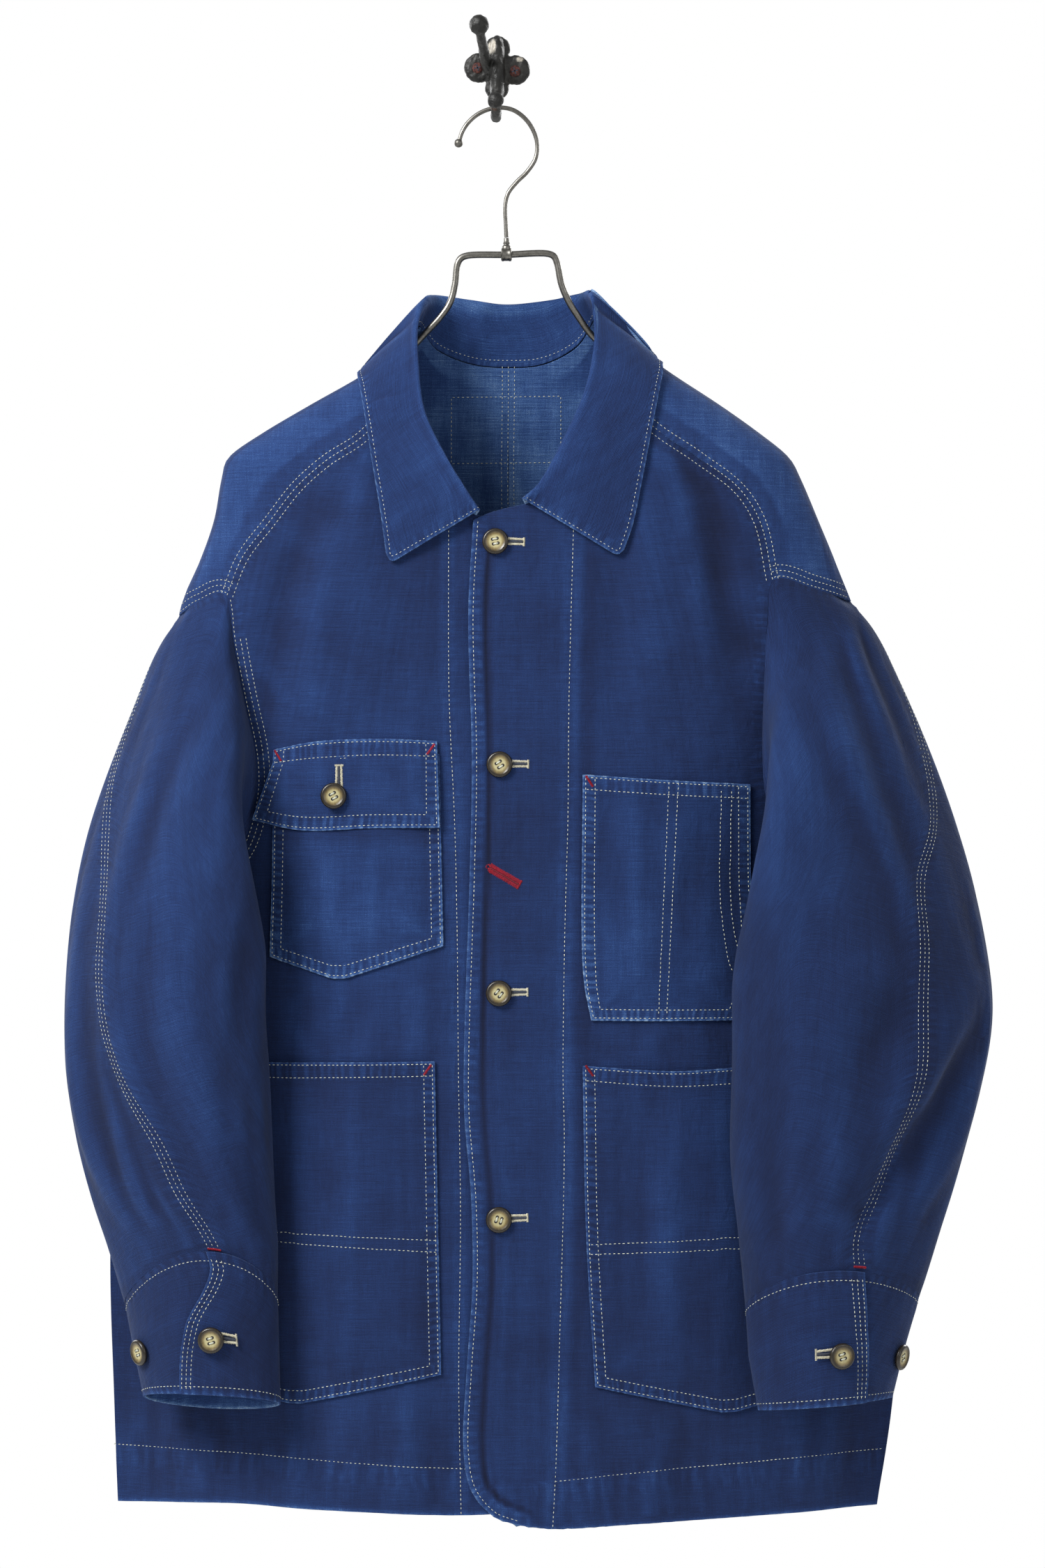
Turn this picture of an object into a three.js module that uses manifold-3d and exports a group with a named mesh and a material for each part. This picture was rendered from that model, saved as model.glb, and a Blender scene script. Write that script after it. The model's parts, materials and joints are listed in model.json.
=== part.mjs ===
// Chore jacket hanging on a wire hanger from a cast-iron wall hook.
// Millimetres. +Z up, +X to the viewer's right, the wall is the plane y = 0
// and the jacket hangs in front of it, so all of it lies at y < 0.
// "Right" and "left" in the names are the wearer's: right is at -X.
import * as THREE from 'three';
import { mergeVertices } from 'three/addons/utils/BufferGeometryUtils.js';
import Module from 'manifold-3d';

const wasm = await Module();
wasm.setup();

// ---------------------------------------------------------------- driving sizes
const CLOTH = 1.6;              // wall of the cotton canvas, doubled edges included
const SEAM_GAP = 0.35;          // between pieces that are sewn edge to edge
const LAY_GAP = 0.8;            // between a patch and the panel it lies on
const BUTTON_DIAMETER = 17.6;
const BUTTON_THICKNESS = 3.2;
const BUTTON_HOLE = 1.9;
const FRAME_WIRE = 4.6;         // hanger frame
const HOOK_WIRE = 3.0;          // hanger hook
const HANGER_Y = -55;           // plane of the hanger
const PLATE_THICKNESS = 4.5;
const SCREW_SPACING = 26.7;
const CENTRE_X = 8;             // centre back line
const PLACKET_TOP = 0.45;       // how far the top front stands proud of the common form
const PLACKET_UNDER = 2.1;      // how far the under front lies behind it

// ---------------------------------------------------------------- tables
// Horizontal sections of the body. right/left: x of the outline, mid: y of the
// side line, front/back: depth from there, n and p: fullness of the section,
// gap: half the distance between the two sheets at the side line.
const SECTIONS = [
  { z: -1016, right: -259.0, left: 259.3, mid: -43, front: 55, back: 29, n: 3.0, p: 1.30, gap: 1.9 },
  { z: -995, right: -260.0, left: 261.7, mid: -43, front: 56, back: 30, n: 3.0, p: 1.30, gap: 1.9 },
  { z: -930, right: -262.4, left: 271.6, mid: -43, front: 56, back: 30, n: 3.0, p: 1.30, gap: 1.9 },
  { z: -818, right: -265.3, left: 281.7, mid: -43, front: 57, back: 31, n: 3.0, p: 1.30, gap: 1.9 },
  { z: -727, right: -260.1, left: 279.8, mid: -43, front: 58, back: 31, n: 3.0, p: 1.28, gap: 1.9 },
  { z: -655, right: -244.7, left: 267.3, mid: -43, front: 58, back: 31, n: 3.0, p: 1.26, gap: 1.9 },
  { z: -612, right: -228.0, left: 252.7, mid: -43, front: 58, back: 31, n: 3.0, p: 1.24, gap: 1.9 },
  { z: -568, right: -209.1, left: 235.0, mid: -44, front: 57, back: 31, n: 3.0, p: 1.20, gap: 1.9 },
  { z: -520, right: -211.8, left: 236.4, mid: -46, front: 55, back: 32, n: 3.0, p: 1.10, gap: 1.6 },
  { z: -470, right: -214.8, left: 239.8, mid: -49, front: 52, back: 35, n: 3.0, p: 0.95, gap: 1.0 },
  { z: -420, right: -217.8, left: 243.3, mid: -51, front: 50, back: 37, n: 3.0, p: 0.78, gap: 0.5 },
  { z: -380, right: -217.6, left: 243.6, mid: -53, front: 48, back: 39, n: 2.9, p: 0.64, gap: 0.1 },
  { z: -350, right: -204.3, left: 233.2, mid: -54, front: 47, back: 40, n: 2.8, p: 0.56, gap: 0 },
  { z: -320, right: -193.6, left: 220.8, mid: -55, front: 46, back: 41, n: 2.7, p: 0.52, gap: 0 },
  { z: -290, right: -188.1, left: 208.0, mid: -55, front: 44, back: 40, n: 2.6, p: 0.50, gap: 0 },
  { z: -276, right: -183.2, left: 200.0, mid: -55, front: 43, back: 39, n: 2.6, p: 0.50, gap: 0 },
  { z: -260, right: -160.9, left: 180.5, mid: -55, front: 41, back: 38, n: 2.5, p: 0.50, gap: 0 },
  { z: -240, right: -127.1, left: 152.3, mid: -55, front: 38, back: 36, n: 2.5, p: 0.50, gap: 0 },
  { z: -220, right: -92.1, left: 121.6, mid: -55, front: 34, back: 34, n: 2.5, p: 0.50, gap: 0 },
  { z: -206, right: -73.8, left: 101.8, mid: -55, front: 31, back: 32, n: 2.5, p: 0.50, gap: 0 },
  { z: -197, right: -62.3, left: 90.2, mid: -55, front: 28, back: 29, n: 2.5, p: 0.50, gap: 0 },
  { z: -187, right: -53.6, left: 78.9, mid: -55, front: 24, back: 26, n: 2.5, p: 0.50, gap: 0 },
  { z: -178, right: -45.9, left: 69.8, mid: -55, front: 21, back: 24, n: 2.5, p: 0.50, gap: 0 },
];

// Largest soft folds of the body: a ridge (height > 0) or trough along a line,
// side: -1 front, 1 back.
const BODY_FOLDS = [
  { side: -1, x1: -126, z1: -320, x2: -158, z2: -462, width: 22, height: -4.0 },
  { side: -1, x1: -96, z1: -300, x2: -118, z2: -440, width: 24, height: 2.2 },
  { side: -1, x1: 142, z1: -292, x2: 168, z2: -400, width: 20, height: -4.0 },
  { side: -1, x1: 112, z1: -300, x2: 128, z2: -470, width: 26, height: 2.0 },
  { side: -1, x1: -70, z1: -930, x2: -58, z2: -1010, width: 30, height: 2.4 },
  { side: -1, x1: -150, z1: -905, x2: -168, z2: -1010, width: 30, height: -3.0 },
  { side: -1, x1: 122, z1: -915, x2: 132, z2: -1010, width: 34, height: -3.0 },
  { side: -1, x1: 205, z1: -900, x2: 212, z2: -1010, width: 26, height: 2.6 },
  { side: 1, x1: -90, z1: -420, x2: -66, z2: -1010, width: 38, height: 3.6 },
  { side: 1, x1: -150, z1: -560, x2: -170, z2: -1010, width: 34, height: -3.4 },
  { side: 1, x1: 104, z1: -430, x2: 84, z2: -1010, width: 38, height: 3.6 },
  { side: 1, x1: 172, z1: -560, x2: 186, z2: -1010, width: 34, height: -3.4 },
];

// Neck seam, roll line and outer edge of the collar, from the right front end
// round the back to the left front end. Seam: x, z on the body. Roll: x, y, z.
// Edge: x, z, lying on the body; lift is its distance from the cloth below.
const COLLAR = [
  { seamX: -13.0, seamZ: -318.8, rollX: -10.4, rollY: -106.0, rollZ: -315.0, edgeX: -72.8, edgeZ: -352.3, lift: 3.2 },
  { seamX: -26.7, seamZ: -311.3, rollX: -18.6, rollY: -106.0, rollZ: -303.7, edgeX: -77.1, edgeZ: -319.7, lift: 3.4 },
  { seamX: -42.4, seamZ: -286.4, rollX: -33.7, rollY: -104.0, rollZ: -278.9, edgeX: -82.4, edgeZ: -287.9, lift: 3.4 },
  { seamX: -51.6, seamZ: -256.0, rollX: -48.0, rollY: -97.0, rollZ: -247.0, edgeX: -87.4, edgeZ: -255.6, lift: 3.4 },
  { seamX: -55.4, seamZ: -224.4, rollX: -52.5, rollY: -86.0, rollZ: -212.0, edgeX: -91.4, edgeZ: -232.0, lift: 3.4 },
  { seamX: -56.0, seamZ: -201.0, rollX: -53.0, rollY: -70.0, rollZ: -186.0, edgeX: -93.0, edgeZ: -222.0, lift: 3.6 },
  { seamX: -53.6, seamZ: -187.0, rollX: -47.0, rollY: -54.0, rollZ: -169.5, edgeX: -89.0, edgeZ: -213.5, lift: 4.0 },
  { seamX: -42.0, seamZ: -200.5, rollX: -38.0, rollY: -34.0, rollZ: -164.4, edgeX: -62.0, edgeZ: -224.0, lift: 4.0 },
  { seamX: -18.0, seamZ: -210.0, rollX: -16.0, rollY: -26.5, rollZ: -166.6, edgeX: -26.0, edgeZ: -240.0, lift: 4.0 },
  { seamX: 7.4, seamZ: -212.2, rollX: 7.4, rollY: -24.5, rollZ: -169.4, edgeX: 7.3, edgeZ: -245.0, lift: 4.0 },
  { seamX: 32.5, seamZ: -210.0, rollX: 33.4, rollY: -26.5, rollZ: -166.8, edgeX: 41.0, edgeZ: -239.0, lift: 4.0 },
  { seamX: 56.0, seamZ: -198.0, rollX: 55.0, rollY: -35.0, rollZ: -163.2, edgeX: 79.0, edgeZ: -218.0, lift: 4.0 },
  { seamX: 70.5, seamZ: -178.8, rollX: 63.0, rollY: -54.0, rollZ: -164.6, edgeX: 106.0, edgeZ: -204.5, lift: 4.0 },
  { seamX: 73.4, seamZ: -196.0, rollX: 66.5, rollY: -70.0, rollZ: -183.0, edgeX: 112.0, edgeZ: -217.5, lift: 3.6 },
  { seamX: 72.2, seamZ: -222.0, rollX: 65.5, rollY: -86.0, rollZ: -209.0, edgeX: 110.4, edgeZ: -231.0, lift: 3.4 },
  { seamX: 69.0, seamZ: -252.0, rollX: 58.0, rollY: -97.0, rollZ: -240.0, edgeX: 105.0, edgeZ: -260.3, lift: 3.4 },
  { seamX: 58.8, seamZ: -282.0, rollX: 43.0, rollY: -104.0, rollZ: -273.3, edgeX: 98.6, edgeZ: -295.0, lift: 3.4 },
  { seamX: 39.2, seamZ: -304.5, rollX: 29.4, rollY: -106.5, rollZ: -297.0, edgeX: 92.4, edgeZ: -324.4, lift: 3.4 },
  { seamX: 20.0, seamZ: -311.5, rollX: 17.6, rollY: -107.0, rollZ: -307.5, edgeX: 84.3, edgeZ: -347.6, lift: 3.2 },
];
const SHOULDER_ROW = { right: 4, left: 14 };   // collar rows where the shoulder seams start
const CREST_ROW = { right: 6, left: 12 };        // and where the neckline meets the top of the shoulder
const CREST_STOPS = {                          // heights of the panel's columns along the shoulder
  right: [-187, -206, -232, -256, -274, -300, -340, -384.5],
  left: [-178.8, -200, -228, -254, -274, -300, -336, -374.5],
};
const TURN_STEP = 22.5;                         // the armholes are 16-sided

// Forward shoulder seam, armhole (turn: degrees round the sleeve, 0 at the top,
// 90 in front, 180 underarm), hem and front edge; x and z, y lies on the body.
const SHOULDER = {
  right: [
    { x: -55.4, z: -224.4 }, { x: -89.7, z: -264.5 }, { x: -114.9, z: -281.2 },
    { x: -134.7, z: -298.4 }, { x: -153.7, z: -322.2 }, { x: -172.2, z: -345.9 }, { x: -183.1, z: -372.4 },
  ],
  left: [
    { x: 72.2, z: -222.0 }, { x: 105.8, z: -257.5 }, { x: 136.6, z: -278.4 },
    { x: 165.0, z: -299.9 }, { x: 179.1, z: -322.3 }, { x: 187.7, z: -362.1 },
  ],
};
const ARMHOLE = {
  right: [
    { turn: 0, x: -217.4, z: -384.5 }, { turn: 20, x: -203.1, z: -375.9 }, { turn: 45, x: -183.1, z: -372.4 },
    { turn: 60, x: -178.2, z: -405.2 }, { turn: 80, x: -171.4, z: -442.2 }, { turn: 105, x: -163.5, z: -481.1 },
    { turn: 125, x: -163.6, z: -509.5 }, { turn: 145, x: -172.6, z: -540.3 }, { turn: 163, x: -190.6, z: -561.9 },
    { turn: 180, x: -209.0, z: -571.7 }, { turn: 200, x: -203.0, z: -552.8 }, { turn: 225, x: -192.0, z: -519.3 },
    { turn: 255, x: -186.0, z: -478.3 }, { turn: 285, x: -188.0, z: -439.7 }, { turn: 315, x: -197.0, z: -406.1 },
    { turn: 340, x: -208.0, z: -389.5 }, { turn: 360, x: -217.4, z: -384.5 },
  ],
  left: [
    { turn: 0, x: 243.2, z: -374.5 }, { turn: 20, x: 217.6, z: -367.4 }, { turn: 45, x: 187.7, z: -362.1 },
    { turn: 60, x: 183.7, z: -393.4 }, { turn: 80, x: 181.7, z: -433.7 }, { turn: 105, x: 180.7, z: -476.4 },
    { turn: 125, x: 182.7, z: -507.1 }, { turn: 145, x: 192.5, z: -535.6 }, { turn: 163, x: 213.2, z: -557.1 },
    { turn: 180, x: 234.0, z: -565.5 }, { turn: 200, x: 228.0, z: -546.6 }, { turn: 225, x: 217.0, z: -514.5 },
    { turn: 255, x: 211.0, z: -473.5 }, { turn: 285, x: 213.0, z: -432.5 }, { turn: 315, x: 222.0, z: -397.5 },
    { turn: 340, x: 233.0, z: -380.0 }, { turn: 360, x: 243.2, z: -374.5 },
  ],
};
const HEM = {
  right: [
    { x: 14, z: -991.5 }, { x: -23.9, z: -993.1 }, { x: -83.8, z: -991.4 },
    { x: -129.8, z: -990.2 }, { x: -176.4, z: -988.7 }, { x: -260.1, z: -992.6 },
  ],
  left: [
    { x: 14.2, z: -999.6 }, { x: 37.3, z: -1002.1 }, { x: 102.3, z: -999.4 },
    { x: 173.7, z: -996.9 }, { x: 261.2, z: -995.0 },
  ],
  back: [
    { x: -260.1, z: -992.6 }, { x: -120, z: -998 }, { x: 8, z: -1001 }, { x: 130, z: -999 }, { x: 261.2, z: -995.0 },
  ],
};
const FRONT_EDGE = {
  right: [{ x: 14, z: -319.5 }, { x: 14, z: -480 }, { x: 14, z: -720 }, { x: 14, z: -991.5 }],
  left: [
    { x: -14.9, z: -322.0 }, { x: -18.2, z: -384.9 }, { x: -15.8, z: -483.6 }, { x: -17.2, z: -558.7 },
    { x: -21.0, z: -676.1 }, { x: -21.0, z: -720.7 }, { x: -16.3, z: -779.9 }, { x: -15.4, z: -835.0 },
    { x: -19.4, z: -897.0 }, { x: -21.5, z: -948.9 }, { x: -16.4, z: -976.0 }, { x: -1.7, z: -993.4 }, { x: 14.2, z: -999.6 },
  ],
};
const PLACKET_TOP_EDGE = {
  right: [{ x: 14, z: -319.5 }, { x: 0, z: -321.2 }, { x: -8, z: -320.8 }],
  left: [{ x: -14.9, z: -322.0 }, { x: -4, z: -317.4 }, { x: 10, z: -313.6 }],
};

// Sleeve and cuff sections: outer, front, inner and back point of each ring.
// seam: where the triple-stitched sleeve seam crosses the ring, in degrees.
const SLEEVES = {
  right: [
    { o: [-225.0, -59, -399.9], f: [-170.1, -99, -469.5], i: [-211.0, -54, -572.5], b: [-219.5, -20, -480.7], seam: -22.5 },
    { o: [-240.4, -63, -440.5], f: [-175.2, -118, -483.7], i: [-190.0, -82, -588.0], b: [-238.1, -26, -506.4], seam: -14 },
    { o: [-259.1, -67, -490.5], f: [-185.6, -132, -511.6], i: [-165.6, -98, -601.2], b: [-244.2, -37, -533.6], seam: -4 },
    { o: [-274.4, -71, -538.0], f: [-196.8, -137, -548.7], i: [-157.4, -107, -612.6], b: [-247.7, -50, -571.7], seam: 14 },
    { o: [-286.2, -76, -588.6], f: [-208.2, -140, -591.3], i: [-154.4, -111, -633.5], b: [-243.5, -62, -614.3], seam: 34 },
    { o: [-291.5, -80, -639.6], f: [-214.7, -140, -640.4], i: [-153.0, -111, -668.6], b: [-237.7, -67, -655.4], seam: 42 },
    { o: [-291.8, -82, -689.6], f: [-215.6, -140, -690.0], i: [-152.1, -110, -706.2], b: [-236.1, -69, -699.5], seam: 56 },
    { o: [-284.9, -84, -737.7], f: [-211.1, -138, -736.6], i: [-150.3, -108, -746.2], b: [-232.6, -71, -744.5], seam: 74 },
    { o: [-273.9, -86, -779.1], f: [-204.8, -136, -772.5], i: [-148.6, -106, -786.2], b: [-225.8, -73, -786.0], seam: 81 },
    { o: [-261.9, -88, -814.8], f: [-198.5, -134, -795.9], i: [-147.3, -106, -819.3], b: [-216.7, -79, -820.0], seam: 87 },
    { o: [-251.3, -90, -849.5], f: [-195.0, -131, -812.0], i: [-147.0, -105, -846.4], b: [-207.0, -83, -852.0], seam: 91 },
  ],
  left: [
    { o: [252.0, -59, -388.0], f: [185.6, -99, -457.7], i: [236.5, -54, -566.5], b: [246.5, -20, -475.9], seam: -22.5 },
    { o: [268.4, -63, -423.8], f: [186.1, -119, -481.3], i: [213.0, -83, -583.5], b: [262.1, -26, -503.6], seam: -16 },
    { o: [287.0, -67, -469.1], f: [193.6, -134, -509.3], i: [182.3, -99, -598.8], b: [268.7, -37, -528.8], seam: -6 },
    { o: [303.8, -71, -516.6], f: [204.3, -140, -545.0], i: [169.4, -109, -610.1], b: [275.7, -50, -566.9], seam: 8 },
    { o: [319.0, -75, -564.9], f: [215.2, -144, -587.9], i: [163.1, -113, -631.1], b: [277.3, -60, -609.6], seam: 36 },
    { o: [331.0, -78, -614.1], f: [224.3, -146, -635.5], i: [160.8, -113, -666.2], b: [272.5, -65, -652.2], seam: 47 },
    { o: [335.5, -80, -658.5], f: [228.9, -146, -682.7], i: [159.9, -112, -708.4], b: [267.6, -67, -699.6], seam: 52 },
    { o: [328.2, -82, -705.7], f: [227.3, -143, -726.9], i: [160.0, -110, -753.0], b: [261.2, -69, -744.6], seam: 55 },
    { o: [314.3, -84, -756.6], f: [224.3, -140, -769.3], i: [163.3, -108, -793.0], b: [253.0, -71, -787.2], seam: 60 },
    { o: [299.0, -86, -807.0], f: [222.2, -137, -802.1], i: [166.3, -107, -826.2], b: [243.3, -78, -825.8], seam: 70 },
    { o: [286.5, -88, -845.5], f: [221.4, -134, -825.1], i: [168.3, -106, -852.8], b: [238.4, -82, -854.0], seam: 68 },
  ],
};
const UNDERARM_SWING = [5, 24, 38, 42]; // degrees the underarm is turned back, ring by ring
const UNDERARM_SEAM = 247.5;       // inner seam of the sleeve, degrees
const CUFFS = {
  right: [
    { o: [-250.8, -90, -851.0], f: [-195.0, -131.3, -813.6], i: [-146.9, -105, -848.0], b: [-206.6, -83.2, -853.6] },
    { o: [-245.5, -92, -880.5], f: [-195.0, -133, -858.2], i: [-145.7, -106, -881.0], b: [-199.8, -86, -883.5] },
    { o: [-238.4, -94, -913.8], f: [-189.1, -131, -907.7], i: [-144.8, -105, -917.3], b: [-192.5, -87, -922.5] },
  ],
  left: [
    { o: [286.2, -88, -847.1], f: [221.4, -134.2, -826.7], i: [168.3, -106, -854.4], b: [238.2, -82.2, -855.6] },
    { o: [277.0, -90, -879.8], f: [220.7, -134, -870.6], i: [170.3, -106, -885.5], b: [233.4, -85, -885.8] },
    { o: [268.3, -92, -914.9], f: [220.4, -132, -915.5], i: [176.5, -105, -921.4], b: [226.1, -86, -921.4] },
  ],
};
const CUFF_SLIT = { right: { start: 92, overlap: 16 }, left: { start: 66, overlap: 16 } };

// Largest soft folds of the sleeves, along the ring number (row) and the turn.
const SLEEVE_FOLDS = {
  right: [
    { r1: 1.2, t1: 60, r2: 6.5, t2: 96, width: 15, height: 3.0 },
    { r1: 2.4, t1: 118, r2: 8.8, t2: 124, width: 14, height: -4.0 },
    { r1: 3.5, t1: 28, r2: 8.0, t2: 40, width: 13, height: -3.4 },
    { r1: 4.5, t1: 290, r2: 9.0, t2: 280, width: 18, height: -3.5 },
  ],
  left: [
    { r1: 1.2, t1: 64, r2: 6.0, t2: 92, width: 15, height: 3.0 },
    { r1: 2.2, t1: 122, r2: 8.6, t2: 112, width: 14, height: -4.0 },
    { r1: 6.0, t1: 8, r2: 9.4, t2: 52, width: 13, height: -5.0 },
    { r1: 4.5, t1: 290, r2: 9.0, t2: 280, width: 18, height: -3.5 },
  ],
};

// Patches: corner tables (x, z) from the lower inner corner, counter-clockwise
// as four sides: bottom, right, top, left.
const PATCHES = {
  chest_pocket_right: {
    side: 'right', layer: 1, columns: 6, rows: 5,
    bottom: [{ x: -153.6, z: -616.9 }, { x: -106.8, z: -632.8 }, { x: -35.6, z: -609.1 }],
    right: [{ x: -35.6, z: -609.1 }, { x: -38.4, z: -480.0 }],
    top: [{ x: -150.7, z: -484.0 }, { x: -90, z: -480.5 }, { x: -38.4, z: -480.0 }],
    left: [{ x: -153.6, z: -616.9 }, { x: -150.7, z: -484.0 }],
  },
  chest_flap_right: {
    side: 'right', layer: 2.25, columns: 6, rows: 3,
    bottom: [{ x: -166.0, z: -524.1 }, { x: -133.2, z: -531.1 }, { x: -84, z: -529.6 }, { x: -38.0, z: -529.2 }],
    right: [{ x: -38.0, z: -529.2 }, { x: -39.8, z: -471.3 }],
    top: [{ x: -151.0, z: -477.0 }, { x: -124, z: -471.9 }, { x: -82, z: -469.8 }, { x: -39.8, z: -471.3 }],
    left: [{ x: -166.0, z: -524.1 }, { x: -151.4, z: -486.0 }, { x: -151.0, z: -477.0 }],
  },
  chest_pocket_left: {
    side: 'left', layer: 1, columns: 5, rows: 6,
    bottom: [{ x: 64.6, z: -659.1 }, { x: 112, z: -659.6 }, { x: 162.5, z: -659.6 }],
    right: [{ x: 162.5, z: -659.6 }, { x: 174.0, z: -628.0 }, { x: 173.0, z: -560.0 }, { x: 172.5, z: -500.6 }],
    top: [{ x: 58.9, z: -493.9 }, { x: 112, z: -497.6 }, { x: 172.5, z: -500.6 }],
    left: [{ x: 64.6, z: -659.1 }, { x: 59.4, z: -629.5 }, { x: 58.9, z: -493.9 }],
  },
  lower_pocket_right: {
    side: 'right', layer: 1, columns: 8, rows: 8,
    bottom: [{ x: -226.0, z: -903.6 }, { x: -135.4, z: -919.5 }, { x: -37.1, z: -898.2 }],
    right: [{ x: -37.1, z: -898.2 }, { x: -41.3, z: -687.3 }],
    top: [{ x: -228.0, z: -689.0 }, { x: -130, z: -688.4 }, { x: -41.3, z: -687.3 }],
    left: [{ x: -226.0, z: -903.6 }, { x: -228.0, z: -689.0 }],
  },
  lower_pocket_left: {
    side: 'left', layer: 1, columns: 8, rows: 8,
    bottom: [{ x: 67.4, z: -906.3 }, { x: 157.4, z: -926.2 }, { x: 244.0, z: -904.2 }],
    right: [{ x: 244.0, z: -904.2 }, { x: 248.0, z: -693.5 }],
    top: [{ x: 58.9, z: -690.1 }, { x: 120.0, z: -694.0 }, { x: 170, z: -692.0 }, { x: 248.0, z: -693.5 }],
    left: [{ x: 67.4, z: -906.3 }, { x: 61.3, z: -805.1 }, { x: 58.9, z: -690.1 }],
  },
};

const FRONT_BUTTONS = [
  { name: 'front_button_1', x: -0.3, z: -336.5 }, { name: 'front_button_2', x: 2.5, z: -486.8 },
  { name: 'front_button_3', x: 2.0, z: -641.0 }, { name: 'front_button_4', x: 2.0, z: -793.6 },
];
const FLAP_BUTTON = { x: -109.5, z: -508.0 };
const CUFF_BUTTONS = [
  { name: 'cuff_button_right_1', side: 'right', x: -197.5, z: -890.5, turn: 95 },
  { name: 'cuff_button_right_2', side: 'right', x: -236, z: -899.5, turn: 25 },
  { name: 'cuff_button_left_1', side: 'left', x: 230.9, z: -897.5, turn: 80 },
  { name: 'cuff_button_left_2', side: 'left', x: 272, z: -900, turn: 14 },
];

// Wire paths in the hanger plane.
const HOOK_PATH = [
  { x: -25.4, z: -59.9 }, { x: -23.5, z: -53.7 }, { x: -19.2, z: -47.0 }, { x: -11.1, z: -40.4 }, { x: 0.3, z: -36.8 },
  { x: 11.8, z: -38.5 }, { x: 21.8, z: -46.6 }, { x: 27.5, z: -58.5 }, { x: 27.1, z: -70.9 }, { x: 21.3, z: -80.5 },
  { x: 13.7, z: -88.1 }, { x: 8.0, z: -95.7 }, { x: 6.2, z: -104.3 }, { x: 6.5, z: -115.8 }, { x: 7.0, z: -125.5 },
];
const FRAME_PATH = [
  { x: -168.0, z: -275.5 }, { x: -134.7, z: -254.0 }, { x: -92.7, z: -229.4 }, { x: -72.7, z: -214.2 }, { x: -58.4, z: -201.7 },
  { x: -48.4, z: -191.1 }, { x: -37.8, z: -179.7 }, { x: -31.6, z: -170.2 }, { x: -28.3, z: -157.8 }, { x: -26.6, z: -144.0 },
  { x: -24.4, z: -140.2 }, { x: -20.2, z: -138.2 }, { x: 7.0, z: -137.5 }, { x: 35.2, z: -136.8 }, { x: 39.6, z: -138.7 },
  { x: 41.6, z: -143.0 }, { x: 44.7, z: -157.8 }, { x: 50.0, z: -170.2 }, { x: 56.5, z: -180.4 }, { x: 64.4, z: -191.4 },
  { x: 76.2, z: -202.6 }, { x: 89.6, z: -211.5 }, { x: 111.1, z: -224.4 }, { x: 137.3, z: -240.6 }, { x: 166.0, z: -260.6 }, { x: 184.0, z: -275.5 },
];

// ---------------------------------------------------------------- helpers
const V = (x, y, z) => new THREE.Vector3(x, y, z);
const lerp = (a, b, t) => a + (b - a) * t;
const smooth = (a, b, x) => { const t = Math.min(1, Math.max(0, (x - a) / (b - a))); return t * t * (3 - 2 * t); };

// Smooth value of one column of a table whose rows are in order of another.
function read(rows, key, column, at) {
  let i = 0;
  while (i < rows.length - 2 && rows[i + 1][key] < at) i += 1;
  const slope = (k) => {
    const a = rows[Math.max(0, k - 1)], b = rows[Math.min(rows.length - 1, k + 1)];
    return (b[column] - a[column]) / (b[key] - a[key]);
  };
  const a = rows[i], b = rows[i + 1], span = b[key] - a[key];
  const t = Math.min(1, Math.max(0, (at - a[key]) / span)), t2 = t * t, t3 = t2 * t;
  return (2 * t3 - 3 * t2 + 1) * a[column] + (t3 - 2 * t2 + t) * span * slope(i)
    + (-2 * t3 + 3 * t2) * b[column] + (t3 - t2) * span * slope(i + 1);
}

function foldHeight(folds, x, z) {
  let sum = 0;
  for (const f of folds) {
    const dx = f.x2 - f.x1, dz = f.z2 - f.z1, len2 = dx * dx + dz * dz;
    const raw = ((x - f.x1) * dx + (z - f.z1) * dz) / len2, t = Math.min(1, Math.max(0, raw));
    const away = Math.hypot(x - f.x1 - t * dx, z - f.z1 - t * dz);
    sum += f.height * Math.exp(-((away / f.width) ** 2)) * (0.35 + 0.65 * Math.sin(Math.PI * Math.min(0.75, Math.max(0.12, t))));
  }
  return sum;
}

// The body as two sheets: y of the outer face in front and at the back.
function section(z) {
  const s = {};
  for (const column of ['right', 'left', 'mid', 'front', 'back', 'n', 'p', 'gap']) s[column] = read(SECTIONS, 'z', column, z);
  return s;
}
function bodyY(x, z, side) {
  const s = section(z), centre = (s.right + s.left) / 2, half = (s.left - s.right) / 2;
  const t = Math.min(1, Math.abs(x - centre) / half), depth = Math.pow(1 - Math.pow(t, s.n), s.p);
  const fade = smooth(0, 0.35, depth);
  const fold = fade * foldHeight(BODY_FOLDS.filter((f) => f.side === side), x, z);
  return side < 0 ? s.mid - s.gap - s.front * depth - fold : s.mid + s.gap + s.back * depth + fold;
}
const edgeX = (z, name) => read(SECTIONS, 'z', name, z);
// the top front lies over the under front near the centre
function frontY(x, z, name) {
  const y = bodyY(x, z, -1);
  return name === 'left' ? y - PLACKET_TOP * (1 - smooth(40, 90, x)) : y + PLACKET_UNDER * smooth(-62, -26, x);
}

const curveOf = (rows) => new THREE.CatmullRomCurve3(rows.map((r) => V(r.x, 0, r.z)), false, 'centripetal');
const along = (curve) => (t) => curve.getPointAt(Math.min(1, Math.max(0, t)));
// Rows run from side to side; hold says how near the top and bottom edges
// their shapes are felt.
function patchPoint(bottom, top, left, right, u, v, hold = 1) {
  const b = bottom(u), t = top(u), l = left(v), r = right(v), up = Math.pow(v, hold), down = Math.pow(1 - v, hold);
  const b0 = bottom(0), b1 = bottom(1), t0 = top(0), t1 = top(1);
  const mix = (k) => lerp(l[k], r[k], u) + down * (b[k] - lerp(b0[k], b1[k], u)) + up * (t[k] - lerp(t0[k], t1[k], u));
  return V(mix('x'), 0, mix('z'));
}

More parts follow.
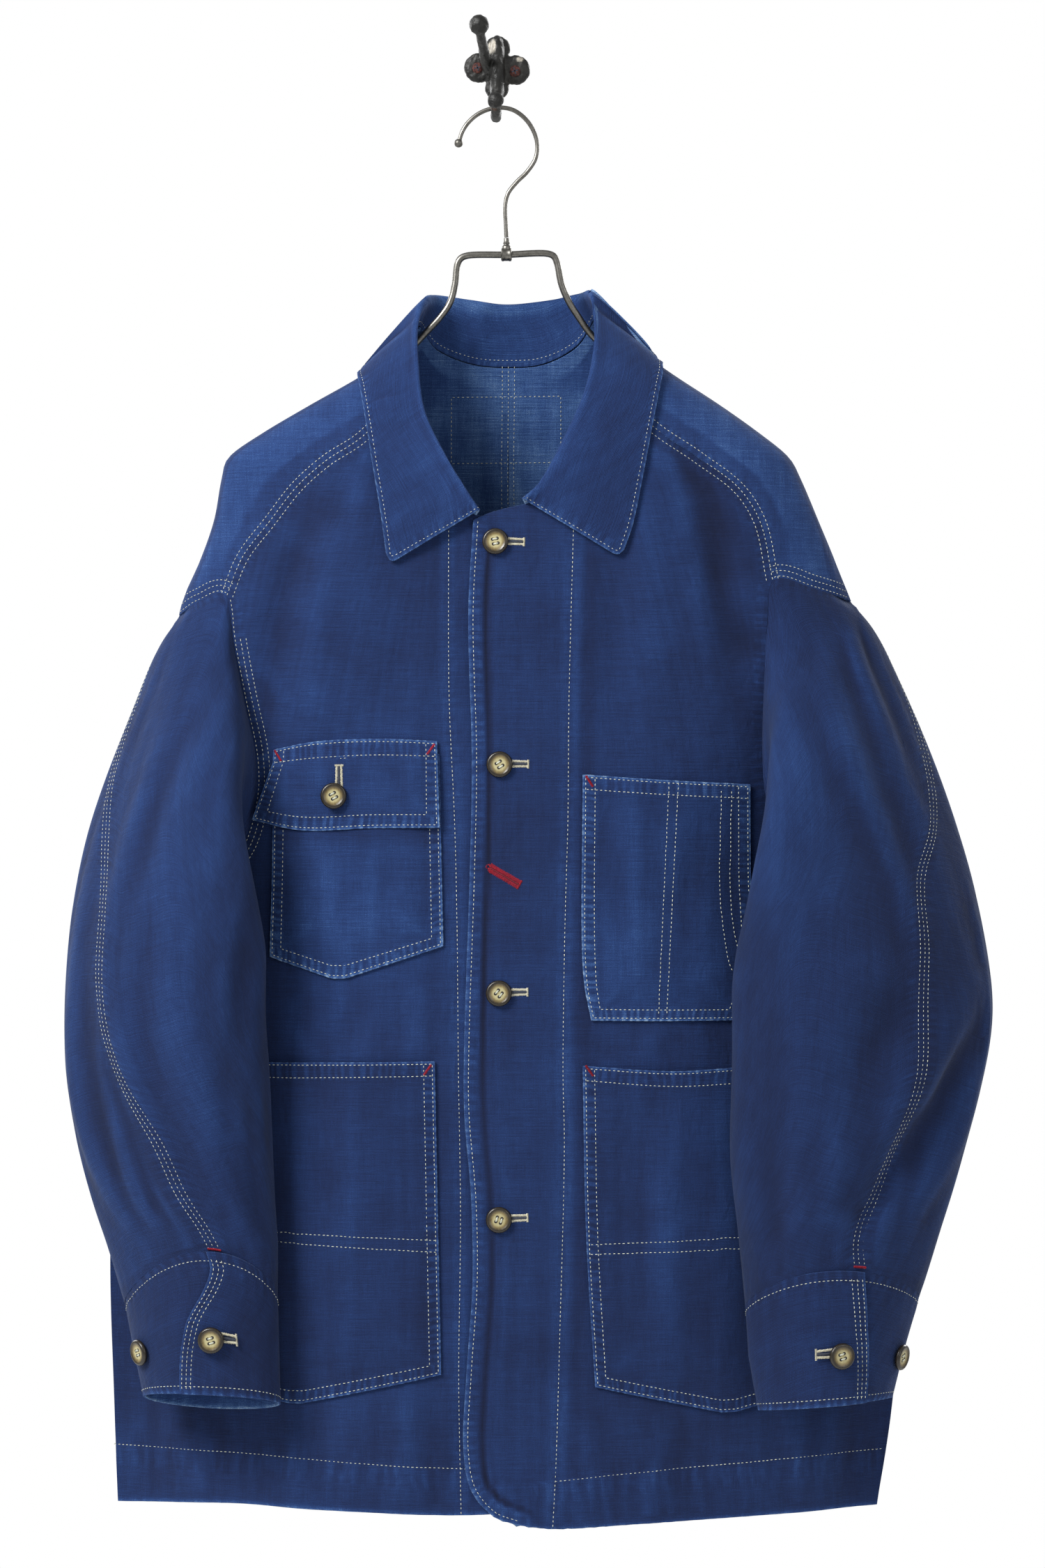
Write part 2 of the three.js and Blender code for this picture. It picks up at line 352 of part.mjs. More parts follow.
// A closed wall from one skin: points, four-sided faces, thickness inwards.
function wall(points, quads, outwards, thickness = CLOTH, directions = null) {
  const normals = points.map(() => V(0, 0, 0));
  const faces = [];
  let facing = 0;
  for (const q of quads) {
    const [a, b, c, d] = q.map((i) => points[i]);
    const n = V(0, 0, 0).crossVectors(c.clone().sub(a), d.clone().sub(b));
    const middle = a.clone().add(b).add(c).add(d).multiplyScalar(0.25);
    facing += n.dot(outwards(middle));
    for (const i of q) normals[i].add(n);
  }
  const turn = facing < 0 ? -1 : 1;
  const inner = points.map((p, i) => (directions ? p.clone().addScaledVector(directions[i], -thickness)
    : p.clone().addScaledVector(normals[i].normalize(), -thickness * turn)));
  const count = points.length, edges = new Map();
  for (const raw of quads) {
    const q = turn < 0 ? [...raw].reverse() : raw;
    const split = points[q[0]].distanceToSquared(points[q[2]]) <= points[q[1]].distanceToSquared(points[q[3]])
      ? [[0, 1, 2], [0, 2, 3]] : [[0, 1, 3], [1, 2, 3]];
    for (const t of split) {
      faces.push(q[t[0]], q[t[1]], q[t[2]]);
      faces.push(q[t[2]] + count, q[t[1]] + count, q[t[0]] + count);
    }
    for (let k = 0; k < 4; k += 1) {
      const a = q[k], b = q[(k + 1) % 4];
      if (edges.has(`${b}_${a}`)) edges.delete(`${b}_${a}`); else edges.set(`${a}_${b}`, [a, b]);
    }
  }
  for (const [a, b] of edges.values()) faces.push(b, a, a + count, b, a + count, b + count);
  const geometry = new THREE.BufferGeometry();
  geometry.setAttribute('position', new THREE.Float32BufferAttribute([...points, ...inner].flatMap((p) => [p.x, p.y, p.z]), 3));
  geometry.setIndex(faces);
  return geometry;
}
function gridQuads(columns, rows, closed = false) {
  const across = closed ? columns : columns + 1, quads = [];
  for (let j = 0; j < rows; j += 1) for (let i = 0; i < columns; i += 1) {
    const k = (i + 1) % across;
    quads.push([j * across + i, j * across + k, (j + 1) * across + k, (j + 1) * across + i]);
  }
  return quads;
}

// ---------------------------------------------------------------- neckline and armholes
const collarRow = (s, ...columns) => columns.map((c) => {
  const rows = COLLAR.map((r, i) => ({ ...r, at: i }));
  return read(rows, 'at', c, s);
});
// the neck seam runs straight from row to row of the collar table
function neckPoint(s) {
  const k = Math.min(COLLAR.length - 2, Math.floor(s)), a = COLLAR[k], b = COLLAR[k + 1];
  return V(lerp(a.seamX, b.seamX, s - k), 0, lerp(a.seamZ, b.seamZ, s - k));
}
function armholeCorner(name, k) {
  const rows = ARMHOLE[name], a = (((k * TURN_STEP) % 360) + 360) % 360;
  const x = read(rows, 'turn', 'x', a), z = read(rows, 'turn', 'z', a);
  if (a < 0.5 || a > 359.5) return V(x, read(SECTIONS, 'z', 'mid', z), z);
  return V(x, a < 180.5 ? frontY(x, z, name) : bodyY(x, z, 1), z);
}
function armholePoint(name, turn) {
  const at = turn / TURN_STEP, k = Math.floor(at + 1e-9);
  return armholeCorner(name, k).lerp(armholeCorner(name, k + 1), at - k);
}

// ---------------------------------------------------------------- panels
const sideSeam = (name, bottomZ, topZ) => new THREE.CatmullRomCurve3(
  Array.from({ length: 13 }, (_, k) => { const z = lerp(bottomZ, topZ, k / 12); return V(edgeX(z, name), 0, z); }), false, 'centripetal');

// across a shoulder seam, up and outwards
function across(curve, u, sign) {
  const t = curve.getTangentAt(Math.min(1, Math.max(0, u)));
  return V(-t.z * sign, 0, t.x * sign).normalize();
}

function frontPanel(name) {
  const sign = name === 'left' ? 1 : -1, placketColumns = 2, neckRows = 4, crestColumns = 7;
  const columns = placketColumns + neckRows + crestColumns, sideRows = 13, armRows = 6, rows = sideRows + armRows, split = 0.62;
  const hem = along(curveOf(HEM[name])), edge = along(new THREE.CatmullRomCurve3([...FRONT_EDGE[name]].reverse().map((r) => V(r.x, 0, r.z)), false, 'centripetal'));
  const armZ = ARMHOLE[name].find((r) => r.turn === 180).z, seam = sideSeam(name, HEM[name].at(-1).z, armZ);
  const side = (v) => (v <= split ? seam.getPointAt(Math.min(1, v / split)) : armholePoint(name, lerp(180, 45, (v - split) / (1 - split))).setY(0));
  const neckFrom = name === 'left' ? COLLAR.length - 1 : 0, neckTo = SHOULDER_ROW[name], neckSign = Math.sign(neckTo - neckFrom);
  const first = neckPoint(neckFrom), placketTop = curveOf([...PLACKET_TOP_EDGE[name], { x: first.x, z: first.z }]), shoulder = curveOf(SHOULDER[name]);
  const top = (u) => {
    const c = u * columns;
    if (c <= placketColumns) return placketTop.getPointAt(Math.min(1, c / placketColumns));
    if (c <= placketColumns + neckRows) return neckPoint(neckFrom + neckSign * (c - placketColumns));
    return shoulder.getPointAt(Math.min(1, (c - placketColumns - neckRows) / crestColumns));
  };
  const points = [];
  for (let j = 0; j <= rows; j += 1) for (let i = 0; i <= columns; i += 1) {
    const v = j <= sideRows ? split * j / sideRows : lerp(split, 1, (j - sideRows) / armRows);
    const p = patchPoint(hem, top, edge, side, i / columns, v, 5);
    // sewn edges stand back from the neighbouring piece
    if (i === columns) p.x -= sign * SEAM_GAP;
    if (j === rows && i >= placketColumns && i < placketColumns + neckRows) p.z -= SEAM_GAP;
    if (j === rows && i >= placketColumns + neckRows) p.addScaledVector(across(shoulder, (i - placketColumns - neckRows) / crestColumns, sign), -SEAM_GAP);
    p.y = frontY(p.x, p.z, name);
    points.push(p);
  }
  return wall(points, gridQuads(columns, rows), () => V(0, -1, 0));
}

function backPanel(name) {
  const sign = name === 'left' ? 1 : -1, neckColumns = 3, crestColumns = 7, columns = neckColumns + crestColumns;
  const sideRows = 12, armRows = 8, rows = sideRows + armRows, split = 0.545, over = 4;
  const armZ = ARMHOLE[name].find((r) => r.turn === 180).z, middleRow = (COLLAR.length - 1) / 2;
  const hemRows = HEM.back.filter((r) => (name === 'left' ? r.x >= CENTRE_X : r.x <= CENTRE_X));
  const hem = along(curveOf(name === 'left' ? hemRows : hemRows.reverse()));
  const centre = along(curveOf([{ x: CENTRE_X, z: HEM.back[2].z }, { x: CENTRE_X, z: -600 }, { x: CENTRE_X, z: COLLAR[middleRow].seamZ }]));
  const seam = sideSeam(name, HEM[name].at(-1).z, armZ);
  const side = (v) => (v <= split ? seam.getPointAt(Math.min(1, v / split)) : armholePoint(name, lerp(180, 360, (v - split) / (1 - split))).setY(0));
  const crestPoint = (k) => { const z = CREST_STOPS[name][k]; return k === crestColumns ? armholePoint(name, 0).setY(0) : V(edgeX(z, name), 0, z); };
  const top = (u) => {
    const c = u * columns;
    if (c <= neckColumns) return neckPoint(lerp(middleRow, CREST_ROW[name], c / neckColumns));
    const k = Math.min(crestColumns - 1, Math.floor(c - neckColumns + 1e-9));
    return crestPoint(k).lerp(crestPoint(k + 1), c - neckColumns - k);
  };
  const points = [];
  for (let j = 0; j <= rows; j += 1) for (let i = 0; i <= columns; i += 1) {
    const v = j <= sideRows ? split * j / sideRows : lerp(split, 1, (j - sideRows) / armRows);
    const p = patchPoint(hem, top, centre, side, i / columns, v, 5);
    if (i === 0) p.x += sign * SEAM_GAP / 2;
    if (i === columns) p.x -= sign * SEAM_GAP * (j > sideRows && j < rows ? 2.4 : 1);
    if (j === rows && i < neckColumns) p.z -= SEAM_GAP;
    p.y = j === rows && i >= neckColumns ? read(SECTIONS, 'z', 'mid', p.z) : bodyY(p.x, p.z, 1);
    points.push(p);
  }
  const quads = gridQuads(columns, rows);
  // over the crest to the forward shoulder seam
  const shoulder = curveOf(SHOULDER[name]), first = points.length, last = rows * (columns + 1);
  for (let k = 1; k <= over; k += 1) for (let i = neckColumns; i <= columns; i += 1) {
    const u = (i - neckColumns) / crestColumns, a = points[last + i], b = shoulder.getPointAt(u);
    const w = Math.pow(k / over, 1.7), p = V(lerp(a.x, b.x, w), 0, lerp(a.z, b.z, w));
    if (i === columns) { const q = armholePoint(name, lerp(0, 45, k / over)); p.x = q.x - sign * SEAM_GAP * 0.5; p.z = q.z + SEAM_GAP * 2; }
    if (i === neckColumns) { const q = neckPoint(lerp(CREST_ROW[name], SHOULDER_ROW[name], k / over)); p.x = q.x + sign * SEAM_GAP; p.z = q.z; }
    if (k === over) p.addScaledVector(across(shoulder, u, sign), SEAM_GAP);
    p.y = bodyY(p.x, p.z, -1);
    points.push(p);
  }
  const wide = crestColumns + 1;
  const at = (k, i) => (k === 0 ? last + neckColumns + i : first + (k - 1) * wide + i);
  for (let k = 0; k < over; k += 1) for (let i = 0; i < crestColumns; i += 1) quads.push([at(k, i), at(k, i + 1), at(k + 1, i + 1), at(k + 1, i)]);
  return wall(points, quads, (m) => V(0, m.z < -420 ? 1 : m.y - HANGER_Y, 0));
}

// ---------------------------------------------------------------- sleeves
function ringPoint(row, turn) {
  const a = turn * Math.PI / 180, c = Math.cos(a), s = Math.sin(a);
  const at = (k) => {
    const mid = (row.o[k] + row.i[k]) / 2;
    return mid + (row.o[k] - row.i[k]) / 2 * c + (row.f[k] - row.b[k]) / 2 * s + ((row.f[k] + row.b[k]) / 2 - mid) * s * s;
  };
  return V(at(0), at(1), at(2));
}
function sleevePoint(name, at, turn) {   // at: 0 is the armhole, 1 the first ring
  const rows = SLEEVES[name], count = rows.length;
  // the underarm stays at the side of the body while the rings swing forward
  const a = ((turn % 360) + 360) % 360, swing = smooth(60, 170, a) * (1 - smooth(230, 330, a));
  const point = (k) => (k <= 0 ? armholePoint(name, turn)
    : ringPoint(rows[Math.min(count, k) - 1], turn + swing * UNDERARM_SWING[Math.min(UNDERARM_SWING.length, k) - 1]));
  const i = Math.min(count - 1, Math.floor(at)), t = at - i;
  const p0 = i > 0 ? point(i - 1) : point(0).multiplyScalar(2).sub(point(1)), p1 = point(i), p2 = point(i + 1);
  const p3 = i + 2 <= count ? point(i + 2) : p2.clone().multiplyScalar(2).sub(p1);
  const q = (k) => 0.5 * (2 * p1[k] + (p2[k] - p0[k]) * t + (2 * p0[k] - 5 * p1[k] + 4 * p2[k] - p3[k]) * t * t + (3 * p1[k] - p0[k] - 3 * p2[k] + p3[k]) * t * t * t);
  const p = V(q('x'), q('y'), q('z'));
  // folds, out from the middle of the ring
  const row = rows[Math.max(0, Math.min(count - 1, Math.round(at) - 1))];
  const middle = V((row.o[0] + row.i[0]) / 2, (row.o[1] + row.i[1]) / 2, p.z);
  const out = p.clone().sub(middle).setZ(0).normalize();
  const wrap = (a) => ((a % 360) + 360) % 360, around = wrap(turn);
  const folds = SLEEVE_FOLDS[name].map((f) => ({ x1: f.t1, z1: f.r1 * 12, x2: f.t2, z2: f.r2 * 12, width: f.width, height: f.height }));
  p.addScaledVector(out, foldHeight(folds, around, at * 12) * smooth(0.6, 1.8, at) * (1 - smooth(count - 1.6, count - 0.4, at)));
  // the underarm lies in front of the body, clear of its side
  const outboard = Math.max(0, Math.abs(p.x) - Math.abs(edgeX(p.z, name))), armZ = ARMHOLE[name].find((r) => r.turn === 180).z;
  const over = around > 30 && around < 182 ? 1 : 1 - smooth(armZ - 2, armZ + 9, p.z);
  if (over > 0 && outboard < 8 && at < 4 && around > 30 && around < 300) {
    const limit = bodyY(p.x, p.z, -1) - 3.6 * smooth(0, 0.7, at) + 0.14 * outboard * outboard;
    if (p.y > limit) p.y = lerp(p.y, limit, over);
  }
  return p;
}
function seamTurn(name, at) {
  const rows = SLEEVES[name].map((r, i) => ({ at: i + 1, seam: r.seam }));
  return read(rows, 'at', 'seam', Math.max(1, at));
}
function ringMiddle(name, at) {
  const rows = SLEEVES[name], row = rows[Math.max(0, Math.min(rows.length - 1, Math.round(at) - 1))];
  return V((row.o[0] + row.i[0]) / 2, (row.f[1] + row.b[1]) / 2, (row.o[2] + row.i[2]) / 2);
}
function sleevePiece(name, which) {
  const columns = which === 'top' ? 12 : 4, rows = 17, points = [], directions = [], last = SLEEVES[name].length;
  const stations = Array.from({ length: rows + 1 }, (_, j) => (j < 5 ? [0, 0.3, 0.65, 1, 1.5][j] : lerp(2, last, (j - 5) / (rows - 5))));
  for (const at of stations) {
    const seam = seamTurn(name, at), gap = 0.3;
    const from = which === 'top' ? seam : UNDERARM_SEAM, to = which === 'top' ? UNDERARM_SEAM : 360 + seam;
    for (let i = 0; i <= columns; i += 1) {
      const turn = lerp(from, to, i / columns) + (i === 0 ? gap : 0) - (i === columns ? gap : 0);
      const p = sleevePoint(name, at, turn), far = Math.max(0.12, at);
      if (at === 0) {          // stand off the panels: into the opening underarm, along the sleeve elsewhere
        const onward = sleevePoint(name, 0.3, turn).sub(p).normalize(), inside = V((ARMHOLE[name][4].x + ARMHOLE[name][12].x) / 2 - p.x, 0, -465 - p.z).normalize();
        const under = smooth(95, 130, turn) * (1 - smooth(235, 275, turn));
        p.addScaledVector(onward.lerp(inside, under).normalize(), SEAM_GAP + 0.75);
      }
      // both pieces share their thickness direction at the seam
      const dt = sleevePoint(name, far, turn + 7).sub(sleevePoint(name, far, turn - 7));
      const da = sleevePoint(name, Math.min(last, far + 0.12), turn).sub(sleevePoint(name, far - 0.12, turn));
      const n = V(0, 0, 0).crossVectors(dt, da).normalize();
      points.push(p);
      directions.push(n);
    }
  }
  let facing = 0;
  points.forEach((p, k) => { facing += directions[k].dot(p.clone().sub(ringMiddle(name, stations[Math.floor(k / (columns + 1))]))); });
  if (facing < 0) for (const n of directions) n.negate();
  const centre = (p) => {
    let best = null, near = 1e9;
    for (let at = 1; at <= last; at += 1) { const c = ringMiddle(name, at), d = Math.abs(c.z - p.z); if (d < near) { near = d; best = c; } }
    return p.clone().sub(best).setZ(0);
  };
  return wall(points, gridQuads(columns, rows), centre, CLOTH, directions);
}
function cuffPoint(name, w, turn, out) {   // w: 0 at the top edge, 1 at the bottom
  const rows = CUFFS[name], i = w < 0.5 ? 0 : 1, t = (w - i * 0.5) * 2;
  const a = ringPoint(rows[i], turn), b = ringPoint(rows[i + 1], turn), p = a.lerp(b, t);
  const r = rows[i], middle = V((r.o[0] + r.i[0]) / 2, (r.f[1] + r.b[1]) / 2, p.z);
  return p.addScaledVector(p.clone().sub(middle).setZ(0).normalize(), out);
}
function cuffPiece(name) {
  const columns = 22, rows = 2, points = [], { start, overlap } = CUFF_SLIT[name], span = 360 + overlap;
  for (let j = 0; j <= rows; j += 1) for (let i = 0; i <= columns; i += 1) {
    const u = i / columns, turn = start - overlap + span * u;
    // the outer end lies over the inner end
    const out = (CLOTH + 0.75) * (1 - smooth(0, 0.16, u));
    points.push(cuffPoint(name, j / rows, turn, out));
  }
  const middle = CUFFS[name][1], c = V((middle.o[0] + middle.i[0]) / 2, (middle.f[1] + middle.b[1]) / 2, 0);
  return wall(points, gridQuads(columns, rows), (p) => p.clone().sub(c).setZ(0));
}

// ---------------------------------------------------------------- collar
function bodyPoint(x, z, side, lift) {      // a point standing off the body
  const h = 0.5, y = bodyY(x, z, side), s = section(z), t = Math.abs(x - (s.right + s.left) / 2) / ((s.left - s.right) / 2);
  if (t > 0.995) return V(x, y, z);
  const n = V(side * -(bodyY(x + h, z, side) - bodyY(x - h, z, side)) / (2 * h), side, side * -(bodyY(x, z + h, side) - bodyY(x, z - h, side)) / (2 * h)).normalize();
  return V(x, y, z).addScaledVector(n, lift);
}
function collarSection(s) {
  const [rx, ry, rz, ex, ez, lift] = collarRow(s, 'rollX', 'rollY', 'rollZ', 'edgeX', 'edgeZ', 'lift');
  const { x: sx, z: sz } = neckPoint(s), side = s > CREST_ROW.right && s < CREST_ROW.left ? 1 : -1;
  const sy = bodyY(sx, sz, side);
  const towards = V(CENTRE_X - sx, HANGER_Y - 10 - sy, 0).normalize();
  const seam = V(sx, sy, sz).addScaledVector(towards, 0.8).add(V(0, 0, 1.1));
  const roll = V(rx, ry, rz), edge = bodyPoint(ex, ez, side, lift);
  const up = roll.clone().sub(seam), height = up.length(); up.normalize();
  const out = edge.clone().sub(roll); out.addScaledVector(up, -out.dot(up)).normalize();
  const thick = Math.min(3.2, 2.0 + height * 0.05);
  const bend = roll.clone().addScaledVector(out, thick).addScaledVector(up, thick * 0.45);
  const far = roll.clone().addScaledVector(out, thick * 2).addScaledVector(up, -Math.min(3, height * 0.3));
  const halfway = far.clone().lerp(edge, 0.5), clear = bodyPoint(halfway.x, halfway.z, side, lift + 0.8);
  if ((halfway.y - clear.y) * side < 0) halfway.copy(clear);
  return [seam, seam.clone().lerp(roll, 0.55), roll, bend, far, halfway.addScaledVector(out, 0.8), edge];
}
function collarPiece() {
  const rows = 36, stops = [0, 1 / 6, 2 / 6, 3 / 6, 4 / 6, 4.5 / 6, 5 / 6, 5.5 / 6, 1], points = [];
  for (let j = 0; j <= rows; j += 1) {
    const curve = new THREE.CatmullRomCurve3(collarSection((COLLAR.length - 1) * j / rows), false, 'centripetal');
    for (const stop of stops) points.push(curve.getPoint(stop));
  }
  return wall(points, gridQuads(stops.length - 1, rows), (m) => (m.z > -176 ? V(0, 0, 1) : V(0, 0, 0)));
}

// ---------------------------------------------------------------- patches
function patchPiece(spec) {
  const { columns, rows, side, layer } = spec;
  const bottom = along(curveOf(spec.bottom)), top = along(curveOf(spec.top)), left = along(curveOf(spec.left)), right = along(curveOf(spec.right));
  const points = [], out = LAY_GAP + CLOTH * 1.0 + (layer - 1) * (LAY_GAP + CLOTH);
  for (let j = 0; j <= rows; j += 1) for (let i = 0; i <= columns; i += 1) {
    const p = patchPoint(bottom, top, left, right, i / columns, j / rows);
    p.y = panelFaceY(side, p.x, p.z) - out;
    points.push(p);
  }
  return wall(points, gridQuads(columns, rows), () => V(0, -1, 0), CLOTH * 0.95);
}
// y of the faceted front where a patch lies on it
const fronts = {};
function panelFaceY(name, x, z) {
  const g = fronts[name], pos = g.attributes.position, idx = g.index;
  let best = null;
  for (let k = 0; k < idx.count; k += 3) {
    const a = idx.getX(k), b = idx.getX(k + 1), c = idx.getX(k + 2);
    const ax = pos.getX(a), az = pos.getZ(a), bx = pos.getX(b), bz = pos.getZ(b), cx = pos.getX(c), cz = pos.getZ(c);
    const det = (bx - ax) * (cz - az) - (cx - ax) * (bz - az);
    if (Math.abs(det) < 1e-6) continue;
    const u = ((x - ax) * (cz - az) - (cx - ax) * (z - az)) / det, v = ((bx - ax) * (z - az) - (x - ax) * (bz - az)) / det;
    if (u < -1e-4 || v < -1e-4 || u + v > 1.0002) continue;
    const y = pos.getY(a) + u * (pos.getY(b) - pos.getY(a)) + v * (pos.getY(c) - pos.getY(a));
    if (best === null || y < best) best = y;
  }
  return best === null ? frontY(x, z, name) : best;
}

// ---------------------------------------------------------------- hard pieces
const clean = (geometry) => {
  const g = geometry.index ? geometry.toNonIndexed() : geometry.clone();
  for (const key of Object.keys(g.attributes)) if (key !== 'position') g.deleteAttribute(key);
  return mergeVertices(g, 1e-4);
};
const solid = (geometry) => {
  const g = clean(geometry);
  return new wasm.Manifold(new wasm.Mesh({ numProp: 3, vertProperties: new Float32Array(g.attributes.position.array), triVerts: new Uint32Array(g.index.array) }));
};
const back = (manifold) => {
  const m = manifold.getMesh(), g = new THREE.BufferGeometry();
  g.setAttribute('position', new THREE.BufferAttribute(new Float32Array(m.vertProperties), 3));
  g.setIndex(new THREE.BufferAttribute(new Uint32Array(m.triVerts), 1));
  return g;
};
function tube(points, radius, steps, sides = 8) {
  const ring = new THREE.Shape(Array.from({ length: sides }, (_, i) => new THREE.Vector2(radius * Math.cos(2 * Math.PI * i / sides), radius * Math.sin(2 * Math.PI * i / sides))));
  return clean(new THREE.ExtrudeGeometry(ring, { steps, bevelEnabled: false, extrudePath: new THREE.CatmullRomCurve3(points, false, 'centripetal') }));
}
function placed(geometry, position, rotation = [0, 0, 0], scale = [1, 1, 1]) {
  const m = new THREE.Matrix4().compose(V(...position), new THREE.Quaternion().setFromEuler(new THREE.Euler(...rotation)), V(...scale));
  return geometry.clone().applyMatrix4(m);
}
function buttonGeometry() {
  const r = BUTTON_DIAMETER / 2, disc = new THREE.Shape(Array.from({ length: 22 }, (_, i) => new THREE.Vector2(r * Math.cos(2 * Math.PI * i / 22), r * Math.sin(2 * Math.PI * i / 22))));
  for (let k = 0; k < 4; k += 1) {
    const cx = 1.9 * (k % 2 ? 1 : -1), cy = 1.9 * (k > 1 ? 1 : -1);
    disc.holes.push(new THREE.Path(Array.from({ length: 6 }, (_, i) => new THREE.Vector2(cx + BUTTON_HOLE / 2 * Math.cos(2 * Math.PI * i / 6), cy + BUTTON_HOLE / 2 * Math.sin(2 * Math.PI * i / 6)))));
  }
  return clean(new THREE.ExtrudeGeometry(disc, { depth: BUTTON_THICKNESS, bevelEnabled: false, curveSegments: 8 }));
}

// ---------------------------------------------------------------- assembly
const jacket = new THREE.Group();
jacket.name = 'chore_jacket';
const cloth = new THREE.MeshStandardMaterial({ color: 0x31486f, roughness: 0.92, metalness: 0 });
const worn = new THREE.MeshStandardMaterial({ color: 0x3b5680, roughness: 0.92, metalness: 0 });
const horn = new THREE.MeshStandardMaterial({ color: 0x91886a, roughness: 0.4, metalness: 0 });
const nickel = new THREE.MeshStandardMaterial({ color: 0xb5aa98, roughness: 0.3, metalness: 1 });
const iron = new THREE.MeshStandardMaterial({ color: 0x21201d, roughness: 0.6, metalness: 0.8 });
const rusty = new THREE.MeshStandardMaterial({ color: 0x5a332b, roughness: 0.6, metalness: 0.7 });
function add(name, geometry, material, group = jacket) {
  const mesh = new THREE.Mesh(geometry, material);
  mesh.name = name;
  group.add(mesh);
  return mesh;
}

fronts.left = frontPanel('left');
fronts.right = frontPanel('right');
add('front_left', fronts.left, cloth);
add('front_right', fronts.right, cloth);
for (const name of ['left', 'right']) {
  add(`back_${name}`, backPanel(name), cloth);
  add(`sleeve_top_${name}`, sleevePiece(name, 'top'), cloth);
  add(`sleeve_under_${name}`, sleevePiece(name, 'under'), cloth);
  add(`cuff_${name}`, cuffPiece(name), cloth);
}
add('collar', collarPiece(), worn);
for (const [name, spec] of Object.entries(PATCHES)) add(name, patchPiece(spec), cloth);

// buttons, each on the outer face of the cloth it is sewn to
const disc = buttonGeometry();
for (const b of FRONT_BUTTONS) {
  const mesh = add(b.name, disc.clone(), horn);
  mesh.position.set(b.x, panelFaceY('left', b.x, b.z) - 0.7, b.z);
  mesh.rotation.set(Math.PI / 2, 0, 0);
}
{
  const mesh = add('flap_button', disc.clone(), horn);
  mesh.position.set(FLAP_BUTTON.x, panelFaceY('right', FLAP_BUTTON.x, FLAP_BUTTON.z) - (LAY_GAP + CLOTH) * 2.25 - 2.0, FLAP_BUTTON.z);
  mesh.rotation.set(Math.PI / 2, 0, 0);
}
for (const b of CUFF_BUTTONS) {
  const w = 0.62, p = cuffPoint(b.side, w, b.turn, 0), e = 0.5;
  const dt = cuffPoint(b.side, w, b.turn + 4, 0).sub(cuffPoint(b.side, w, b.turn - 4, 0));
  const dw = cuffPoint(b.side, w + 0.05, b.turn, 0).sub(cuffPoint(b.side, w - 0.05, b.turn, 0));
  const n = V(0, 0, 0).crossVectors(dt, dw).normalize();
  const middle = CUFFS[b.side][1];
  if (n.x * (p.x - (middle.o[0] + middle.i[0]) / 2) + n.y * (p.y - (middle.f[1] + middle.b[1]) / 2) < 0) n.negate();
  const over = b.turn > 60 ? (CLOTH + 0.75) : 0;
  const mesh = add(b.name, disc.clone(), horn);
  mesh.position.copy(p.addScaledVector(n, e + 0.6 + over));
  mesh.quaternion.setFromUnitVectors(V(0, 0, 1), n);
}

// hanger: hook with a ball end, swivel ferrule, and the bent frame
const hanger = new THREE.Group();
hanger.position.set(0, HANGER_Y, 0);
jacket.add(hanger);
const wirePoints = (rows) => rows.map((r) => V(r.x, 0, r.z));
const hookTube = solid(tube(wirePoints(HOOK_PATH), HOOK_WIRE / 2, 46, 8));
const hookBall = solid(placed(new THREE.SphereGeometry(3.0, 12, 8), [HOOK_PATH[0].x - 0.4, 0, HOOK_PATH[0].z - 1.2]));
add('hanger_hook', back(hookTube.add(hookBall)), nickel, hanger);
add('hanger_frame', tube(wirePoints(FRAME_PATH), FRAME_WIRE / 2, 76, 8), nickel, hanger);
{
  const r = FRAME_WIRE / 2;
  const collarTube = solid(placed(new THREE.LatheGeometry([[r + 0.45, -3.6], [r + 1.9, -3.6], [r + 2.2, -3.0], [r + 2.2, 3.0], [r + 1.9, 3.6], [r + 0.45, 3.6], [r + 0.45, -3.6]].map(([x, y]) => new THREE.Vector2(x, y)), 16), [7, 0, -137.5], [0, 0, Math.PI / 2]));
  const stub = solid(placed(new THREE.LatheGeometry([[0, 0], [3.1, 0], [3.1, 2.4], [2.0, 3.4], [1.9, 8.2], [0, 8.2]].map(([x, y]) => new THREE.Vector2(x, y)), 14), [7, 0, -137.5 + r + 0.9], [Math.PI / 2, 0, 0]));
  add('ferrule', back(collarTube.add(stub)), nickel, hanger);
}

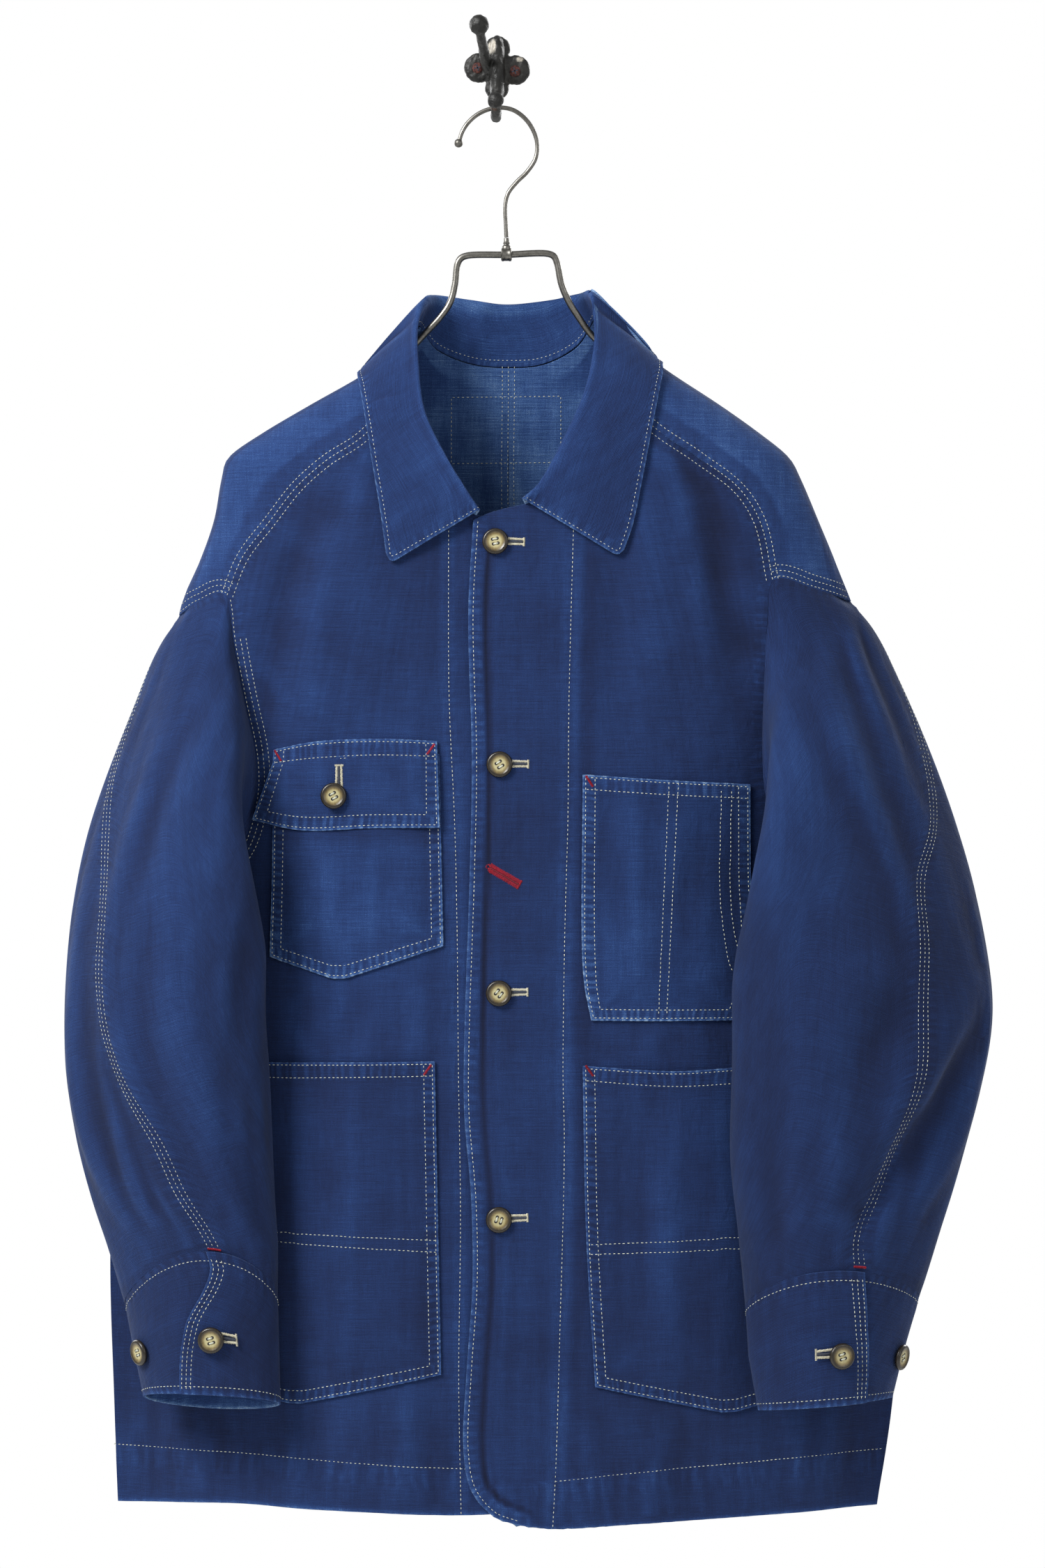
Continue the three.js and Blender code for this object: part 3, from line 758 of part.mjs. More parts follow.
// wall hook: lobed plate, central rib, lower prong and upper arm with a knob
{
  const lobe = (x, z, r, h, sides = 26) => placed(new THREE.CylinderGeometry(r - 0.8, r, h, sides), [x, -h / 2, z]);
  const half = SCREW_SPACING / 2;
  let body = solid(lobe(half - 0.4, -2.2, 10.4, PLATE_THICKNESS));
  body = body.add(solid(lobe(-half + 1.0, -0.6, 10.4, PLATE_THICKNESS)));
  body = body.add(solid(lobe(0.6, 12.6, 8.9, PLATE_THICKNESS)));
  body = body.add(solid(lobe(0.2, -14.6, 8.4, PLATE_THICKNESS)));
  body = body.add(solid(placed(new THREE.BoxGeometry(15, PLATE_THICKNESS - 0.2, 24), [0.4, -(PLATE_THICKNESS - 0.2) / 2, -1])));
  const rib = new THREE.Shape([[-0.5, 20], [-7, 18.5], [-15, 9], [-16, -4], [-15, -18], [-8, -26], [-0.5, -22.4]].map(([y, z]) => new THREE.Vector2(y, z)));
  body = body.add(solid(placed(new THREE.ExtrudeGeometry(rib, { depth: 9.4, bevelEnabled: true, bevelThickness: 0.8, bevelSize: 0.8, bevelSegments: 1 }), [4.9, 0, 0], [Math.PI / 2, 0, -Math.PI / 2], [1, 1, 1])));
  const prong = [[0, -4, -16], [0, -14, -27], [-0.1, -27, -36.2], [-0.2, -41, -41.2], [-0.3, -55, -42.4], [-0.3, -65, -40.2], [-0.3, -71.5, -35.4]].map((p) => V(...p));
  body = body.add(solid(tube(prong, 3.5, 20, 10)));
  body = body.add(solid(placed(new THREE.SphereGeometry(5.6, 14, 10), [-0.3, -72.6, -34.2], [0, 0, 0], [1.06, 0.9, 1])));
  const arm = [[-7.2, -10, -1], [-8.0, -18, 3.6], [-9.0, -32, 8.0], [-10.4, -50, 12.2], [-11.2, -57, 16]].map((p) => V(...p));
  body = body.add(solid(tube(arm, 3.5, 16, 10)));
  body = body.add(solid(placed(new THREE.SphereGeometry(7.1, 16, 12), [-11.7, -59.5, 19.2], [0, 0, 0], [1, 1, 1.04])));
  const seat = (x, z) => solid(placed(new THREE.CylinderGeometry(4.7, 4.7, 4, 18), [x, -PLATE_THICKNESS + 0.2, z]));
  const screws = [{ name: 'screw_right', x: -half, z: -1.2, r: 3.9 }, { name: 'screw_left', x: half - 0.7, z: -3.4, r: 4.1 }];
  for (const s of screws) body = body.subtract(seat(s.x, s.z));
  // the back of the plate is flat on the wall
  body = body.subtract(solid(placed(new THREE.BoxGeometry(80, 20, 120), [0, 10, 0])));
  add('wall_hook', back(body), iron);
  for (const s of screws) {
    const head = solid(placed(new THREE.CylinderGeometry(s.r * 0.86, s.r, 2.2, 18), [s.x, -PLATE_THICKNESS + 0.2 - 0.9, s.z], [Math.PI, 0, 0]));
    const slot = (turn) => solid(placed(new THREE.BoxGeometry(4.4, 2, 1.1), [s.x, -PLATE_THICKNESS - 1.9, s.z], [0, turn, 0]));
    add(s.name, back(head.subtract(slot(0.3)).subtract(slot(0.3 + Math.PI / 2))), rusty);
  }
}

export default jacket;
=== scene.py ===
# Looks of the chore jacket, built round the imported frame. Tables are in millimetres, objects in metres.
import sys
import bpy
import json
import math
import numpy as np
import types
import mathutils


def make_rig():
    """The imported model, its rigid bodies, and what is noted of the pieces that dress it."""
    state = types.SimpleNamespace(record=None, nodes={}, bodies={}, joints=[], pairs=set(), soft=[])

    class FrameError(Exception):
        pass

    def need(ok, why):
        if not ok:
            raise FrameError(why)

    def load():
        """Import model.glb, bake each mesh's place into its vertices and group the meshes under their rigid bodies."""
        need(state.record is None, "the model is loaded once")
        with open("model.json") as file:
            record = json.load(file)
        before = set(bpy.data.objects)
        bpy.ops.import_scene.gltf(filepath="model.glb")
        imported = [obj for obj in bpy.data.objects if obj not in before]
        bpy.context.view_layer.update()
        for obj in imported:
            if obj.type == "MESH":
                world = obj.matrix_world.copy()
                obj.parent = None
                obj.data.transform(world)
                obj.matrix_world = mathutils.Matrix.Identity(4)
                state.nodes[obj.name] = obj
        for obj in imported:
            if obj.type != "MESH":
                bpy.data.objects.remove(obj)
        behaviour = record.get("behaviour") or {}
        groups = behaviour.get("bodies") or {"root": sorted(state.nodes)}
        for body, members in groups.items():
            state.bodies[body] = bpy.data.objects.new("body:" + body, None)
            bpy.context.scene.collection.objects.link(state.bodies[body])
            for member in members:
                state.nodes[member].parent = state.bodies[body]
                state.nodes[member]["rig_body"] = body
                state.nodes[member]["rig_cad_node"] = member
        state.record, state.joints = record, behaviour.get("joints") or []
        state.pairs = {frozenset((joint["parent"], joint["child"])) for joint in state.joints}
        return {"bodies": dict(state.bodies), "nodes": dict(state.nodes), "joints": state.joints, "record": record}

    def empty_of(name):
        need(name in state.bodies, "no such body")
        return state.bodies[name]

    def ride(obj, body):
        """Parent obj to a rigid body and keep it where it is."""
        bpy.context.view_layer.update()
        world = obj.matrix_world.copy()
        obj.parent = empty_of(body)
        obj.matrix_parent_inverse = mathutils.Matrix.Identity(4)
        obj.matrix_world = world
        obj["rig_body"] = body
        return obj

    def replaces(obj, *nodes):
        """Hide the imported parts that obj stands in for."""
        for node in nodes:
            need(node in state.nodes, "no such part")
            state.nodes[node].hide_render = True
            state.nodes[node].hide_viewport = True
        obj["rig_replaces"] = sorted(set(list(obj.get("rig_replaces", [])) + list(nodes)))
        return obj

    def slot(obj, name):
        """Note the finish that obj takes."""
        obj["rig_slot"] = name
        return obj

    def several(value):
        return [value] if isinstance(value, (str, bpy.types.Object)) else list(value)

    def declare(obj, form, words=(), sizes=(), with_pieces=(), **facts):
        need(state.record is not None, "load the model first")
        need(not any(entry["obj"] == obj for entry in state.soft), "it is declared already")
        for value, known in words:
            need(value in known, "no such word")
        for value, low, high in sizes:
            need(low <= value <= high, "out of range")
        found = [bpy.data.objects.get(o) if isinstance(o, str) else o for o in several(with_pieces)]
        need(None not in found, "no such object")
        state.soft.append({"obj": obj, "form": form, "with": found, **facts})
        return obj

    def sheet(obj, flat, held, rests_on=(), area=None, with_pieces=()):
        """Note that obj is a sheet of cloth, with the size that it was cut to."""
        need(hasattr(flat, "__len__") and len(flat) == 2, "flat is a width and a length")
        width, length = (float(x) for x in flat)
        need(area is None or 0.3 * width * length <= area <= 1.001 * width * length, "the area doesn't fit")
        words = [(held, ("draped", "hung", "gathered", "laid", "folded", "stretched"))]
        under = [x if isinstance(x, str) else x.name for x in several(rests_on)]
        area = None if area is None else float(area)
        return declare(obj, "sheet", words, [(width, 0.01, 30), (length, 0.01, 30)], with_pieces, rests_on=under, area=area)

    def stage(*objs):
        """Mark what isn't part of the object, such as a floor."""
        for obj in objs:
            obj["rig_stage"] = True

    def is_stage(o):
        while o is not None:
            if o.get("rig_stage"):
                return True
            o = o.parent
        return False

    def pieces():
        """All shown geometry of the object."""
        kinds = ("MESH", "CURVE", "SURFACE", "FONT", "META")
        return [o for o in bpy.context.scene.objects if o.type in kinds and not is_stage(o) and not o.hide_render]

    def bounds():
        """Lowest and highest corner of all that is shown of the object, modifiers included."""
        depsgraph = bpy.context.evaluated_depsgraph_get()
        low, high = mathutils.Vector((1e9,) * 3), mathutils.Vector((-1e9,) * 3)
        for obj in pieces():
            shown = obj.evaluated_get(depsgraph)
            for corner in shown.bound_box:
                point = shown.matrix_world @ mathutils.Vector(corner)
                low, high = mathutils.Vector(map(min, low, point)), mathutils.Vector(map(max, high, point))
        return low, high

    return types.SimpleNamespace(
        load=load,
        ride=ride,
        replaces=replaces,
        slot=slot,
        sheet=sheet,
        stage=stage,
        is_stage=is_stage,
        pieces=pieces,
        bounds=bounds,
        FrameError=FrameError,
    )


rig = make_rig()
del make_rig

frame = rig.load()
CAD_BOX = [list(v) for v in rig.bounds()]
MM = 0.001
CLOTH, LAY_GAP, HANGER_Y, CENTRE_X = 1.6, 0.8, -55.0, 8.0
PLACKET_TOP, PLACKET_UNDER = 0.45, 2.1

# ---------------------------------------------------------------- tables shared with the frame
SECTIONS = [
  { "z": -1016, "right": -259.0, "left": 259.3, "mid": -43, "front": 55, "back": 29, "n": 3.0, "p": 1.30, "gap": 1.9 },
  { "z": -995, "right": -260.0, "left": 261.7, "mid": -43, "front": 56, "back": 30, "n": 3.0, "p": 1.30, "gap": 1.9 },
  { "z": -930, "right": -262.4, "left": 271.6, "mid": -43, "front": 56, "back": 30, "n": 3.0, "p": 1.30, "gap": 1.9 },
  { "z": -818, "right": -265.3, "left": 281.7, "mid": -43, "front": 57, "back": 31, "n": 3.0, "p": 1.30, "gap": 1.9 },
  { "z": -727, "right": -260.1, "left": 279.8, "mid": -43, "front": 58, "back": 31, "n": 3.0, "p": 1.28, "gap": 1.9 },
  { "z": -655, "right": -244.7, "left": 267.3, "mid": -43, "front": 58, "back": 31, "n": 3.0, "p": 1.26, "gap": 1.9 },
  { "z": -612, "right": -228.0, "left": 252.7, "mid": -43, "front": 58, "back": 31, "n": 3.0, "p": 1.24, "gap": 1.9 },
  { "z": -568, "right": -209.1, "left": 235.0, "mid": -44, "front": 57, "back": 31, "n": 3.0, "p": 1.20, "gap": 1.9 },
  { "z": -520, "right": -211.8, "left": 236.4, "mid": -46, "front": 55, "back": 32, "n": 3.0, "p": 1.10, "gap": 1.6 },
  { "z": -470, "right": -214.8, "left": 239.8, "mid": -49, "front": 52, "back": 35, "n": 3.0, "p": 0.95, "gap": 1.0 },
  { "z": -420, "right": -217.8, "left": 243.3, "mid": -51, "front": 50, "back": 37, "n": 3.0, "p": 0.78, "gap": 0.5 },
  { "z": -380, "right": -217.6, "left": 243.6, "mid": -53, "front": 48, "back": 39, "n": 2.9, "p": 0.64, "gap": 0.1 },
  { "z": -350, "right": -204.3, "left": 233.2, "mid": -54, "front": 47, "back": 40, "n": 2.8, "p": 0.56, "gap": 0 },
  { "z": -320, "right": -193.6, "left": 220.8, "mid": -55, "front": 46, "back": 41, "n": 2.7, "p": 0.52, "gap": 0 },
  { "z": -290, "right": -188.1, "left": 208.0, "mid": -55, "front": 44, "back": 40, "n": 2.6, "p": 0.50, "gap": 0 },
  { "z": -276, "right": -183.2, "left": 200.0, "mid": -55, "front": 43, "back": 39, "n": 2.6, "p": 0.50, "gap": 0 },
  { "z": -260, "right": -160.9, "left": 180.5, "mid": -55, "front": 41, "back": 38, "n": 2.5, "p": 0.50, "gap": 0 },
  { "z": -240, "right": -127.1, "left": 152.3, "mid": -55, "front": 38, "back": 36, "n": 2.5, "p": 0.50, "gap": 0 },
  { "z": -220, "right": -92.1, "left": 121.6, "mid": -55, "front": 34, "back": 34, "n": 2.5, "p": 0.50, "gap": 0 },
  { "z": -206, "right": -73.8, "left": 101.8, "mid": -55, "front": 31, "back": 32, "n": 2.5, "p": 0.50, "gap": 0 },
  { "z": -197, "right": -62.3, "left": 90.2, "mid": -55, "front": 28, "back": 29, "n": 2.5, "p": 0.50, "gap": 0 },
  { "z": -187, "right": -53.6, "left": 78.9, "mid": -55, "front": 24, "back": 26, "n": 2.5, "p": 0.50, "gap": 0 },
  { "z": -178, "right": -45.9, "left": 69.8, "mid": -55, "front": 21, "back": 24, "n": 2.5, "p": 0.50, "gap": 0 },
]
BODY_FOLDS = [
  { "side": -1, "x1": -126, "z1": -320, "x2": -158, "z2": -462, "width": 22, "height": -4.0 },
  { "side": -1, "x1": -96, "z1": -300, "x2": -118, "z2": -440, "width": 24, "height": 2.2 },
  { "side": -1, "x1": 142, "z1": -292, "x2": 168, "z2": -400, "width": 20, "height": -4.0 },
  { "side": -1, "x1": 112, "z1": -300, "x2": 128, "z2": -470, "width": 26, "height": 2.0 },
  { "side": -1, "x1": -70, "z1": -930, "x2": -58, "z2": -1010, "width": 30, "height": 2.4 },
  { "side": -1, "x1": -150, "z1": -905, "x2": -168, "z2": -1010, "width": 30, "height": -3.0 },
  { "side": -1, "x1": 122, "z1": -915, "x2": 132, "z2": -1010, "width": 34, "height": -3.0 },
  { "side": -1, "x1": 205, "z1": -900, "x2": 212, "z2": -1010, "width": 26, "height": 2.6 },
  { "side": 1, "x1": -90, "z1": -420, "x2": -66, "z2": -1010, "width": 38, "height": 3.6 },
  { "side": 1, "x1": -150, "z1": -560, "x2": -170, "z2": -1010, "width": 34, "height": -3.4 },
  { "side": 1, "x1": 104, "z1": -430, "x2": 84, "z2": -1010, "width": 38, "height": 3.6 },
  { "side": 1, "x1": 172, "z1": -560, "x2": 186, "z2": -1010, "width": 34, "height": -3.4 },
]
COLLAR = [
  { "seamX": -13.0, "seamZ": -318.8, "rollX": -10.4, "rollY": -106.0, "rollZ": -315.0, "edgeX": -72.8, "edgeZ": -352.3, "lift": 3.2 },
  { "seamX": -26.7, "seamZ": -311.3, "rollX": -18.6, "rollY": -106.0, "rollZ": -303.7, "edgeX": -77.1, "edgeZ": -319.7, "lift": 3.4 },
  { "seamX": -42.4, "seamZ": -286.4, "rollX": -33.7, "rollY": -104.0, "rollZ": -278.9, "edgeX": -82.4, "edgeZ": -287.9, "lift": 3.4 },
  { "seamX": -51.6, "seamZ": -256.0, "rollX": -48.0, "rollY": -97.0, "rollZ": -247.0, "edgeX": -87.4, "edgeZ": -255.6, "lift": 3.4 },
  { "seamX": -55.4, "seamZ": -224.4, "rollX": -52.5, "rollY": -86.0, "rollZ": -212.0, "edgeX": -91.4, "edgeZ": -232.0, "lift": 3.4 },
  { "seamX": -56.0, "seamZ": -201.0, "rollX": -53.0, "rollY": -70.0, "rollZ": -186.0, "edgeX": -93.0, "edgeZ": -222.0, "lift": 3.6 },
  { "seamX": -53.6, "seamZ": -187.0, "rollX": -47.0, "rollY": -54.0, "rollZ": -169.5, "edgeX": -89.0, "edgeZ": -213.5, "lift": 4.0 },
  { "seamX": -42.0, "seamZ": -200.5, "rollX": -38.0, "rollY": -34.0, "rollZ": -164.4, "edgeX": -62.0, "edgeZ": -224.0, "lift": 4.0 },
  { "seamX": -18.0, "seamZ": -210.0, "rollX": -16.0, "rollY": -26.5, "rollZ": -166.6, "edgeX": -26.0, "edgeZ": -240.0, "lift": 4.0 },
  { "seamX": 7.4, "seamZ": -212.2, "rollX": 7.4, "rollY": -24.5, "rollZ": -169.4, "edgeX": 7.3, "edgeZ": -245.0, "lift": 4.0 },
  { "seamX": 32.5, "seamZ": -210.0, "rollX": 33.4, "rollY": -26.5, "rollZ": -166.8, "edgeX": 41.0, "edgeZ": -239.0, "lift": 4.0 },
  { "seamX": 56.0, "seamZ": -198.0, "rollX": 55.0, "rollY": -35.0, "rollZ": -163.2, "edgeX": 79.0, "edgeZ": -218.0, "lift": 4.0 },
  { "seamX": 70.5, "seamZ": -178.8, "rollX": 63.0, "rollY": -54.0, "rollZ": -164.6, "edgeX": 106.0, "edgeZ": -204.5, "lift": 4.0 },
  { "seamX": 73.4, "seamZ": -196.0, "rollX": 66.5, "rollY": -70.0, "rollZ": -183.0, "edgeX": 112.0, "edgeZ": -217.5, "lift": 3.6 },
  { "seamX": 72.2, "seamZ": -222.0, "rollX": 65.5, "rollY": -86.0, "rollZ": -209.0, "edgeX": 110.4, "edgeZ": -231.0, "lift": 3.4 },
  { "seamX": 69.0, "seamZ": -252.0, "rollX": 58.0, "rollY": -97.0, "rollZ": -240.0, "edgeX": 105.0, "edgeZ": -260.3, "lift": 3.4 },
  { "seamX": 58.8, "seamZ": -282.0, "rollX": 43.0, "rollY": -104.0, "rollZ": -273.3, "edgeX": 98.6, "edgeZ": -295.0, "lift": 3.4 },
  { "seamX": 39.2, "seamZ": -304.5, "rollX": 29.4, "rollY": -106.5, "rollZ": -297.0, "edgeX": 92.4, "edgeZ": -324.4, "lift": 3.4 },
  { "seamX": 20.0, "seamZ": -311.5, "rollX": 17.6, "rollY": -107.0, "rollZ": -307.5, "edgeX": 84.3, "edgeZ": -347.6, "lift": 3.2 },
]
SHOULDER_ROW = { "right": 4, "left": 14 }
CREST_ROW = { "right": 6, "left": 12 }
CREST_STOPS = {                          
  "right": [-187, -206, -232, -256, -274, -300, -340, -384.5],
  "left": [-178.8, -200, -228, -254, -274, -300, -336, -374.5],
}
SHOULDER = {
  "right": [
    { "x": -55.4, "z": -224.4 }, { "x": -89.7, "z": -264.5 }, { "x": -114.9, "z": -281.2 },
    { "x": -134.7, "z": -298.4 }, { "x": -153.7, "z": -322.2 }, { "x": -172.2, "z": -345.9 }, { "x": -183.1, "z": -372.4 },
  ],
  "left": [
    { "x": 72.2, "z": -222.0 }, { "x": 105.8, "z": -257.5 }, { "x": 136.6, "z": -278.4 },
    { "x": 165.0, "z": -299.9 }, { "x": 179.1, "z": -322.3 }, { "x": 187.7, "z": -362.1 },
  ],
}
ARMHOLE = {
  "right": [
    { "turn": 0, "x": -217.4, "z": -384.5 }, { "turn": 20, "x": -203.1, "z": -375.9 }, { "turn": 45, "x": -183.1, "z": -372.4 },
    { "turn": 60, "x": -178.2, "z": -405.2 }, { "turn": 80, "x": -171.4, "z": -442.2 }, { "turn": 105, "x": -163.5, "z": -481.1 },
    { "turn": 125, "x": -163.6, "z": -509.5 }, { "turn": 145, "x": -172.6, "z": -540.3 }, { "turn": 163, "x": -190.6, "z": -561.9 },
    { "turn": 180, "x": -209.0, "z": -571.7 }, { "turn": 200, "x": -203.0, "z": -552.8 }, { "turn": 225, "x": -192.0, "z": -519.3 },
    { "turn": 255, "x": -186.0, "z": -478.3 }, { "turn": 285, "x": -188.0, "z": -439.7 }, { "turn": 315, "x": -197.0, "z": -406.1 },
    { "turn": 340, "x": -208.0, "z": -389.5 }, { "turn": 360, "x": -217.4, "z": -384.5 },
  ],
  "left": [
    { "turn": 0, "x": 243.2, "z": -374.5 }, { "turn": 20, "x": 217.6, "z": -367.4 }, { "turn": 45, "x": 187.7, "z": -362.1 },
    { "turn": 60, "x": 183.7, "z": -393.4 }, { "turn": 80, "x": 181.7, "z": -433.7 }, { "turn": 105, "x": 180.7, "z": -476.4 },
    { "turn": 125, "x": 182.7, "z": -507.1 }, { "turn": 145, "x": 192.5, "z": -535.6 }, { "turn": 163, "x": 213.2, "z": -557.1 },
    { "turn": 180, "x": 234.0, "z": -565.5 }, { "turn": 200, "x": 228.0, "z": -546.6 }, { "turn": 225, "x": 217.0, "z": -514.5 },
    { "turn": 255, "x": 211.0, "z": -473.5 }, { "turn": 285, "x": 213.0, "z": -432.5 }, { "turn": 315, "x": 222.0, "z": -397.5 },
    { "turn": 340, "x": 233.0, "z": -380.0 }, { "turn": 360, "x": 243.2, "z": -374.5 },
  ],
}
HEM = {
  "right": [
    { "x": 14, "z": -991.5 }, { "x": -23.9, "z": -993.1 }, { "x": -83.8, "z": -991.4 },
    { "x": -129.8, "z": -990.2 }, { "x": -176.4, "z": -988.7 }, { "x": -260.1, "z": -992.6 },
  ],
  "left": [
    { "x": 14.2, "z": -999.6 }, { "x": 37.3, "z": -1002.1 }, { "x": 102.3, "z": -999.4 },
    { "x": 173.7, "z": -996.9 }, { "x": 261.2, "z": -995.0 },
  ],
  "back": [
    { "x": -260.1, "z": -992.6 }, { "x": -120, "z": -998 }, { "x": 8, "z": -1001 }, { "x": 130, "z": -999 }, { "x": 261.2, "z": -995.0 },
  ],
}
FRONT_EDGE = {
  "right": [{ "x": 14, "z": -319.5 }, { "x": 14, "z": -480 }, { "x": 14, "z": -720 }, { "x": 14, "z": -991.5 }],
  "left": [
    { "x": -14.9, "z": -322.0 }, { "x": -18.2, "z": -384.9 }, { "x": -15.8, "z": -483.6 }, { "x": -17.2, "z": -558.7 },
    { "x": -21.0, "z": -676.1 }, { "x": -21.0, "z": -720.7 }, { "x": -16.3, "z": -779.9 }, { "x": -15.4, "z": -835.0 },
    { "x": -19.4, "z": -897.0 }, { "x": -21.5, "z": -948.9 }, { "x": -16.4, "z": -976.0 }, { "x": -1.7, "z": -993.4 }, { "x": 14.2, "z": -999.6 },
  ],
}
PLACKET_TOP_EDGE = {
  "right": [{ "x": 14, "z": -319.5 }, { "x": 0, "z": -321.2 }, { "x": -8, "z": -320.8 }],
  "left": [{ "x": -14.9, "z": -322.0 }, { "x": -4, "z": -317.4 }, { "x": 10, "z": -313.6 }],
}
SLEEVES = {
  "right": [
    { "o": [-225.0, -59, -399.9], "f": [-170.1, -99, -469.5], "i": [-211.0, -54, -572.5], "b": [-219.5, -20, -480.7], "seam": -22.5 },
    { "o": [-240.4, -63, -440.5], "f": [-175.2, -118, -483.7], "i": [-190.0, -82, -588.0], "b": [-238.1, -26, -506.4], "seam": -14 },
    { "o": [-259.1, -67, -490.5], "f": [-185.6, -132, -511.6], "i": [-165.6, -98, -601.2], "b": [-244.2, -37, -533.6], "seam": -4 },
    { "o": [-274.4, -71, -538.0], "f": [-196.8, -137, -548.7], "i": [-157.4, -107, -612.6], "b": [-247.7, -50, -571.7], "seam": 14 },
    { "o": [-286.2, -76, -588.6], "f": [-208.2, -140, -591.3], "i": [-154.4, -111, -633.5], "b": [-243.5, -62, -614.3], "seam": 34 },
    { "o": [-291.5, -80, -639.6], "f": [-214.7, -140, -640.4], "i": [-153.0, -111, -668.6], "b": [-237.7, -67, -655.4], "seam": 42 },
    { "o": [-291.8, -82, -689.6], "f": [-215.6, -140, -690.0], "i": [-152.1, -110, -706.2], "b": [-236.1, -69, -699.5], "seam": 56 },
    { "o": [-284.9, -84, -737.7], "f": [-211.1, -138, -736.6], "i": [-150.3, -108, -746.2], "b": [-232.6, -71, -744.5], "seam": 74 },
    { "o": [-273.9, -86, -779.1], "f": [-204.8, -136, -772.5], "i": [-148.6, -106, -786.2], "b": [-225.8, -73, -786.0], "seam": 81 },
    { "o": [-261.9, -88, -814.8], "f": [-198.5, -134, -795.9], "i": [-147.3, -106, -819.3], "b": [-216.7, -79, -820.0], "seam": 87 },
    { "o": [-251.3, -90, -849.5], "f": [-195.0, -131, -812.0], "i": [-147.0, -105, -846.4], "b": [-207.0, -83, -852.0], "seam": 91 },
  ],
  "left": [
    { "o": [252.0, -59, -388.0], "f": [185.6, -99, -457.7], "i": [236.5, -54, -566.5], "b": [246.5, -20, -475.9], "seam": -22.5 },
    { "o": [268.4, -63, -423.8], "f": [186.1, -119, -481.3], "i": [213.0, -83, -583.5], "b": [262.1, -26, -503.6], "seam": -16 },
    { "o": [287.0, -67, -469.1], "f": [193.6, -134, -509.3], "i": [182.3, -99, -598.8], "b": [268.7, -37, -528.8], "seam": -6 },
    { "o": [303.8, -71, -516.6], "f": [204.3, -140, -545.0], "i": [169.4, -109, -610.1], "b": [275.7, -50, -566.9], "seam": 8 },
    { "o": [319.0, -75, -564.9], "f": [215.2, -144, -587.9], "i": [163.1, -113, -631.1], "b": [277.3, -60, -609.6], "seam": 36 },
    { "o": [331.0, -78, -614.1], "f": [224.3, -146, -635.5], "i": [160.8, -113, -666.2], "b": [272.5, -65, -652.2], "seam": 47 },
    { "o": [335.5, -80, -658.5], "f": [228.9, -146, -682.7], "i": [159.9, -112, -708.4], "b": [267.6, -67, -699.6], "seam": 52 },
    { "o": [328.2, -82, -705.7], "f": [227.3, -143, -726.9], "i": [160.0, -110, -753.0], "b": [261.2, -69, -744.6], "seam": 55 },
    { "o": [314.3, -84, -756.6], "f": [224.3, -140, -769.3], "i": [163.3, -108, -793.0], "b": [253.0, -71, -787.2], "seam": 60 },
    { "o": [299.0, -86, -807.0], "f": [222.2, -137, -802.1], "i": [166.3, -107, -826.2], "b": [243.3, -78, -825.8], "seam": 70 },
    { "o": [286.5, -88, -845.5], "f": [221.4, -134, -825.1], "i": [168.3, -106, -852.8], "b": [238.4, -82, -854.0], "seam": 68 },
  ],
}
CUFFS = {
  "right": [
    { "o": [-250.8, -90, -851.0], "f": [-195.0, -131.3, -813.6], "i": [-146.9, -105, -848.0], "b": [-206.6, -83.2, -853.6] },
    { "o": [-245.5, -92, -880.5], "f": [-195.0, -133, -858.2], "i": [-145.7, -106, -881.0], "b": [-199.8, -86, -883.5] },
    { "o": [-238.4, -94, -913.8], "f": [-189.1, -131, -907.7], "i": [-144.8, -105, -917.3], "b": [-192.5, -87, -922.5] },
  ],
  "left": [
    { "o": [286.2, -88, -847.1], "f": [221.4, -134.2, -826.7], "i": [168.3, -106, -854.4], "b": [238.2, -82.2, -855.6] },
    { "o": [277.0, -90, -879.8], "f": [220.7, -134, -870.6], "i": [170.3, -106, -885.5], "b": [233.4, -85, -885.8] },
    { "o": [268.3, -92, -914.9], "f": [220.4, -132, -915.5], "i": [176.5, -105, -921.4], "b": [226.1, -86, -921.4] },
  ],
}
CUFF_SLIT = { "right": { "start": 92, "overlap": 16 }, "left": { "start": 66, "overlap": 16 } }
SLEEVE_FOLDS = {
  "right": [
    { "r1": 1.2, "t1": 60, "r2": 6.5, "t2": 96, "width": 15, "height": 3.0 },
    { "r1": 2.4, "t1": 118, "r2": 8.8, "t2": 124, "width": 14, "height": -4.0 },
    { "r1": 3.5, "t1": 28, "r2": 8.0, "t2": 40, "width": 13, "height": -3.4 },
    { "r1": 4.5, "t1": 290, "r2": 9.0, "t2": 280, "width": 18, "height": -3.5 },
  ],
  "left": [
    { "r1": 1.2, "t1": 64, "r2": 6.0, "t2": 92, "width": 15, "height": 3.0 },
    { "r1": 2.2, "t1": 122, "r2": 8.6, "t2": 112, "width": 14, "height": -4.0 },
    { "r1": 6.0, "t1": 8, "r2": 9.4, "t2": 52, "width": 13, "height": -5.0 },
    { "r1": 4.5, "t1": 290, "r2": 9.0, "t2": 280, "width": 18, "height": -3.5 },
  ],
}
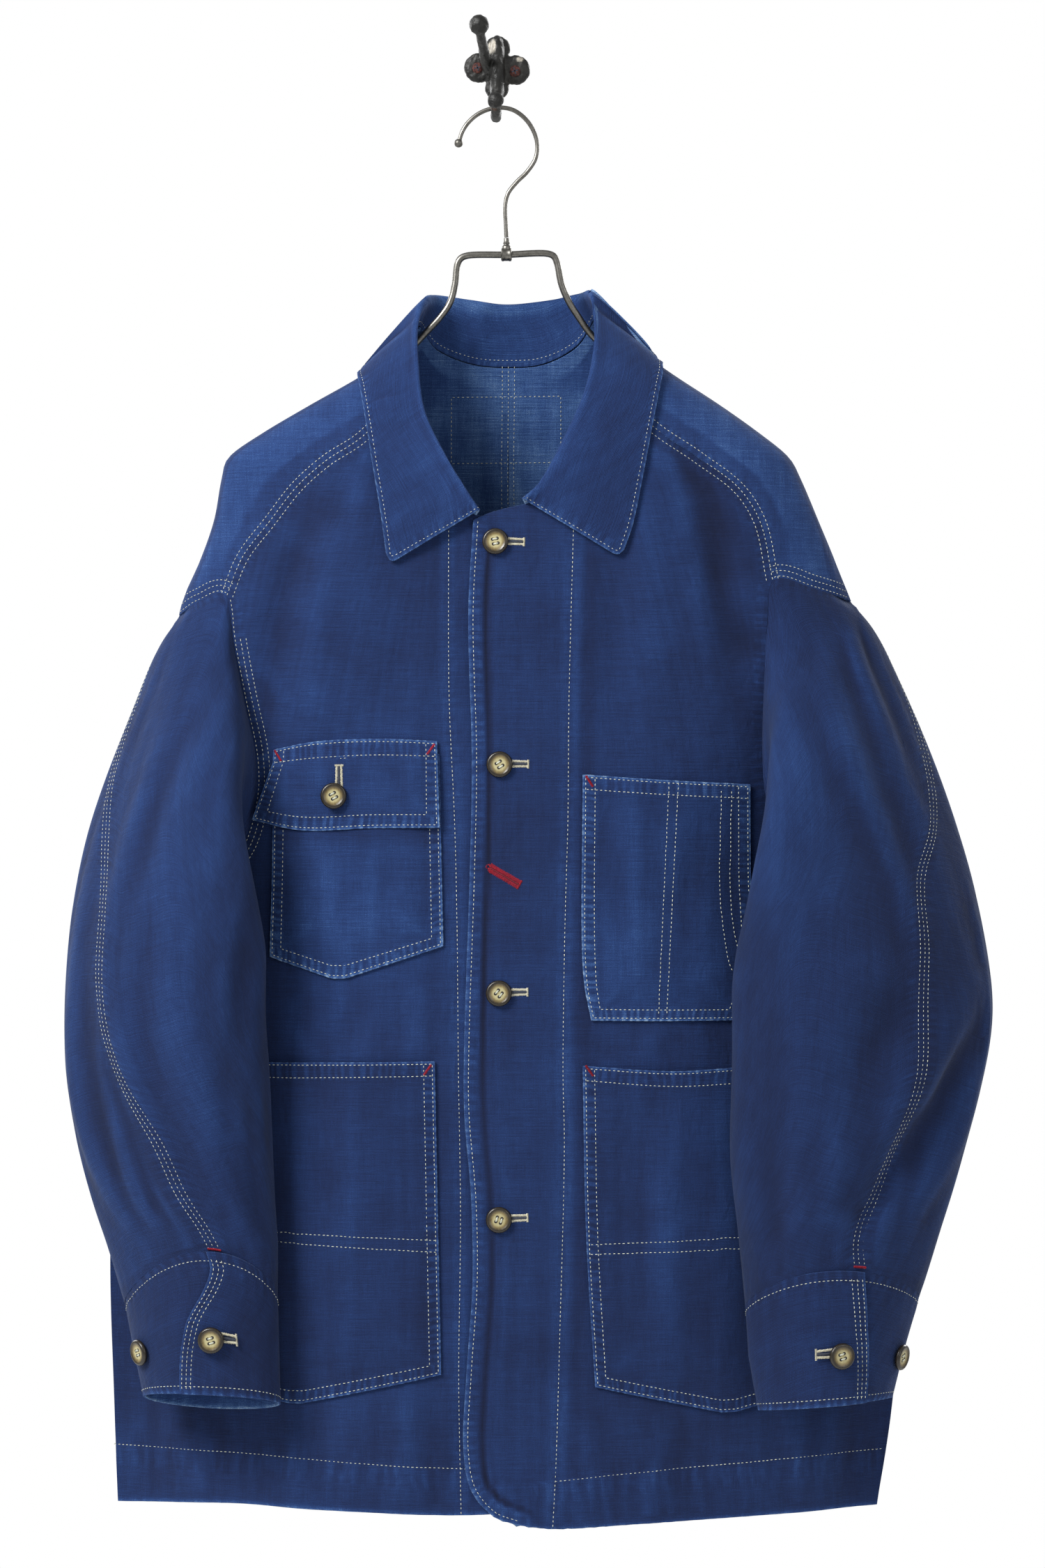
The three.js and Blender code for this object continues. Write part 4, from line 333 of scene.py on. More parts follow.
PATCHES = {
  "chest_pocket_right": {
    "side": "right", "layer": 1, "columns": 6, "rows": 5,
    "bottom": [{ "x": -153.6, "z": -616.9 }, { "x": -106.8, "z": -632.8 }, { "x": -35.6, "z": -609.1 }],
    "right": [{ "x": -35.6, "z": -609.1 }, { "x": -38.4, "z": -480.0 }],
    "top": [{ "x": -150.7, "z": -484.0 }, { "x": -90, "z": -480.5 }, { "x": -38.4, "z": -480.0 }],
    "left": [{ "x": -153.6, "z": -616.9 }, { "x": -150.7, "z": -484.0 }],
  },
  "chest_flap_right": {
    "side": "right", "layer": 2.25, "columns": 6, "rows": 3,
    "bottom": [{ "x": -166.0, "z": -524.1 }, { "x": -133.2, "z": -531.1 }, { "x": -84, "z": -529.6 }, { "x": -38.0, "z": -529.2 }],
    "right": [{ "x": -38.0, "z": -529.2 }, { "x": -39.8, "z": -471.3 }],
    "top": [{ "x": -151.0, "z": -477.0 }, { "x": -124, "z": -471.9 }, { "x": -82, "z": -469.8 }, { "x": -39.8, "z": -471.3 }],
    "left": [{ "x": -166.0, "z": -524.1 }, { "x": -151.4, "z": -486.0 }, { "x": -151.0, "z": -477.0 }],
  },
  "chest_pocket_left": {
    "side": "left", "layer": 1, "columns": 5, "rows": 6,
    "bottom": [{ "x": 64.6, "z": -659.1 }, { "x": 112, "z": -659.6 }, { "x": 162.5, "z": -659.6 }],
    "right": [{ "x": 162.5, "z": -659.6 }, { "x": 174.0, "z": -628.0 }, { "x": 173.0, "z": -560.0 }, { "x": 172.5, "z": -500.6 }],
    "top": [{ "x": 58.9, "z": -493.9 }, { "x": 112, "z": -497.6 }, { "x": 172.5, "z": -500.6 }],
    "left": [{ "x": 64.6, "z": -659.1 }, { "x": 59.4, "z": -629.5 }, { "x": 58.9, "z": -493.9 }],
  },
  "lower_pocket_right": {
    "side": "right", "layer": 1, "columns": 8, "rows": 8,
    "bottom": [{ "x": -226.0, "z": -903.6 }, { "x": -135.4, "z": -919.5 }, { "x": -37.1, "z": -898.2 }],
    "right": [{ "x": -37.1, "z": -898.2 }, { "x": -41.3, "z": -687.3 }],
    "top": [{ "x": -228.0, "z": -689.0 }, { "x": -130, "z": -688.4 }, { "x": -41.3, "z": -687.3 }],
    "left": [{ "x": -226.0, "z": -903.6 }, { "x": -228.0, "z": -689.0 }],
  },
  "lower_pocket_left": {
    "side": "left", "layer": 1, "columns": 8, "rows": 8,
    "bottom": [{ "x": 67.4, "z": -906.3 }, { "x": 157.4, "z": -926.2 }, { "x": 244.0, "z": -904.2 }],
    "right": [{ "x": 244.0, "z": -904.2 }, { "x": 248.0, "z": -693.5 }],
    "top": [{ "x": 58.9, "z": -690.1 }, { "x": 120.0, "z": -694.0 }, { "x": 170, "z": -692.0 }, { "x": 248.0, "z": -693.5 }],
    "left": [{ "x": 67.4, "z": -906.3 }, { "x": 61.3, "z": -805.1 }, { "x": 58.9, "z": -690.1 }],
  },
}
FRONT_BUTTONS = [
  { "name": "front_button_1", "x": -0.3, "z": -336.5 }, { "name": "front_button_2", "x": 2.5, "z": -486.8 },
  { "name": "front_button_3", "x": 2.0, "z": -641.0 }, { "name": "front_button_4", "x": 2.0, "z": -793.6 },
]
CUFF_BUTTONS = [
  { "name": "cuff_button_right_1", "side": "right", "x": -197.5, "z": -890.5, "turn": 95 },
  { "name": "cuff_button_right_2", "side": "right", "x": -236, "z": -899.5, "turn": 25 },
  { "name": "cuff_button_left_1", "side": "left", "x": 230.9, "z": -897.5, "turn": 80 },
  { "name": "cuff_button_left_2", "side": "left", "x": 272, "z": -900, "turn": 14 },
]
HOOK_PATH = [
  { "x": -25.4, "z": -59.9 }, { "x": -23.5, "z": -53.7 }, { "x": -19.2, "z": -47.0 }, { "x": -11.1, "z": -40.4 }, { "x": 0.3, "z": -36.8 },
  { "x": 11.8, "z": -38.5 }, { "x": 21.8, "z": -46.6 }, { "x": 27.5, "z": -58.5 }, { "x": 27.1, "z": -70.9 }, { "x": 21.3, "z": -80.5 },
  { "x": 13.7, "z": -88.1 }, { "x": 8.0, "z": -95.7 }, { "x": 6.2, "z": -104.3 }, { "x": 6.5, "z": -115.8 }, { "x": 7.0, "z": -125.5 },
]
FRAME_PATH = [
  { "x": -168.0, "z": -275.5 }, { "x": -134.7, "z": -254.0 }, { "x": -92.7, "z": -229.4 }, { "x": -72.7, "z": -214.2 }, { "x": -58.4, "z": -201.7 },
  { "x": -48.4, "z": -191.1 }, { "x": -37.8, "z": -179.7 }, { "x": -31.6, "z": -170.2 }, { "x": -28.3, "z": -157.8 }, { "x": -26.6, "z": -144.0 },
  { "x": -24.4, "z": -140.2 }, { "x": -20.2, "z": -138.2 }, { "x": 7.0, "z": -137.5 }, { "x": 35.2, "z": -136.8 }, { "x": 39.6, "z": -138.7 },
  { "x": 41.6, "z": -143.0 }, { "x": 44.7, "z": -157.8 }, { "x": 50.0, "z": -170.2 }, { "x": 56.5, "z": -180.4 }, { "x": 64.4, "z": -191.4 },
  { "x": 76.2, "z": -202.6 }, { "x": 89.6, "z": -211.5 }, { "x": 111.1, "z": -224.4 }, { "x": 137.3, "z": -240.6 }, { "x": 166.0, "z": -260.6 }, { "x": 184.0, "z": -275.5 },
]

# ---------------------------------------------------------------- numbers
def rows_of(rows, *keys):
    return [np.array([float(r[k]) for r in rows]) for k in keys]


def hermite(xs, ys, q):
    """Smooth value of ys at q along xs."""
    xs, ys, q = np.asarray(xs, float), np.asarray(ys, float), np.asarray(q, float)
    n = len(xs)
    a = np.maximum(np.arange(n) - 1, 0)
    b = np.minimum(np.arange(n) + 1, n - 1)
    slope = (ys[b] - ys[a]) / (xs[b] - xs[a])
    i = np.clip(np.searchsorted(xs, q, side="left") - 1, 0, n - 2)
    span = xs[i + 1] - xs[i]
    t = np.clip((q - xs[i]) / span, 0, 1)
    t2, t3 = t * t, t * t * t
    return ((2 * t3 - 3 * t2 + 1) * ys[i] + (t3 - 2 * t2 + t) * span * slope[i]
            + (-2 * t3 + 3 * t2) * ys[i + 1] + (t3 - t2) * span * slope[i + 1])


def smooth(a, b, x):
    t = np.clip((np.asarray(x, float) - a) / (b - a), 0, 1)
    return t * t * (3 - 2 * t)


def catmull(points, per=24):
    """Dense points on a centripetal Catmull-Rom curve."""
    P = np.asarray(points, float)
    n = len(P)
    out = []
    for i in range(n - 1):
        p1, p2 = P[i], P[i + 1]
        p0 = P[i - 1] if i > 0 else 2 * p1 - p2
        p3 = P[i + 2] if i + 2 < n else 2 * p2 - p1
        d = [max(1e-4, float(np.sum((b - a) ** 2)) ** 0.25) for a, b in ((p0, p1), (p1, p2), (p2, p3))]
        t1 = ((p1 - p0) / d[0] - (p2 - p0) / (d[0] + d[1]) + (p2 - p1) / d[1]) * d[1]
        t2 = ((p2 - p1) / d[1] - (p3 - p1) / (d[1] + d[2]) + (p3 - p2) / d[2]) * d[1]
        t = np.linspace(0, 1, per, endpoint=False)[:, None]
        out.append((2 * t**3 - 3 * t**2 + 1) * p1 + (t**3 - 2 * t**2 + t) * t1 + (-2 * t**3 + 3 * t**2) * p2 + (t**3 - t**2) * t2)
    out.append(P[-1][None])
    return np.concatenate(out)


class Curve:
    """A curve read by its share of length."""

    def __init__(self, points, curved=True, per=24):
        self.p = catmull(points, per) if curved else np.asarray(points, float)
        step = np.linalg.norm(np.diff(self.p, axis=0), axis=1)
        self.s = np.concatenate([[0], np.cumsum(step)])
        self.length = float(self.s[-1])

    def at(self, u):
        q = np.clip(np.asarray(u, float), 0, 1) * self.length
        return np.stack([np.interp(q, self.s, self.p[:, k]) for k in range(self.p.shape[1])], -1)

    def steps(self, pitch, start=0.0, end=0.0):
        span = self.length - start - end
        n = max(1, int(round(span / pitch)))
        return self.at((start + (np.arange(n) + 0.5) / n * span) / self.length)


def xz(rows):
    return [(r["x"], r["z"]) for r in rows]


def distance_to(path, x, z):
    """Signed distance (left of the direction is positive) and place along a dense line, for arrays x, z."""
    p = np.asarray(path, float)
    shape = np.shape(x)
    q = np.stack([np.ravel(x), np.ravel(z)], -1)
    a, b = p[:-1], p[1:]
    ab = b - a
    len2 = np.maximum(np.sum(ab * ab, -1), 1e-9)
    s0 = np.concatenate([[0], np.cumsum(np.sqrt(len2))])[:-1]
    best, sd, ss = np.full(len(q), 1e9), np.zeros(len(q)), np.zeros(len(q))
    for k in range(len(a)):
        w = q - a[k]
        t = w @ ab[k] / len2[k]
        tc = np.clip(t, 0, 1)
        d = np.hypot(w[:, 0] - tc * ab[k, 0], w[:, 1] - tc * ab[k, 1])
        cross = ab[k, 0] * w[:, 1] - ab[k, 1] * w[:, 0]
        hit = d < best - 1e-9
        best = np.where(hit, d, best)
        sd = np.where(hit, np.sign(cross) * d, sd)
        ss = np.where(hit, s0[k] + (t if k in (0, len(a) - 1) else tc) * math.sqrt(len2[k]), ss)
    return sd.reshape(shape), ss.reshape(shape)


def ripple(s, pitch, seed=0.0):
    """An uneven ripple along s, about -1 to 1."""
    w = 2 * math.pi / pitch
    return (0.55 * np.sin(w * s + 1.7 * np.sin(s * w * 0.23 + seed) + seed) + 0.3 * np.sin(w * 1.73 * s + seed * 2.1)
            + 0.25 * np.sin(w * 0.57 * s + seed * 3.7))


def billow(x, z, seed=0.0):
    """Slow unevenness of hanging cloth, about -1 to 1."""
    a = np.sin(x * 0.031 + 0.9 * np.sin(z * 0.013 + seed) + seed) * np.cos(z * 0.011 + 1.3 * np.sin(x * 0.017 + seed * 1.3))
    b = np.sin(x * 0.069 + z * 0.027 + 1.4 * np.sin(z * 0.031 - seed) + seed * 2.3)
    c = np.sin(x * 0.043 - z * 0.052 + 1.1 * np.sin(x * 0.05 + seed * 0.7))
    return 0.5 * a + 0.28 * b + 0.22 * c


def fold_height(folds, x, z):
    total = np.zeros(np.shape(x))
    for f in folds:
        x1, z1, x2, z2, width, height = f
        dx, dz = x2 - x1, z2 - z1
        raw = ((x - x1) * dx + (z - z1) * dz) / (dx * dx + dz * dz)
        t = np.clip(raw, 0, 1)
        away = np.hypot(x - x1 - t * dx, z - z1 - t * dz)
        total = total + height * np.exp(-((away / width) ** 2)) * (0.35 + 0.65 * np.sin(math.pi * np.clip(t, 0.12, 0.75)))
    return total


def fine_folds(folds, x, z):
    """Sharper creases that start and end softly: x1, z1, x2, z2, bow, width at the start and end, height."""
    total = np.zeros(np.shape(x))
    for x1, z1, x2, z2, bow, w1, w2, height in folds:
        dx, dz = x2 - x1, z2 - z1
        length = math.hypot(dx, dz)
        t = ((x - x1) * dx + (z - z1) * dz) / length**2
        tc = np.clip(t, 0, 1)
        off = ((x - x1) * -dz + (z - z1) * dx) / length - bow * 4 * tc * (1 - tc)
        beyond = np.maximum(0, np.maximum(-t, t - 1)) * length
        width = w1 + (w2 - w1) * tc
        body = np.exp(-((off / width) ** 2)) - 0.35 * np.exp(-(((np.abs(off) - 1.9 * width) / width) ** 2))
        total = total + height * body * np.exp(-((beyond / (0.12 * length)) ** 2)) * np.sin(math.pi * np.clip(0.15 + 0.75 * tc, 0, 1)) ** 0.8
    return total


# ---------------------------------------------------------------- the body's form, as in the frame
Z = rows_of(SECTIONS, "z")[0]
COLS = {k: rows_of(SECTIONS, k)[0] for k in ("right", "left", "mid", "front", "back", "n", "p", "gap")}
FOLDS = {side: [(f["x1"], f["z1"], f["x2"], f["z2"], f["width"], f["height"]) for f in BODY_FOLDS if f["side"] == side] for side in (-1, 1)}


def section(z):
    return {k: hermite(Z, v, z) for k, v in COLS.items()}


def body_y(x, z, side):
    s = section(z)
    centre, half = (s["right"] + s["left"]) / 2, (s["left"] - s["right"]) / 2
    t = np.minimum(1, np.abs(x - centre) / half)
    depth = np.power(np.maximum(1 - np.power(t, s["n"]), 0), s["p"])
    fade = smooth(0, 0.35, depth)
    fold = fade * fold_height(FOLDS[side], x, z)
    return np.where(side < 0, s["mid"] - s["gap"] - s["front"] * depth - fold, s["mid"] + s["gap"] + s["back"] * depth + fold)


def side_fade(x, z):
    """1 over the body, 0 at its side edges."""
    s = section(z)
    centre, half = (s["right"] + s["left"]) / 2, (s["left"] - s["right"]) / 2
    return 1 - smooth(0.86, 0.995, np.abs(x - centre) / half)


def edge_x(z, name):
    return hermite(Z, COLS[name], z)


def front_y(x, z, name):
    y = body_y(x, z, -1)
    return y - PLACKET_TOP * (1 - smooth(40, 90, x)) if name == "left" else y + PLACKET_UNDER * smooth(-62, -26, x)


NECK_AT = np.arange(len(COLLAR), dtype=float)
COLLAR_COLS = {k: rows_of(COLLAR, k)[0] for k in ("seamX", "seamZ", "rollX", "rollY", "rollZ", "edgeX", "edgeZ", "lift")}


def collar_col(s, key):
    return hermite(NECK_AT, COLLAR_COLS[key], s)


def neck_point(s):
    return np.stack([collar_col(s, "seamX"), collar_col(s, "seamZ")], -1)


def armhole(name, turn):
    """Points x, y, z of the armhole by turn in degrees."""
    rows = ARMHOLE[name]
    turns, xs, zs = rows_of(rows, "turn", "x", "z")
    a = np.mod(np.asarray(turn, float), 360)
    x, z = hermite(turns, xs, a), hermite(turns, zs, a)
    yf, yb = front_y(x, z, name), body_y(x, z, 1)
    mid = hermite(Z, COLS["mid"], z)
    near = np.minimum(a, 360 - a)
    y = np.where(a < 180, yf, yb)
    w = smooth(0, 12, near)
    y = mid + (y - mid) * w
    return np.stack([x, y, z], -1)

# ---------------------------------------------------------------- lines sewn on the body, x and z
EDGE_LINE = {n: Curve(xz(FRONT_EDGE[n])) for n in FRONT_EDGE}
FACING_LINE = {
    "left": Curve([(52.6, -322), (52.1, -338.3), (49.4, -441.2), (48.6, -525.4), (46.7, -592.1), (45.3, -693.2), (46.2, -743.9), (42.9, -880.7), (40.6, -958.0), (38.4, -1001.6)]),
    "right": Curve([(-31.9, -310), (-31.9, -337.9), (-31.5, -441.3), (-27.8, -525.4), (-26.2, -592.1), (-25.2, -693.2), (-23.8, -789.5), (-25.0, -903.3), (-23.4, -993.1)]),
}
HEM_STITCH = {
    "right": Curve([(-263.6, -953.6), (-174.7, -954.5), (-100, -958.2), (-24.3, -962.0), (14, -963.5)]),
    "left": Curve([(39.2, -970.3), (90, -965.5), (149, -961.4), (210, -958.2), (265.5, -956.6)]),
    "back_right": Curve([(-263.6, -953.6), (-120, -963), (8, -966)]),
    "back_left": Curve([(8, -966), (130, -964), (265.5, -956.6)]),
}
HEM_EDGE = {"right": Curve(xz(HEM["right"])), "left": Curve(xz(HEM["left"])),
            "back_right": Curve([p for p in xz(HEM["back"]) if p[0] <= 8]), "back_left": Curve([p for p in xz(HEM["back"]) if p[0] >= 8])}
SHOULDER_LINE = {n: Curve(xz(SHOULDER[n])) for n in SHOULDER}

# x1, z1, x2, z2, bow, width at start, width at end, height
FRONT_CREASES = {
    "right": [
        (-92, -300, -104, -372, 2, 9, 13, 1.0), (-130, -332, -150, -440, -6, 9, 15, -1.6), (-112, -330, -128, -462, -5, 8, 12, 1.0),
        (-60, -352, -66, -448, 2, 10, 14, -0.9), (-160, -430, -152, -470, 2, 6, 8, -1.2), (-52, -640, -58, -684, 2, 10, 10, 0.8),
        (-90, -638, -110, -680, 5, 9, 12, -0.9), (-140, -648, -128, -684, -4, 8, 10, 0.7), (-204, -925, -206, -990, 3, 8, 10, 1.0),
        (-120, -925, -116, -990, -3, 9, 12, -1.1), (-62, -915, -66, -990, 2, 9, 12, 1.0), (-238, -900, -236, -990, 2, 7, 10, -1.0),
    ],
    "left": [
        (118, -262, 152, -352, 8, 7, 14, -2.0), (150, -350, 172, -408, -5, 8, 12, -1.6), (98, -300, 108, -420, 3, 9, 14, 1.2),
        (78, -352, 84, -470, -2, 9, 13, -1.0), (130, -330, 146, -470, 4, 9, 14, 1.1), (66, -672, 74, -688, 1, 8, 9, -0.5),
        (110, -664, 100, -690, -2, 8, 10, 0.7), (150, -664, 158, -690, 2, 8, 9, -0.7), (72, -930, 78, -1000, 2, 8, 12, -1.1),
        (112, -935, 108, -1000, -2, 9, 11, 1.1), (188, -930, 192, -998, 2, 9, 11, -1.1), (232, -925, 226, -996, -2, 8, 10, 1.0),
    ],
}
BACK_CREASES = {
    "right": [
        (-60, -240, -92, -380, -7, 10, 16, 1.6), (-118, -300, -150, -430, -8, 9, 15, -2.0), (-172, -420, -150, -520, 6, 8, 14, -1.8),
        (-186, -500, -140, -640, 12, 9, 16, 1.8), (-120, -560, -128, -800, 7, 12, 18, -2.2), (-60, -620, -44, -900, -5, 14, 20, 1.8),
        (-200, -680, -188, -930, 6, 12, 16, 2.0), (-228, -620, -236, -960, -6, 10, 12, -1.8), (-30, -300, -36, -460, 3, 12, 16, -1.2),
    ],
    "left": [
        (86, -236, 122, -372, 8, 10, 16, 1.5), (150, -300, 172, -420, 7, 9, 14, -1.9), (196, -420, 176, -540, -6, 8, 13, -1.9),
        (208, -520, 166, -650, -13, 9, 16, 2.0), (148, -560, 140, -830, -6, 12, 18, -2.0), (76, -600, 62, -880, 5, 13, 19, 1.7),
        (214, -700, 206, -940, -5, 12, 15, 2.2), (244, -640, 252, -960, 5, 10, 12, -1.7), (48, -320, 52, -500, -3, 12, 16, -1.3),
    ],
}


def sewn(d, s, seed, half, groove=0.16, pucker=0.22, pitch=9.0):
    """Relief of a stitched fold: d across, s along; a shallow valley on the line and short ripples beside it."""
    near = np.exp(-((d / 1.4) ** 2))
    wide = np.exp(-((d / half) ** 4))
    return -groove * near + pucker * ripple(s, pitch, seed) * wide


def front_detail(x, z, name):
    """y of the front's outer face with its creases, seams and folds."""
    x, z = np.asarray(x, float), np.asarray(z, float)
    y = front_y(x, z, name)
    fade = side_fade(x, z)
    out = fade * (fine_folds(FRONT_CREASES[name], x, z) + 0.75 * billow(x, z, 0.6 if name == "left" else 2.4) * smooth(-300, -360, z))
    d, s = distance_to(HEM_STITCH[name].p, x, z)
    low = -d if HEM_STITCH[name].p[0, 0] > HEM_STITCH[name].p[-1, 0] else -d
    inside = smooth(-1.5, 1.5, low)
    out = out + sewn(d, s, 1.1, 9.0, 0.18, 0.3, 11.0) + inside * (0.35 + 0.32 * ripple(s, 13.0, 3.0))
    d, s = distance_to(FACING_LINE[name].p, x, z)
    if name == "left":
        beyond = -d if FACING_LINE[name].p[0, 1] > FACING_LINE[name].p[-1, 1] else d
        out = out + 0.55 * (1 - smooth(7.0, 10.5, -beyond)) + sewn(d, s, 0.3, 7.0, 0.16, 0.12, 8.0)
        e, t = distance_to(EDGE_LINE[name].p, x, z)
        e = np.abs(e)
        out = out + 0.35 * (1 - smooth(9.0, 12.5, e)) - 1.0 * np.exp(-(((e - 11.6) / 1.6) ** 2)) * smooth(-340, -360, z) * smooth(-1000, -975, z)
        out = out + 0.2 * ripple(t, 9.5, 4.4) * np.exp(-(((e - 5) / 5.0) ** 4)) - 0.12 * np.exp(-(((e - 2.8) / 1.6) ** 2))
    else:
        out = out + sewn(d, s, 2.2, 6.0, 0.15, 0.12, 8.0) + 0.4 * smooth(-40, -34, x)
    return y - out


def back_detail(x, z, name):
    x, z = np.asarray(x, float), np.asarray(z, float)
    y = body_y(x, z, 1)
    fade = side_fade(x, z)
    out = fade * (fine_folds(BACK_CREASES[name], x, z) + 1.0 * billow(x, z, 4.1 if name == "left" else 5.6) * smooth(-230, -300, z))
    d, s = distance_to(HEM_STITCH["back_" + name].p, x, z)
    inside = smooth(-1.5, 1.5, -d)
    out = out + sewn(d, s, 1.1, 9.0, 0.18, 0.3, 11.0) + inside * (0.35 + 0.32 * ripple(s, 13.0, 1.0))
    c = np.abs(x - CENTRE_X)
    out = out + 0.12 * ripple(z, 9.0, 0.8) * np.exp(-((c / 8.0) ** 4)) * smooth(-212, -222, z)
    return y + out


def crest_y(x, z):
    return body_y(x, z, -1)


# ---------------------------------------------------------------- grids
def coons(bottom, top, left, right, U, V, hold=1.0):
    b, t, l, r = bottom(U), top(U), left(V), right(V)
    b0, b1, t0, t1 = bottom(np.zeros(1)), bottom(np.ones(1)), top(np.zeros(1)), top(np.ones(1))
    u, v = U[None, :, None], V[:, None, None]
    return (l[:, None] * (1 - u) + r[:, None] * u + (1 - v) ** hold * (b[None] - (b0 * (1 - u) + b1 * u)) + v**hold * (t[None] - (t0 * (1 - u) + t1 * u)))


def seam_curve(name, low, high):
    z = np.linspace(low, high, 60)
    return Curve(np.stack([edge_x(z, name), z], -1), curved=False)


def front_grid(name, columns, rows):
    edge = Curve(xz(FRONT_EDGE[name])[::-1])
    hem = Curve(xz(HEM[name]))
    arm_z = [r["z"] for r in ARMHOLE[name] if r["turn"] == 180][0]
    seam = seam_curve(name, HEM[name][-1]["z"], arm_z)
    split = 0.62

    def side(v):
        low = seam.at(v / split)
        turn = 180 + (45 - 180) * np.clip((v - split) / (1 - split), 0, 1)
        high = armhole(name, turn)[:, [0, 2]]
        return np.where((v <= split)[:, None], low, high)

    start = float(len(COLLAR) - 1) if name == "left" else 0.0
    goal = float(SHOULDER_ROW[name])
    neck = Curve(neck_point(np.linspace(start, goal, 120)), curved=False)
    first = neck_point(np.array([start]))[0]
    placket = Curve(xz(PLACKET_TOP_EDGE[name]) + [tuple(first)])
    shoulder = Curve(xz(SHOULDER[name]))
    a, b = 2 / 13, 6 / 13

    def top(u):
        p = placket.at(u / a)
        n = neck_point(start + (goal - start) * np.clip((u - a) / (b - a), 0, 1))
        s = shoulder.at((u - b) / (1 - b))
        return np.where((u <= a)[:, None], p, np.where((u <= b)[:, None], n, s))

    U, V = np.linspace(0, 1, columns + 1), np.linspace(0, 1, rows + 1)
    g = coons(hem.at, top, edge.at, side, U, V, 5.0)
    x, z = g[..., 0], g[..., 1]
    return np.stack([x, front_detail(x, z, name), z], -1)


def back_grid(name, columns, rows, over):
    sign = 1 if name == "left" else -1
    arm_z = [r["z"] for r in ARMHOLE[name] if r["turn"] == 180][0]
    middle = (len(COLLAR) - 1) / 2
    hem_rows = [p for p in xz(HEM["back"]) if (p[0] >= CENTRE_X if name == "left" else p[0] <= CENTRE_X)]
    hem = Curve(hem_rows if name == "left" else hem_rows[::-1])
    centre = Curve([(CENTRE_X, HEM["back"][2]["z"]), (CENTRE_X, -600), (CENTRE_X, COLLAR[int(middle)]["seamZ"])])
    seam = seam_curve(name, HEM[name][-1]["z"], arm_z)
    split = 0.545

    def side(v):
        turn = 180 + 180 * np.clip((v - split) / (1 - split), 0, 0.9999)
        return np.where((v <= split)[:, None], seam.at(v / split), armhole(name, turn)[:, [0, 2]])

    stops = np.array(CREST_STOPS[name], float)
    crest = float(CREST_ROW[name])
    a = 0.3

    def top(u):
        n = neck_point(middle + (crest - middle) * np.clip(u / a, 0, 1))
        k = np.clip((u - a) / (1 - a), 0, 1) * (len(stops) - 1)
        z = np.interp(k, np.arange(len(stops)), stops)
        x = edge_x(z, name)
        end = armhole(name, np.array([0.0]))[0, [0, 2]]
        w = smooth(len(stops) - 1.6, len(stops) - 1, k)[:, None]
        s = np.stack([x, z], -1) * (1 - w) + end * w
        return np.where((u <= a)[:, None], n, s)

    U, V = np.linspace(0, 1, columns + 1), np.linspace(0, 1, rows + 1)
    g = coons(hem.at, top, centre.at, side, U, V, 5.0)
    x, z = g[..., 0], g[..., 1]
    y = back_detail(x, z, name)
    last = int(round(a * columns))
    mid = hermite(Z, COLS["mid"], z[-1, last:])
    y[-1, last:] = mid
    body = np.stack([x, y, z], -1)
    # over the crest to the forward shoulder seam
    shoulder = Curve(xz(SHOULDER[name]))
    strip = []
    base = body[-1, last:]
    share = np.linspace(0, 1, columns - last + 1)
    target = shoulder.at(share)
    for k in range(over + 1):
        w = (k / over) ** 1.7
        x = base[:, 0] * (1 - w) + target[:, 0] * w
        z = base[:, 2] * (1 - w) + target[:, 1] * w
        q = armhole(name, np.array([45.0 * k / over]))[0]
        ease = smooth(0.8, 1.0, share)
        x = x + ease * (q[0] - x[-1])
        z = z + ease * (q[2] - z[-1])
        p = neck_point(np.array([crest + (SHOULDER_ROW[name] - crest) * k / over]))[0]
        ease = 1 - smooth(0.0, 0.2, share)
        x = x + ease * (p[0] - x[0])
        z = z + ease * (p[1] - z[0])
        y = hermite(Z, COLS["mid"], z) if k == 0 else crest_y(x, z)
        strip.append(np.stack([x, y, z], -1))
    return body, np.array(strip)


# ---------------------------------------------------------------- sleeves
RINGS = {n: {k: np.array([r[k] for r in SLEEVES[n]], float) for k in "ofib"} for n in SLEEVES}
SEAM_TURN = {n: np.array([r["seam"] for r in SLEEVES[n]], float) for n in SLEEVES}
SWING = np.array([0, 5, 24, 38, 42, 42, 42, 42, 42, 42, 42, 42], float)
SLEEVE_SOFT = {n: [(f["t1"], f["r1"] * 12, f["t2"], f["r2"] * 12, f["width"], f["height"]) for f in SLEEVE_FOLDS[n]] for n in SLEEVE_FOLDS}
